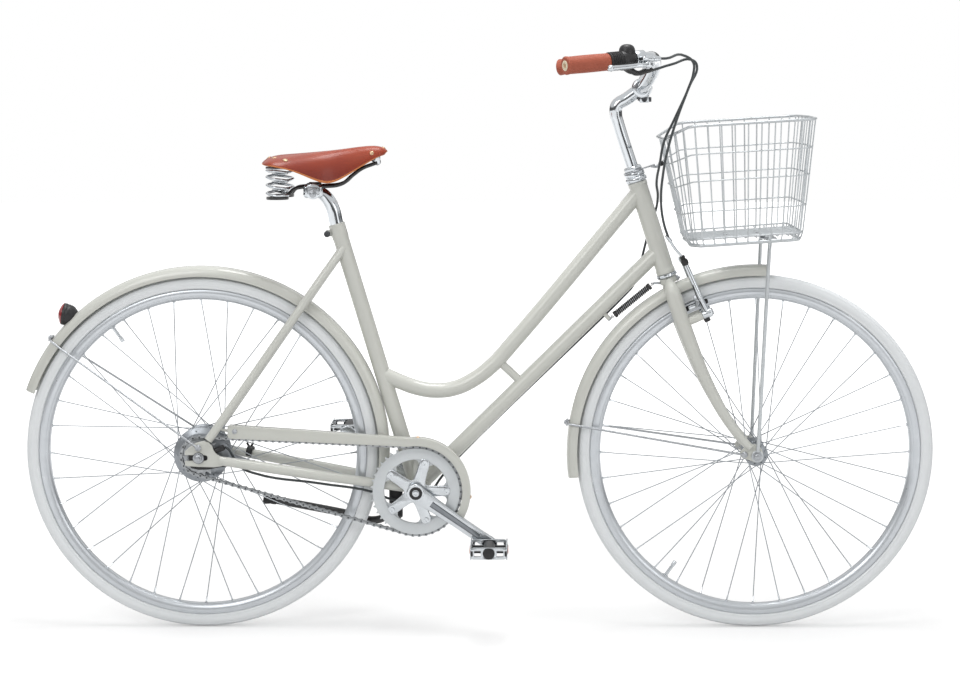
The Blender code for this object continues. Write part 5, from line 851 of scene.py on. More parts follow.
def link_plate(y, thickness):
    """One waisted side plate of a link, its middle at the origin and its length along X."""
    outline = []
    for end in (-1, 1):
        for k in range(5):
            turn = (pi / 2 if end < 0 else -pi / 2) + 0.35 + (pi - 0.7) * k / 4
            outline.append((end * PITCH / 2 + 0.0041 * cos(turn), 0.0041 * sin(turn)))
        outline.append((0.0, 0.002 * end))
    return sheet([outline], thickness, y, CHAIN_STEEL, 0.00025)


def make_chain():
    """Inner and outer links in turn, with their rollers and riveted pins."""
    pins = chain_pins()
    rows = []
    for kind, y in enumerate((0.0022, 0.0037)):
        shapes = [link_plate(y, 0.0009), link_plate(-y, 0.0009)]
        roller = mm(0, -1.8, 3.8, -1.8, 3.8, 1.8, 0, 1.8)
        pin = mm(0, -4.6, 1.9, -4.4, 1.9, 4.4, 0, 4.6)
        for end in (-1, 1):
            shapes.append(turned(pin if kind else roller, X * end * PITCH / 2, Y, DARK_STEEL, 8))
        placings = []
        for k in range(kind, len(pins), 2):
            a, b = pins[k], pins[(k + 1) % len(pins)]
            along = (b - a).normalized()
            turn = Matrix((along, Y, along.cross(Y))).transposed().to_4x4()
            turn.translation = (a + b) / 2 + Y * CHAIN_LINE
            placings.append(turn)
        rows.append(repeat(join(shapes), placings))
    fit(rows, "roller_chain", "frame_body", "steel", "chain")


def toothed(centre, teeth, radius, phase):
    """The outline of a toothed wheel with round gaps; phase is the angle of one gap between teeth."""
    points = []
    for k in range(teeth):
        middle = phase + (k + 0.5) * 2 * pi / teeth
        for reach, half in mm(-4, 4.1, -2.2, 3, 1, 1.8, 3.1, 0.7, 3.1, -0.7, 1, -1.8, -2.2, -3, -4, -4.1):
            r = radius + reach
            angle = middle - asin(half / r)
            points.append((centre.x + r * cos(angle), centre.z + r * sin(angle)))
    return points


def arc(centre, radius, first, last, count):
    """Points (x, z) of an arc round a centre, count steps from its first angle to its last."""
    turns = [first + (last - first) * k / count for k in range(count + 1)]
    return [(centre.x + radius * cos(turn), centre.z + radius * sin(turn)) for turn in turns]


def circle(centre, radius, count):
    """Points (x, z) of a closed circle."""
    return arc(centre, radius, 0.0, 2 * pi, count)[:-1]


def star(waves, size=1.0):
    """Points round the cranks' axis: five times the same row of (turn from an arm, reach)."""
    spots = [CRANKS + ray(arm + turn) * size * reach for arm in SPIDER_ARMS for turn, reach in waves]
    return [(p.x, p.z) for p in spots]


WINDOW_WAVE = [(-0.6, 1.0), (-0.48, 1.0), (-0.36, 0.995), (-0.27, 0.96), (-0.2, 0.88), (-0.14, 0.8),
               (-0.07, 0.76), (0.07, 0.76), (0.14, 0.8), (0.2, 0.88), (0.27, 0.96), (0.36, 0.995),
               (0.48, 1.0)]
SPIDER_WAVE = [(-0.62, 0.0225), (-0.46, 0.0255), (-0.34, 0.032), (-0.245, 0.042), (-0.19, 0.054),
               (-0.145, 0.0625), (-0.07, 0.0655), (0.07, 0.0655), (0.145, 0.0625), (0.19, 0.054),
               (0.245, 0.042), (0.34, 0.032), (0.46, 0.0255)]


def make_chainring():
    """The toothed ring with its five tabs, and the smooth guard disc that covers the chain's lower edge."""
    teeth = toothed(CRANKS, RING_TEETH, RING_RADIUS, CHAIN_AWAY + pi)
    ring = sheet([teeth, star(WINDOW_WAVE, 0.062)], 0.0024, CHAIN_LINE, RING_ALLOY, 0.0005)
    guard = hoop(mm(61.2, 0, 78.6, 0, 79.2, 0.6, 79.2, 3.9, 82.6, 3.9, 83.4, 4.3, 83.2, 5, 82.4, 5.3,
                    63.6, 5.3, 62, 4.9, 61.2, 3.8), CRANKS + Y * (CHAIN_LINE - 0.0012), -Y, RING_ALLOY, 96)
    fit([ring, guard], "chainwheel", "cranks", "alloy", "chainring")


def make_sprocket():
    """The rear cog with its driver and the black dust cover."""
    teeth = toothed(REAR, SPROCKET_TEETH, SPROCKET_RADIUS, CHAIN_AWAY)
    disc = sheet([teeth, circle(REAR, 0.015, 24)], 0.0022, CHAIN_LINE, CHAIN_STEEL)
    driver = hoop(mm(5.6, 36.3, 15.8, 36.3, 16.5, 37, 16.5, 44, 20, 44.6, 20, 48.4, 16.5, 49, 16.5, 51.2,
                     15.6, 52, 5.6, 52), REAR, WHEEL_AXIS, DARK_STEEL)
    cover = hoop(mm(16, 42.4, 30, 41.8, 31.2, 41.2, 31.2, 40, 16, 40.2), REAR, WHEEL_AXIS, BLACK_PLASTIC, 48)
    fit([disc, driver, cover], "rear_chain_sprocket", "sprocket_body", "steel", "rear_sprocket")


def crank_eye(side):
    """A crank's angle and the middle of its pedal eye; side is -1 for the chain side."""
    angle = CRANK_ANGLE if side < 0 else CRANK_ANGLE + pi
    return angle, CRANKS + ray(angle) * CRANK_LENGTH


def crank_outline(angle, eye):
    """A crank from the side: its boss, the arm that narrows, and the round eye."""
    along, across = ray(angle), ray(angle + pi / 2)
    side = mm(22, 15.2, 45, 13.2, 100, 11.8, 150, 11.8)
    near, far = ([CRANKS + along * reach + across * half * way for reach, half in side] for way in (-1, 1))
    boss = arc(CRANKS, 0.0178, angle + pi / 2 + 0.45, angle + pi * 1.5 - 0.45, 10)
    tip = arc(eye, 0.013, angle - pi / 2 + 0.2, angle + pi / 2 - 0.2, 8)
    return boss + [(p.x, p.z) for p in near] + tip + [(p.x, p.z) for p in reversed(far)]


def make_crank(side):
    """A grooved crank with its boss, bolt and pedal spindle; the chain side has the five-armed spider too."""
    angle, eye = crank_eye(side)
    out, along = Y * side, ray(angle)
    arm = sheet([crank_outline(angle, eye)], 0.012, side * 0.068, ALLOY, 0.0024, 3)
    # The groove's walls take the darker hub alloy: painted shade in the recess.
    groove = pipe([(*(CRANKS + along * 0.036 + out * 0.0763), 0.0062),
                   (*(CRANKS + along * 0.146 + out * 0.0754), 0.0046)], 0.006, HUB_ALLOY_AND_GROOVE_SHADE, bent=False, sides=6)
    shape_up(arm, "BOOLEAN", operation="DIFFERENCE", solver="EXACT", material_mode="TRANSFER", object=groove)
    bpy.data.objects.remove(groove, do_unlink=True)
    inner = 0.048 if side < 0 else 0.045
    boss = hoop([(0.0092, inner), (0.016, inner), (0.0168, inner + 0.001), (0.0172, 0.064), (0.0168, 0.0728),
                 (0.0152, 0.0742), (0.0128, 0.0742), (0.0124, 0.0716), (0.0092, 0.0716)], CRANKS, out, ALLOY,
                48)
    cap = turned(mm(0, 70.2, 12.6, 70.2, 12.6, 73.8, 11.8, 74.6, 6.8, 74.8, 6.2, 73.2, 0, 73.2), CRANKS, out,
                 BLACK_PLASTIC, 32)
    bolt = turned(mm(0, 72.8, 2.6, 72.8, 2.8, 75, 3.8, 75.2, 5.2, 74.8, 5.8, 73.4, 5.8, 71, 0, 71), CRANKS,
                  out, CHROME, 24)
    spindle = bar(eye + out * 0.07, eye + out * 0.159, 0.0045, DARK_STEEL, 20)
    collar = turned(mm(0, 73.8, 7.4, 73.8, 7.4, 76.6, 6.2, 77.6, 0, 77.6), eye, out, DARK_STEEL, 24)
    shapes = [arm, boss, cap, bolt, spindle, collar]
    if side < 0:
        shapes.append(sheet([star(SPIDER_WAVE)], 0.0058, -inner - 0.0032, ALLOY, 0.002, 2))
        for turn in SPIDER_ARMS:
            place = CRANKS + ray(turn) * 0.0582 - Y * (inner + 0.0058)
            shapes.append(socket_bolt(place, -Y, 0.005, 0.0026, CHROME))
    fit(shapes, "chain_side_crank" if side < 0 else "far_crank", "cranks", "alloy",
        "crank_right" if side < 0 else "crank_left")


PEDAL_CORNER = mm(33.5, 5, 32.5, 8.8, 29, 10.8, 10, 11.2)
PEDAL_WINDOW = mm(15, -5.2, 26, -5.2, 27.2, -4, 27.2, 4, 26, 5.2, 15, 5.2)


def make_pedal(side):
    """A pedal with a black barrel, end plates with windows, toothed cages and amber reflectors."""
    eye, out = crank_eye(side)[1], Y * side
    inner, outer = 0.079, 0.171
    barrel = hoop([(0.0048, inner + 0.0004), (0.0092, inner + 0.0004), (0.01, inner + 0.002),
                   (0.01, inner + 0.014), (0.0112, inner + 0.02), (0.0112, outer - 0.018),
                   (0.0104, outer - 0.012), (0.0104, outer - 0.0008), (0.0098, outer - 0.0012),
                   (0.0048, outer - 0.0016)], eye, out, BLACK_PLASTIC, 32)
    cap = turned([(0, outer - 0.006), (0.01, outer - 0.006), (0.01, outer - 0.0006), (0.0088, outer),
                  (0, outer + 0.0004)], eye, out, BLACK_PLASTIC, 32)
    shapes = [barrel, cap]
    corners = PEDAL_CORNER + [(-x, z) for x, z in reversed(PEDAL_CORNER)]
    corners += [(-x, -z) for x, z in corners]
    plate = [[(eye.x + x, eye.z + z) for x, z in corners], circle(eye, 0.0102, 24)]
    plate += [[(eye.x + sense * x, eye.z + z) for x, z in PEDAL_WINDOW] for sense in (-1, 1)]
    shapes += [sheet(plate, 0.005, side * y, ALLOY, 0.0008) for y in (inner + 0.006, outer - 0.006)]
    for sense in (-1, 1):
        edge = eye + X * sense * 0.0336
        for z in (-0.0088, 0.0088):
            shapes.append(block(edge + Z * z + out * 0.125, (0.088, 0.0052, 0.0024), ALLOY, Y, 0.0008))
            for k in range(9):
                tooth = edge + Z * z * 1.25 + out * (0.125 + (k - 4) * 0.0098)
                shapes.append(block(tooth, (0.0046, 0.0022, 0.0022), ALLOY, Y, 0.0005, 1))
        for y in (inner + 0.006, outer - 0.006):
            shapes.append(block(edge + out * y, (0.006, 0.019, 0.0024), ALLOY, Y, 0.0008))
        lamp = eye + X * sense * 0.033 + out * 0.125
        shapes.append(block(lamp, (0.048, 0.01, 0.005), BLACK_PLASTIC, Y))
        shapes.append(block(lamp + X * sense * 0.0014, (0.044, 0.0078, 0.004), AMBER, Y))
        for y in (0.098, 0.152):
            shapes.append(block(eye + X * sense * 0.0205 + out * y, (0.025, 0.005, 0.0036), BLACK_PLASTIC))
        for y in (inner + 0.0034, outer - 0.0034):
            shapes.append(block(eye + X * sense * 0.0318 + out * y, (0.0052, 0.0096, 0.0044), BLACK_PLASTIC,
                                Y))
    name = "right" if side < 0 else "left"
    fit(shapes, f"{name}_pedal_cage", f"{name}_pedal_body", "black_plastic", f"pedal_{name}")


def make_chain_guard():
    """A folded strip over the upper run and round the front of the chainring."""
    upper = [(REAR.x + 0.0573, REAR.z + 0.06), (REAR.x + 0.2303, REAR.z + 0.048)]
    lower = [(REAR.x + 0.0583, REAR.z + 0.035), (REAR.x + 0.2303, REAR.z + 0.027)]
    end = radians(-29)
    outer = arc(CRANKS, GUARD_RADIUS, radians(97), end, 36)
    tip = CRANKS + ray(end - 0.03) * (GUARD_RADIUS - 0.008)
    inner = arc(CRANKS, GUARD_RADIUS - 0.0158, end, radians(100), 36)
    tail = [(lower[0][0] - 0.004, lower[0][1] + 0.004), (upper[0][0] - 0.003, upper[0][1] - 0.003)]
    face = sheet([upper + outer + [(tip.x, tip.z)] + inner + lower[::-1] + tail], 0.0014, GUARD_FACE - 0.0006,
                 ENAMEL, 0.0005)
    under = [(x, z - 0.0012) for x, z in reversed(upper)]
    inside = arc(CRANKS, GUARD_RADIUS - 0.0012, end, radians(97), 36)
    flange = sheet([upper + outer + inside + under], 0.019, GUARD_FACE + 0.0089, ENAMEL, 0.0005)
    shapes = [face, flange,
              socket_bolt(step(REAR, *GUARD_BOLT, GUARD_FACE - 0.0012), -Y, 0.005, 0.0026, ZINC)]
    for angle in GUARD_ARMS:
        spot = CRANKS + ray(angle) * (GUARD_RADIUS - 0.0004) + Y * (GUARD_FACE + 0.006)
        shapes.append(dome(spot, ray(angle), 0.004, 0.0028, COPPER))
    fit(shapes, "chain_guard_shell", "frame_body", "enamel", "chain_guard")


def make_rear_axle():
    """The axle with its nuts and washers, and the hub's reaction arm with its clip."""
    face = DROPOUT_FACE
    shapes = [bar(REAR - Y * (face + 0.015), REAR + Y * (face + 0.013), 0.0048, ZINC, 24),
              bar(REAR + Y * 0.0505, REAR + Y * 0.0647, 0.015, DARK_STEEL, 32)]
    for side in (-1, 1):
        out = Y * side
        shapes.append(turned([(0, face), (0.0104, face), (0.011, face + 0.0004), (0.011, face + 0.0016),
                              (0.0104, face + 0.002), (0, face + 0.002)], REAR, out, DARK_STEEL, 32))
        shapes.append(hex_nut(REAR + out * (face + 0.0018), out, 0.0086, 0.007, ZINC))
        shapes.append(dome(REAR + out * (face + 0.0086), out, 0.007, 0.0026, ZINC))
    end = step(REAR, 0.09, -0.033)
    shapes.append(block((REAR + end) / 2 + Y * 0.052, ((end - REAR).length + 0.008, 0.0026, 0.013), ZINC,
                        end - REAR))
    shapes.append(block(end + Vector((-0.004, 0.059, 0.0045)), (0.013, 0.018, 0.003), ZINC))
    shapes.append(socket_bolt(end + Vector((0, 0.0536, 0)), Y, 0.0046, 0.003, ZINC))
    fit(shapes, "rear_axle_set", "frame_body", "steel", "rear_axle")
    dish = turned(mm(0, 53, 19.2, 53, 20.5, 54.2, 20.5, 60, 18, 64, 0, 64.7), REAR, WHEEL_AXIS, BLACK_PLASTIC,
                  40)
    pulley_end = step(REAR, 0.044, 0.017, -0.0588)
    arm = bar(REAR + Y * -0.0588, pulley_end, 0.0054, BLACK_PLASTIC, 20)
    stop = block(pulley_end - X * 0.001, (0.012, 0.01, 0.011), BLACK_PLASTIC, (0.93, 0, 0.36), 0.002)
    # A black strip below the dropout: painted shadow, laid as a flat sheet.
    strip = mm(-20, -14, -15, -21.2, -2, -24.4, 18, -23.8, 40, -19.2, 62, -17.6, 62, -15, 20, -13)
    shadow_strip = sheet([[(REAR.x + x, REAR.z + z) for x, z in strip]], 0.005, -0.059, BLACK_PLASTIC, 0.001)
    fit([dish, arm, stop, shadow_strip], "hub_gear_unit", "frame_body", "black_plastic", "gear_shift_unit")


def make_bottom_bracket():
    """The bearing cartridge with a ring at each side, and the axle through it."""
    shapes = [hoop(mm(9, -33.8, 16.4, -33.8, 16.4, 33.8, 9, 33.8), CRANKS, WHEEL_AXIS, BLACK_STEEL)]
    for side in (-1, 1):
        shapes.append(hoop(mm(9.5, 33.6, 15, 33.6, 16, 34, 15, 34.6, 11, 35, 9.5, 34.6), CRANKS, Y * side,
                           DARK_STEEL))
    fit(shapes, "bearing_cartridge", "frame_body", "dark_steel", "bottom_bracket_cartridge")
    fit(bar(CRANKS - Y * 0.06, CRANKS + Y * 0.06, 0.0085, ZINC, 32), "crank_axle", "cranks", "steel",
        "crank_spindle")


def make_kickstand():
    """A black prop folded back along the chain stay, on its clamp and pin."""
    axis = Vector((0, 0.993339, 0.115227))
    pivot = step(CRANKS, -0.042, -0.052, 0.012)
    shapes = [block(step(CRANKS, -0.042, -0.033, 0.006), (0.026, 0.012, 0.055), BLACK_STEEL, X, 0.002),
              bar(pivot - axis * 0.012, pivot + axis * 0.004, 0.013, BLACK_STEEL, 32, 0.0012),
              bar(pivot, pivot + axis * 0.023, 0.006, ZINC, 24),
              hex_nut(step(CRANKS, -0.042, -0.0605, 0.006), -Z, 0.0058, 0.005, ZINC)]
    fit(shapes, "stand_bracket", "frame_body", "dark_steel", "kickstand_mount")
    start, end = pivot + axis * 0.0043, pivot + axis * 0.022
    bends = [step(CRANKS, x, z, y) for x, z, y in mm(-82, -71.5, 32, -144, -60, 42, -278, -36, 50.5, row=3)]
    ring = hoop(mm(6.4, 0, 11.2, 0, 12, 0.8, 12, 16.9, 11.2, 17.7, 6.4, 17.7), start, axis, BLACK_STEEL, 32)
    leg = pipe([(start + end) / 2 + (bends[0] - pivot).normalized() * 0.0085] + bends, 0.0078, BLACK_STEEL,
               sides=5)
    fit([ring, leg], "stand_leg", "kickstand", "dark_steel", "kickstand_leg")
    run = step(CRANKS, -0.3035, -0.032, 0.052) - bends[-1]
    foot = turned([(0, 0.0003), (0.0082, 0.0003), (0.0088, 0.0016), (0.0092, run.length * 0.34),
                   (0.0086, run.length * 0.38), (0.0098, run.length * 0.6), (0.0114, run.length * 0.92),
                   (0.0108, run.length * 0.99), (0, run.length)], bends[-1], run, BLACK_RUBBER, 24)
    fit(foot, "stand_foot", "kickstand", "black_rubber", "kickstand_foot")


# Seat

RAIL = mm(79, 116.5, 5, 73, 114, 6, 52, 106, 10, 33, 93, 16, 13, 77, 21, -22, 72, 22, -61, 71, 22,
          -76, 68, 26, -90, 56, 36, -100, 52, 46, row=3)


def make_seat_post():
    """The post that bends back under the saddle, and the clamp on its end."""
    bends = mm(0, 0, 13.38, -5.5, 25, 13.38, -12.5, 41, 13, -22.5, 54, 12.2, -35, 61.5, 11.3, -45, 63.5, 11,
               row=3)
    path = [(*(SEAT_TOP - SEAT_UP * 0.12), 0.01338)] + [(*step(SEAT_TOP, x, z), r) for x, z, r in bends]
    fit(pipe(path, 0.01338, CHROME, sides=8), "bent_seat_post", "seat", "chrome", "seat_post")
    centre = step(SEAT_TOP, -0.042, 0.063)
    shapes = [bar(centre - Y * 0.028, centre + Y * 0.028, 0.015, ALLOY, 32, 0.0012)]
    for side in (-1, 1):
        out = Y * side
        shapes.append(block(centre + out * 0.0215 - Z * 0.0004, (0.013, 0.025, 0.037), ALLOY, Y, 0.0058, 4))
        shapes.append(block(centre + out * 0.024 + Z * 0.001, (0.01, 0.015, 0.025), ZINC, Y, 0.004, 3))
        shapes.append(hex_nut(centre + out * 0.0282 - Z * 0.005, out, 0.0062, 0.005, ZINC, 0.002, 0.003))
        shapes.append(block(step(SEAT_TOP, -0.042, 0.0759, side * 0.022), (0.024, 0.011, 0.005), DARK_STEEL,
                            X, 0.0014))
    fit(shapes, "saddle_clamp_set", "seat", "alloy", "saddle_clamp")


def make_saddle_coil(foot, side, name):
    """A chromed coil of three and a half turns, closed flat at both ends."""
    wire, radius, turns, per_turn = 0.0026, 0.0195, 3.5, 24
    bottom, top = foot.z + 0.0003 + wire, SEAT_TOP.z + 0.1055 - wire
    total, dwell = int(turns * per_turn), per_turn // 4
    points = []
    for k in range(total + 1):
        share = min(max((k - dwell) / (total - 2 * dwell), 0.0), 1.0)
        turn = 2 * pi * k / per_turn
        points.append((foot.x + radius * cos(turn), foot.y + side * radius * sin(turn),
                       bottom + (top - bottom) * share))
    coil = pipe(points, wire, CHROME, bent=False)
    fit(coil, f"saddle_coil_{name}", "seat", "chrome", f"saddle_spring_{name}")
    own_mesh(coil)


def make_saddle_frame():
    """The black rails with their cross bar, the nose piece and the two coils on their cups."""
    rails = [[step(SEAT_TOP, x, z, side * y) for x, z, y in RAIL] for side in (-1, 1)]
    shapes = [pipe(rail, 0.0036, BLACK_STEEL) for rail in rails]
    nose = step(SEAT_TOP, 0.079, 0.1257)
    shapes.append(block(nose + Z * 0.001, (0.011, 0.015, 0.029), CHROME, X, 0.0026, 3))
    shapes.append(turned(mm(0, -5, 5.6, -4.6, 6.8, -2, 6.8, 2, 5.6, 4.6, 0, 5), step(SEAT_TOP, 0.079, 0.1175),
                         Y, BLACK_STEEL, 24))
    shapes.append(hex_nut(nose - Z * 0.004 - X * 0.005, -X, 0.005, 0.005, ZINC, 0.006, 0.003))
    cross = [step(SEAT_TOP, -0.1, 0.052, -0.046), step(SEAT_TOP, -0.1065, 0.051),
             step(SEAT_TOP, -0.1, 0.052, 0.046)]
    shapes.append(pipe(cross, 0.0036, BLACK_STEEL))
    for side, name in SIDES:
        foot = step(SEAT_TOP, -0.1065, 0.054, side * 0.05)
        shapes.append(turned(mm(0, -5, 20.8, -5, 21.4, -4, 21.4, -0.8, 20.6, 0, 15, 0, 14.6, -1.6, 0, -1.6),
                             foot, Z, BLACK_STEEL, 32))
        shapes.append(hex_nut(foot - Z * 0.0018, Z, 0.0052, 0.0034, ZINC, 0.0014, 0.0026))
        make_saddle_coil(foot, side, name)
    fit(shapes, "saddle_under_frame", "seat", "dark_steel", "saddle_rails")


# Share of the length from the nose, ridge height above the nose tip, half width, depth of the skirt
SADDLE_SHAPE = [
    (0.00, 0.0000, 0.011, 0.009), (0.045, 0.0085, 0.021, 0.017), (0.125, 0.011, 0.0245, 0.028),
    (0.235, 0.0085, 0.0275, 0.042), (0.36, 0.0045, 0.033, 0.0575), (0.47, 0.0015, 0.042, 0.066),
    (0.59, -0.001, 0.063, 0.05), (0.72, -0.004, 0.087, 0.03), (0.84, -0.006, 0.1, 0.021),
    (0.94, -0.009, 0.1, 0.014), (1.00, -0.02, 0.088, 0.004)]
SADDLE_LENGTH = 0.24


def saddle_point(share, v):
    """A point of the top skin: share runs from nose to tail, v from one skirt's edge to the other."""
    for low, high in zip(SADDLE_SHAPE, SADDLE_SHAPE[1:]):
        if share <= high[0] + 1e-6:
            part = (share - low[0]) / (high[0] - low[0])
            break
    ridge, width, skirt = (a + (b - a) * part for a, b in zip(low[1:], high[1:]))
    edge = abs(v)
    round_back = 0.014 * edge ** 2 * max(0.0, share - 0.8) / 0.2
    round_nose = 0.007 * edge ** 2 * max(0.0, 0.06 - share) / 0.06
    nose = step(SEAT_TOP, 0.1005, 0.138)
    return Vector((nose.x - SADDLE_LENGTH * share + round_back - round_nose,
                   width * (1 - (1 - edge) ** 1.7) * (1 if v > 0 else -1),
                   nose.z + ridge - skirt * edge ** 2.6))


def make_saddle():
    """The tensioned leather top with its cut edge and rivets, on its cantle plate."""
    bpy.ops.object.select_all(action="DESELECT")
    bpy.ops.mesh.primitive_grid_add(x_subdivisions=len(SADDLE_SHAPE) - 1, y_subdivisions=8, size=2.0)
    skin = bpy.context.object
    for vert in skin.data.vertices:
        row = SADDLE_SHAPE[round((1 - vert.co.x) / 2 * (len(SADDLE_SHAPE) - 1))]
        vert.co = saddle_point(row[0], vert.co.y)
    flat_faces = 2 * len(skin.data.polygons)
    shape_up(skin, "SOLIDIFY", thickness=0.0045, offset=-1.0)
    tint(skin, LEATHER)
    skin.data.materials.append(LEATHER_EDGE)
    for face in list(skin.data.polygons)[flat_faces:]:
        face.material_index = 1
    shape_up(skin, "SUBSURF", levels=2, render_levels=2)
    shapes = [skin]
    for share, v, radius in ((0.885, 0.42, 0.0052), (0.785, 0.64, 0.0052), (0.955, 0.0, 0.0052),
                             (0.127, 0.76, 0.0042), (0.035, 0.0, 0.0042)):
        for side in (-1, 1) if v else (1,):
            spot = saddle_point(share, v * side)
            along = saddle_point(share + 0.02, v * side) - saddle_point(share - 0.02, v * side)
            across = saddle_point(share, v * side + 0.05) - saddle_point(share, v * side - 0.05)
            normal = across.cross(along).normalized()
            normal = normal if normal.z > 0 else -normal
            shapes.append(dome(spot - normal * 0.0012, normal, radius, 0.002, COPPER, 24))
    fit(shapes, "leather_top", "saddle_top", "leather", "saddle_leather")
    half = mm(-75, 30, -90, 66, -112, 72, -128, 50, -134, 0)
    outline = half + [(x, -y) for x, y in reversed(half[:-1])]
    plate = cut_sheet([outline], 0.003, ZINC, Matrix.Translation(step(SEAT_TOP, 0, 0.1073)), 0.0006)
    fit(plate, "saddle_cantle", "saddle_top", "steel", "saddle_cantle_plate")


# Fork, stem and handlebar

BLADE = mm(4, -13.6, 4, 5, 4.5, -14, 16, 5.6, 5.5, -19, 29.5, 9.5, 10, -32, 40, 14.2, 16, -52, 41.5, 15,
           41, -123.1, 43, 14, 82.1, -218.1, 46.5, 11.5, 136.6, -306.1, 50.5, 9, 159, -330, 52.5, 7.5, row=4)
FORK_END = mm(-33, 8, -26, 15.8, -19, 21.2, -11, 23.2, -4, 23, 4, 18.8, 8.5, 12.5, 10.8, 6, 11, 0, 8.5, -9,
              5, -12, 5, 0.8, 3.6, 4, 0, 5.2, -3.6, 4, -5, 0.8, -5, -12, -11, -9, -29, -3, -32.2, 1)
STEM_CLAMP = step(HEAD, -0.0474, 0.3509)
BAR_BENDS = mm(0, 0, 24, 6, 10, 57, 16.5, 34, 95, 16.5, 49.5, 130, 10, 55.5, 165, -6, 53.8, 213, row=3)


def brake_pivot(side):
    """Where a brake arm turns on its boss."""
    return step(HEAD, 0.0726, -0.0751, side * 0.04)


def make_fork():
    """The crown, both swept blades with their ends, the brake bosses and the axle nuts."""
    crown = turned(mm(0, -20, 15, -20, 16.2, -19, 16.6, -16, 16.6, -11, 16, -9, 15, -8.3, 0, -8.3), HEAD,
                   HEAD_UP, ENAMEL, 40)
    shapes = [crown, bar(steer(-0.017), steer(0.213), 0.0126, ZINC, 32)]
    for side in (-1, 1):
        shapes.append(pipe([(*step(HEAD, x, z, side * y), r) for x, z, y, r in BLADE], 0.015, ENAMEL, sides=7,
                           grain=6))
        plate = [[(FRONT.x + x, FRONT.z + z) for x, z in FORK_END]]
        shapes.append(sheet(plate, 0.005, side * 0.0525, ENAMEL, 0.0008))
        pivot = brake_pivot(side)
        shapes.append(turned(mm(0, -36, 7.5, -36, 8.2, -20, 7.5, -6.2, 0, -6), pivot, BRAKE_AXIS, ENAMEL, 24))
        shapes.append(bar(pivot - BRAKE_AXIS * 0.008, pivot + BRAKE_AXIS * 0.01, 0.004, ZINC, 20))
    lug = steer(-0.015, -0.0165) - X * 0.005
    shapes.append(block(lug, (0.016, 0.012, 0.004), ZINC, X, 0.0012))
    shapes.append(hex_nut(steer(-0.015, 0.016), HEAD_AHEAD, 0.0052, 0.0044, ZINC, 0.0024, 0.0028))
    fit(shapes, "fork_blades", "steering_body", "enamel", "fork")
    face = FORK_FACE
    shapes = [bar(FRONT - Y * (face + 0.011), FRONT + Y * (face + 0.011), 0.0044, ZINC, 24)]
    for side in (-1, 1):
        shapes.append(hex_nut(FRONT + Y * side * (face + 0.003), Y * side, 0.0078, 0.0062, ZINC))
        shapes.append(dome(FRONT + Y * side * (face + 0.009), Y * side, 0.0062, 0.0024, ZINC))
    fit(shapes, "front_axle_set", "steering_body", "steel", "front_axle")


def bar_end(side):
    """The end of the handlebar at one side."""
    return step(STEM_CLAMP, -0.149, 0.041, side * 0.29)


def bar_course(side):
    """The direction of the grip part, towards its end."""
    x, z, y = BAR_BENDS[-1]
    return (bar_end(side) - step(STEM_CLAMP, x, z, side * y)).normalized()


def on_bar(side, distance):
    """A point on the grip part of the bar, measured back from its end."""
    return bar_end(side) - bar_course(side) * distance


def make_stem():
    """The bent quill stem with its clamp, and the handlebar that sweeps back to the grips."""
    bend = steer(0.329)
    path = [(*steer(0.1526), 0.01105), (*steer(0.2166), 0.01105), (*steer(0.299), 0.01105),
            (*steer(0.317, 0.001), 0.01165), (*(bend + X * 0.0065 + Z * 0.005), 0.0122),
            (*bend.lerp(STEM_CLAMP, 0.45), 0.0124), (*STEM_CLAMP.lerp(bend, 0.12), 0.0125)]
    barrel = hoop(mm(11.4, -20, 16.6, -20, 17.8, -19.2, 18.5, -17, 18.5, 17, 17.8, 19.2, 16.6, 20, 11.4, 20),
                  STEM_CLAMP, Y, ALLOY)
    lug = STEM_CLAMP + Vector((0.004, 0, -0.0235))
    shapes = [pipe(path, 0.0125, CHROME, sides=8, grain=6), barrel,
              block(lug + Z * 0.0036, (0.018, 0.02, 0.015), ALLOY, X, 0.0024, 3),
              block(lug + Z * 0.004 - X * 0.0096, (0.004, 0.018, 0.009), BLACK_STEEL),
              socket_bolt(lug + X * 0.0088 + Z * 0.002, X, 0.0046, 0.005, DARK_STEEL),
              socket_bolt(lug - Y * 0.0098 + Z * 0.002, -Y, 0.005, 0.004, DARK_STEEL)]
    fit(shapes, "quill_stem", "steering_body", "alloy", "stem")
    half = [tuple(on_bar(1, d)) for d in (0.0, 0.03, 0.06, 0.09, 0.12, 0.145)]
    half += [tuple(step(STEM_CLAMP, x, z, y)) for x, z, y in reversed(BAR_BENDS)]
    fit(pipe(both_sides(half), 0.0111, CHROME, sides=7, grain=10), "swept_handlebar", "steering_body",
        "alloy", "handlebar")


def make_grips():
    """A short grip beside the shifter and a long one, each with its cream plug."""
    for side, name, length in ((-1, "right", 0.085), (1, "left", 0.125)):
        course = bar_course(side)
        profile = mm(8.8, -2.2, 15, -2.2, 16.2, -1.2, 16.5, 0.4, 16.2, 3)
        profile += [(0.0155 + 0.0004 * sin(pi * k / 9), length * (0.07 + 0.87 * k / 9)) for k in range(10)]
        profile += [(0.0157, length - 0.002), (0.015, length - 0.0002), (0.0116, length), (0.0116, 0.0002),
                    (0.0088, 0.0002)]
        grip = hoop(profile, bar_end(side), -course, GRIP_BROWN)
        plug = turned(mm(0, 0.2, 9, 0.2, 9.4, -2.6, 8.4, -3.4, 5.2, -3.4, 4.6, -2.6, 0, -2.6), bar_end(side),
                      -course, CREAM, 24)
        screw = socket_bolt(bar_end(side) + course * 0.0026, course, 0.0036, 0.0012, COPPER)
        fit([grip, plug, screw], f"hand_grip_{name}", "steering_body", "brown_grip", f"grip_{name}")


SLEEVE_START = 0.0853
SHIFTER_START = SLEEVE_START + 0.0258
PERCH_START = 0.085 + 0.0255 + 0.028 + 0.0009
LEVER_OUT = Vector((-bar_course(-1).y, bar_course(-1).x, 0)).normalized()
CABLE_OUT = (-LEVER_OUT * 0.5 - Z * 0.87).normalized()


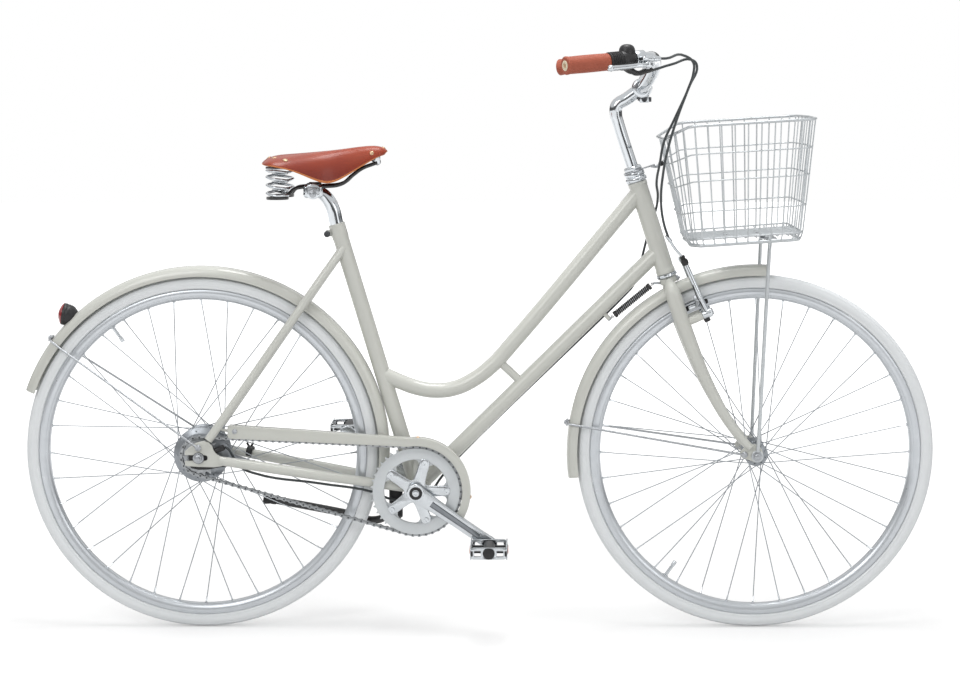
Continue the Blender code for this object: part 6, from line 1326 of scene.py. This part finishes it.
def shifter_exit():
    """The shifter's middle, the end of its snout and the way that the gear cable leaves it."""
    middle = on_bar(-1, SHIFTER_START + 0.014)
    end = middle + CABLE_OUT * 0.025 - bar_course(-1) * 0.02
    return middle, end, (end - middle - CABLE_OUT * 0.013).normalized()


def lever_barrel():
    """The perch's middle, and both ends of the barrel that the brake cable leaves."""
    course, centre = bar_course(-1), on_bar(-1, PERCH_START + 0.01)
    return (centre, centre + LEVER_OUT * 0.019 - course * 0.004,
            centre + LEVER_OUT * 0.0185 - course * 0.034 - Z * 0.002)


def make_shifter():
    """The ribbed twist sleeve, the domed black shifter and its cable exit."""
    course = bar_course(-1)
    sleeve = mm(11.6, 0, 16, 0, 16.8, 0.8)
    for k in range(6):
        rib = 0.0022 + 0.0036 * k
        sleeve += [(0.017, rib), (0.017, rib + 0.0018), (0.016, rib + 0.0022), (0.016, rib + 0.0032)]
    sleeve += mm(16.8, 24.2, 16.8, 25.5, 11.6, 25.5)
    fit(hoop(sleeve, on_bar(-1, SLEEVE_START), -course, BLACK_RUBBER), "twist_sleeve", "twist_grip_body",
        "black_rubber", "twist_grip", crease=30)
    shell = hoop(mm(11.6, 0, 17.2, 0, 17.9, 1.4, 18, 10, 17.2, 19, 15.2, 25.8, 14, 28, 11.6, 28),
                 on_bar(-1, SHIFTER_START), -course, BLACK_PLASTIC)
    middle, end, leave = shifter_exit()
    cover = turned(mm(0, -6, 15, -6, 14.8, 2, 14, 7.2, 12.2, 10.8, 9.4, 13.4, 5.2, 15, 0, 15.4),
                   middle + Z * 0.013, Z, BLACK_PLASTIC, 32)
    skirt = block(middle + Z * 0.01, (0.03, 0.024, 0.016), BLACK_PLASTIC, course, 0.007, 4)
    snout = pipe([(*(middle + CABLE_OUT * 0.01 + course * 0.002), 0.0085),
                  (*(middle + CABLE_OUT * 0.018 - course * 0.006), 0.0068),
                  (*(middle + CABLE_OUT * 0.0225 - course * 0.013), 0.0062), (*end, 0.0056)], 0.0085,
                 BLACK_PLASTIC, sides=5)
    first = end + leave * 0.01
    onward = (Vector((0.36, -0.15, 1.082)) - first).normalized()
    sleeve_path = [(*(end - leave * 0.004), 0.0056), (*(end + leave * 0.006), 0.0052),
                   (*(first + onward * 0.006 + leave * 0.001), 0.0046), (*(first + onward * 0.018), 0.005),
                   (*(first + onward * 0.032), 0.0046), (*(first + onward * 0.038), 0.0034)]
    barrel = pipe(sleeve_path, 0.0056, BLACK_PLASTIC, sides=5)
    shapes = [shell, cover, skirt, snout, barrel]
    fit(shapes, "gear_shifter", "steering_body", "black_plastic", "shifter_body")


def make_brake_lever():
    """The clamp with its arm and barrel, and the bent lever with a ball at its tip."""
    course, out = bar_course(-1), LEVER_OUT
    centre, inner, end = lever_barrel()
    pivot = centre + out * 0.032 - Z * 0.01
    middle = (centre + pivot) / 2
    band = hoop(mm(11.6, 0, 14.8, 0, 15.5, 1, 15.5, 19, 14.8, 20, 11.6, 20), on_bar(-1, PERCH_START), -course,
                ALLOY)
    shapes = [band, block(middle + out * 0.002 + Z * 0.005, (0.03, 0.019, 0.009), ALLOY, out, 0.004, 4),
              block(middle + out * 0.004 - Z * 0.007, (0.027, 0.015, 0.0022), ALLOY, out),
              block(middle - out * 0.005 - Z * 0.002, (0.011, 0.016, 0.011), ALLOY, out, 0.002),
              bar(pivot - Z * 0.008, pivot + Z * 0.0072, 0.0034, ZINC, 20)]
    run = end - inner
    shapes.append(turned([(0, 0), (0.006, 0), (0.006, 0.011), (0.0048, 0.012), (0.0048, 0.014),
                          (0.0056, 0.0146), (0.0056, 0.022), (0.0046, 0.0228), (0.0042, run.length - 0.0006),
                          (0, run.length)], inner, run, ALLOY, 20))
    fit(shapes, "brake_perch", "steering_body", "alloy", "brake_lever_perch")
    tip = pivot + course * 0.085 + out * 0.014
    path = [(*(pivot + course * 0.004), 0.0036), (*(pivot.lerp(tip, 0.12) + out * 0.003), 0.004),
            (*pivot.lerp(tip, 0.35), 0.004), (*pivot.lerp(tip, 0.7), 0.0042), (*tip, 0.0046)]
    ball = turned(mm(0, -6.2, 3.1, -5.4, 5.4, -3.1, 6.2, 0, 5.4, 3.1, 3.1, 5.4, 0, 6.2), tip, course, ALLOY,
                  20)
    fit([pipe(path, 0.0045, ALLOY, sides=4), bar(pivot - Z * 0.0041, pivot + Z * 0.0041, 0.008, ALLOY, 24),
         ball], "lever_blade", "brake_lever_body", "alloy", "brake_lever")


def make_brake_arm(side):
    """A linear-pull brake arm with its spring, black shoe in a silver holder, and its top link."""
    pivot, out = brake_pivot(side), Y * side
    hub = hoop(mm(4.3, -5.7, 8.4, -5.7, 8.8, -5, 8.8, 10, 7.8, 12.5, 4.3, 12.5), pivot, BRAKE_AXIS, ALLOY, 32)
    knee = pivot + BRAKE_UP * 0.045 + BRAKE_AXIS * 0.003 + out * 0.002
    top = pivot + BRAKE_UP * 0.104 + BRAKE_AXIS * 0.003 - out * 0.002
    arm = pipe([(*(pivot + BRAKE_AXIS * 0.003), 0.0066),
                (*(pivot.lerp(knee, 0.5) + BRAKE_AXIS * 0.0015), 0.006), (*knee, 0.0058), (*top, 0.0048)],
               0.0062, ALLOY, sides=4)
    radial = Vector((-0.1142, 0, 0.284)).normalized()
    shoe_at = FRONT + radial * 0.3075
    along = Vector((-radial.z, 0, radial.x))
    inner = 0.0137
    post_end = knee.lerp(shoe_at, 0.35)
    post_end.y = side * 0.044
    spring = [pivot + BRAKE_UP * up + out * aside + BRAKE_AXIS * ahead for up, aside,
              ahead in mm(0, 7, 2, 18, 7.5, 0, 46, 8, -2, 62, 6.2, 0, row=3)]
    shapes = [hub, arm,
              block(shoe_at + out * (inner + 0.0034), (0.046, 0.0068, 0.0094), BLACK_RUBBER, along, 0.0022),
              block(shoe_at + out * (inner + 0.0084), (0.034, 0.0034, 0.008), ALLOY, along, 0.0014),
              bar(shoe_at + out * (inner + 0.008), post_end, 0.0042, ZINC, 16),
              turned(mm(0, -2, 8.2, -2, 8.2, 1, 6, 2.6, 0, 2.6), post_end, post_end - shoe_at, ZINC, 24),
              socket_bolt(pivot + BRAKE_AXIS * 0.012, BRAKE_AXIS, 0.0064, 0.004, ZINC),
              turned(mm(0, -6, 5, -6, 6.6, -3, 7.2, 2, 5.8, 6, 0, 7.2), top + BRAKE_UP * 0.002, BRAKE_UP,
                     ALLOY if side > 0 else BLACK_PLASTIC, 20), pipe(spring, 0.0009, BLACK_STEEL, sides=1),
              block(pivot - BRAKE_UP * 0.0085 - BRAKE_AXIS * 0.001, (0.012, 0.01, 0.012), BLACK_PLASTIC,
                    BRAKE_UP, 0.002)]
    name = "right" if side < 0 else "left"
    fit(shapes, f"brake_caliper_{name}", f"brake_arm_{name}_body", "alloy", f"brake_arm_{name}")


# Basket: stations round it from the middle of the rear to the middle of the front, bottom and rim
BASKET = [
    ((0.392, 0.000, 0.752), (0.347, 0.000, 0.944)), ((0.392, 0.092, 0.752), (0.347, 0.095, 0.944)),
    ((0.412, 0.128, 0.753), (0.392, 0.16, 0.969)), ((0.592, 0.14, 0.765), (0.603, 0.172, 0.981)),
    ((0.604, 0.128, 0.766), (0.622, 0.156, 0.982)), ((0.606, 0.000, 0.766), (0.626, 0.000, 0.983))]
RING_PLACES = [0.0, 0.5, 0.93, 1.07, 1.5, 1.93, 2.07, 2.5, 2.95, 3.2, 3.8, 4.1, 4.5, 5.0]
FLOOR_SLOPE = 0.0654


def floor_height(x):
    """The height of the basket's floor wires, which rise to the front."""
    return 0.755 + FLOOR_SLOPE * (x - 0.3995)


def basket_point(place, level, side=-1, inward=0.0):
    """A point of the basket wall: place counts stations, level runs from the bottom to the rim."""
    index = min(int(place), len(BASKET) - 2)
    low_a, top_a, low_b, top_b = (Vector(p) for p in (*BASKET[index], *BASKET[index + 1]))
    point = low_a.lerp(low_b, place - index).lerp(top_a.lerp(top_b, place - index), level)
    point += (Vector((0.497, 0, point.z)) - point).normalized() * inward
    return Vector((point.x, side * point.y, point.z))


def basket_ring(level, radius, inward=0.0):
    """A closed wire round the basket at one level."""
    near = [basket_point(place, level, -1, inward) for place in RING_PLACES]
    far = [basket_point(place, level, 1, inward) for place in reversed(RING_PLACES[1:-1])]
    return pipe(near + far, radius, WIRE, bent=False, closed=True)


def upright(place, side):
    """One upright that turns under the floor at its foot."""
    path = [basket_point(place, 0.995, side, 0.0022), basket_point(place, 0.05, side, 0.0022),
            basket_point(place, 0.0, side, 0.0045), basket_point(place, -0.035, side, 0.01)]
    return pipe(path, 0.0013, WIRE, bent=False, sides=1)


def make_basket():
    """A welded wire basket: thick rim and base wires, close uprights, three rings and a wire floor."""
    side_places = [2.03 + 0.94 * k / 8 for k in range(9)]
    for side, name in SIDES:
        fit([upright(place, side) for place in side_places], f"basket_side_{name}", "steering_body", "wire",
            f"basket_{name}")
    back = [upright(place, side) for side in (-1, 1) for place in (1.72, 1.42, 1.08, 0.68, 0.23)]
    fit(back, "basket_rear_wall", "steering_body", "wire", "basket_back")
    front = [upright(place, side) for side in (-1, 1) for place in (3.45, 4.02, 4.3, 4.6, 4.88)]
    fit(front, "basket_front_wall", "steering_body", "wire", "basket_front")
    hoops = [basket_ring(1.0, 0.0027)] + [basket_ring(level, 0.0013) for level in (0.76, 0.53, 0.27)]
    fit(hoops, "basket_hoops", "steering_body", "wire")
    floor = [basket_ring(-0.025, 0.0034, 0.008), basket_ring(0.035, 0.0017, 0.0025)]
    for k in range(11):
        x = 0.403 + 0.0194 * k
        z = floor_height(x)
        half = 0.098 + 0.0235 * (x - 0.3995) / 0.2007
        floor.append(pipe([(x, -half - 0.012, z + 0.004), (x, -half, z), (x, half, z),
                           (x, half + 0.012, z + 0.004)], 0.0015, WIRE, bent=False, sides=2))
    for k in range(8):
        y = -0.091 + 0.026 * k
        floor.append(pipe([(0.395, y, 0.7585), (0.399, y, 0.7562), (0.601, y, 0.7694), (0.605, y, 0.7716)],
                          0.0015, WIRE, bent=False, sides=2))
    floor.append(block((0.5, 0, 0.7603), (0.09, 0.062, 0.0022), WIRE, (1, 0, FLOOR_SLOPE), 0.0008))
    for x, y in mm(470, -22, 470, 22, 530, -22, 530, 22):
        floor.append(dome(Vector((x, y, 0.7612 + FLOOR_SLOPE * (x - 0.5))), Z, 0.0056, 0.003, DARK_STEEL))
    fit(floor, "basket_base", "steering_body", "wire", "basket_floor")


def make_basket_carriers():
    """The rod under the basket with its flattened axle ends, and the hooked plate at the headset."""
    face = FORK_FACE
    under = floor_height(0.55) - 0.0017 - GAP - 0.0038
    half = [(FRONT.x, face + 0.0036, FRONT.z + 0.0092), (FRONT.x + 0.0015, face + 0.0075, FRONT.z + 0.03),
            (FRONT.x + 0.002, face + 0.01, FRONT.z + 0.05), (0.547, 0.079, under - 0.024),
            (0.5482, 0.0772, under - 0.008), (0.55, 0.07, under - 0.0004), (0.55, 0.06, under),
            (0.55, 0.0, under)]
    shapes = [pipe(both_sides(half), 0.0036, WIRE, bent=False, sides=4),
              block((0.55, 0, under - 0.003), (0.03, 0.09, 0.0022), ZINC, X, 0.0008)]
    for side in (-1, 1):
        shapes.append(hoop(mm(5, 0, 10.8, 0, 11.5, 0.5, 11.5, 2.2, 10.8, 2.7, 5, 2.7),
                           FRONT + Y * side * face, Y * side, WIRE, 32))
        shapes.append(hex_nut(Vector((0.55, side * 0.032, under - 0.004)), -Z, 0.005, 0.0038, DARK_STEEL,
                              0.003, 0.0026))
    fit(shapes, "basket_stay_rods", "steering_body", "steel", "basket_stays")
    low = HEAD_LENGTH + CUP_HEIGHT + GAP
    ring = hoop(mm(13, 0, 19, 0, 19.5, 0.5, 19.5, 2, 19, 2.5, 13, 2.5), steer(low), HEAD_UP, ZINC)
    arm = block(steer(low + BRACKET_SHEET / 2, 0.027), (0.03, 0.016, 0.0023), ZINC, HEAD_AHEAD, 0.0007)
    outer = basket_point(0.0, 0.75, 1) - X * 0.0034
    root = steer(low + BRACKET_SHEET / 2, 0.034)
    wire = pipe([root, root.lerp(outer, 0.5) - Z * 0.003, outer - X * 0.006, outer], 0.003, ZINC)
    hook = socket_bolt(outer - X * 0.006 - Y * 0.001, -Y, 0.0052, 0.005, BLACK_STEEL)
    fit([ring, arm, wire, hook], "basket_hook", "steering_body", "steel", "basket_bracket")


# Cables and the steering spring

def cable(points, finish):
    """A smooth cable through its points."""
    return pipe(points, 0.0024, finish, sides=3, grain=6)


def make_brake_cable():
    """The brake cable with its ferrule, metal guide and rubber boot."""
    _, inner, end = lever_barrel()
    leave = (end - inner).normalized()
    last = Vector((0.361, -0.05, 0.756))
    meet = brake_pivot(-1) + BRAKE_UP * 0.116 + BRAKE_AXIS * 0.003 + Y * 0.002
    housing = cable([end + leave * 0.0003, end + leave * 0.012, (0.383, -0.15, 1.0962),
                     (0.3975, -0.143, 1.085), (0.3985, -0.14, 1.066), (0.3885, -0.137, 1.035),
                     (0.372, -0.134, 0.99), (0.353, -0.129, 0.9255), (0.3455, -0.112, 0.8785),
                     (0.3435, -0.09, 0.831), (0.35, -0.068, 0.788), last], CABLE_COVER)
    noodle = cable([last, last.lerp(meet, 0.5) + Vector((-0.002, -0.002, 0.0)), meet], ALLOY)
    ferrule = turned(mm(0, -8, 3.4, -8, 3.6, 6, 3, 7, 0, 7), last, meet - last, ALLOY, 16)
    boot = turned(mm(0, -6, 4, -6, 5, -2, 4, 1, 5.2, 4, 4, 7, 0, 7), meet - BRAKE_UP * 0.003, BRAKE_UP,
                  BLACK_RUBBER, 16)
    fit([housing, noodle, ferrule, boot], "brake_cable_run", "steering_body", "black_rubber",
        "front_brake_cable")


def make_shift_cable():
    """The gear cable: down from the bar, along the down tube and the chain stay to the rear hub."""
    _, end, leave = shifter_exit()
    tube_course = (steer(DOWN_TOP) - CRANKS).normalized()
    below = Vector((tube_course.z, 0, -tube_course.x))
    beside = below * 0.0158 + Y * 0.0099
    clip = CRANKS.lerp(steer(DOWN_TOP), 0.86) + beside
    low = CRANKS.lerp(steer(DOWN_TOP), 0.14) + beside
    hold, free = (0.329, 0.032, 0.77), (0.365, -0.119, 0.98)
    path = [end + leave * 0.0003, end + leave * 0.01, (0.36, -0.15, 1.082), (0.394, -0.13, 1.09),
            (0.406, -0.122, 1.079), (0.3935, -0.121, 1.0437), free, (0.348, -0.112, 0.942),
            (0.3415, -0.084, 0.9), (0.3385, -0.034, 0.86), (0.343, 0.000, 0.833), (0.34, 0.026, 0.803), hold,
            (0.32, 0.029, 0.735), clip + Vector((0.01, 0.01, 0.014)), clip, low,
            CRANKS + tube_course * 0.045 + below * 0.02 + Y * 0.007, CRANKS + below * 0.025 - Y * 0.006,
            step(CRANKS, -0.012, -0.0262, -0.015), step(CRANKS, -0.05, -0.02, -0.0235),
            step(REAR, 0.3263, -0.0725, -0.029), step(REAR, 0.2293, -0.0545, -0.04),
            step(REAR, 0.1013, -0.0315, -0.0525), step(REAR, 0.077, -0.02, -0.05),
            step(REAR, 0.063, 0.0000, -0.05), step(REAR, 0.057, 0.013, -0.055),
            step(REAR, 0.0502, 0.0194, -0.0588)]
    fit_across(cable(path, CABLE_COVER), "gear_cable_run", "black_rubber", hold, free, "shift_cable")


def make_steering_spring():
    """A close black coil with wire hooks, from the down tube to the fork crown."""
    high = steer(-0.015, -0.0165) - X * 0.013
    course = (high - SPRING_HOOK).normalized()
    low = SPRING_HOOK + course * 0.006
    length = (high - low).length - 0.0015
    side = course.cross(Y).normalized()
    hook, turns, per_turn = 0.0085, 22, 12
    wound = length - 2 * hook
    points = []
    for k in range(turns * per_turn + 1):
        turn = 2 * pi * k / per_turn
        around = side * cos(turn) + Y * sin(turn)
        points.append(low + course * (hook + wound * k / (turns * per_turn)) + around * 0.0052)
    # The zinc rod inside the coil shows silver between its turns: painted glints.
    shapes = [pipe(points, 0.00145, BLACK_STEEL, bent=False, sides=1),
              bar(low + course * hook, low + course * (hook + wound), 0.004, ZINC, 16)]
    for place, way in ((low, course), (low + course * length, -course)):
        bend = []
        for k in range(-5, 6):
            turn = k * pi / 6
            bend.append(place + side * 0.0028 * cos(turn) + way * (0.0014 * (1 + sin(turn)) - 0.0006))
        shapes.append(pipe(bend + [place + way * (hook - 0.001)], 0.001, ZINC, bent=False, sides=1))
    for shift in (hook, length - hook):
        shapes.append(hoop(mm(2, -2.8, 6.2, -2.8, 6.7, -1.4, 6.7, 1.4, 6.2, 2.8, 2, 2.8),
                           low + course * shift, course, BLACK_STEEL, 24))
    fit_across(join(shapes), "steering_damper_coil", "dark_steel", low, low + course * length,
               "steering_spring")


set_camera()
set_light()
set_floor()
make_wheels()
make_frame()
make_headset()
make_mudguards()
make_mudguard_stay(REAR, STAY_ANGLE, step(REAR, 0.0, 0.02), DROPOUT_FACE, "rear_mudguard_wire", "frame_body",
                   "rear_mudguard_stay")
make_mudguard_stay(FRONT, radians(170.9), step(FRONT, -0.0245, 0.0035), FORK_FACE, "front_mudguard_wire",
                   "steering_body", "front_mudguard_stay")
make_rear_light()
make_chain()
make_chainring()
make_sprocket()
make_chain_guard()
make_rear_axle()
make_bottom_bracket()
make_kickstand()
make_seat_post()
make_saddle_frame()
make_saddle()
make_fork()
make_stem()
make_grips()
make_shifter()
make_brake_lever()
make_basket()
make_basket_carriers()
make_brake_cable()
make_shift_cable()
make_steering_spring()
for hand in (-1, 1):
    make_crank(hand)
    make_pedal(hand)
    make_brake_arm(hand)

bpy.context.scene.view_settings.view_transform = "Standard"
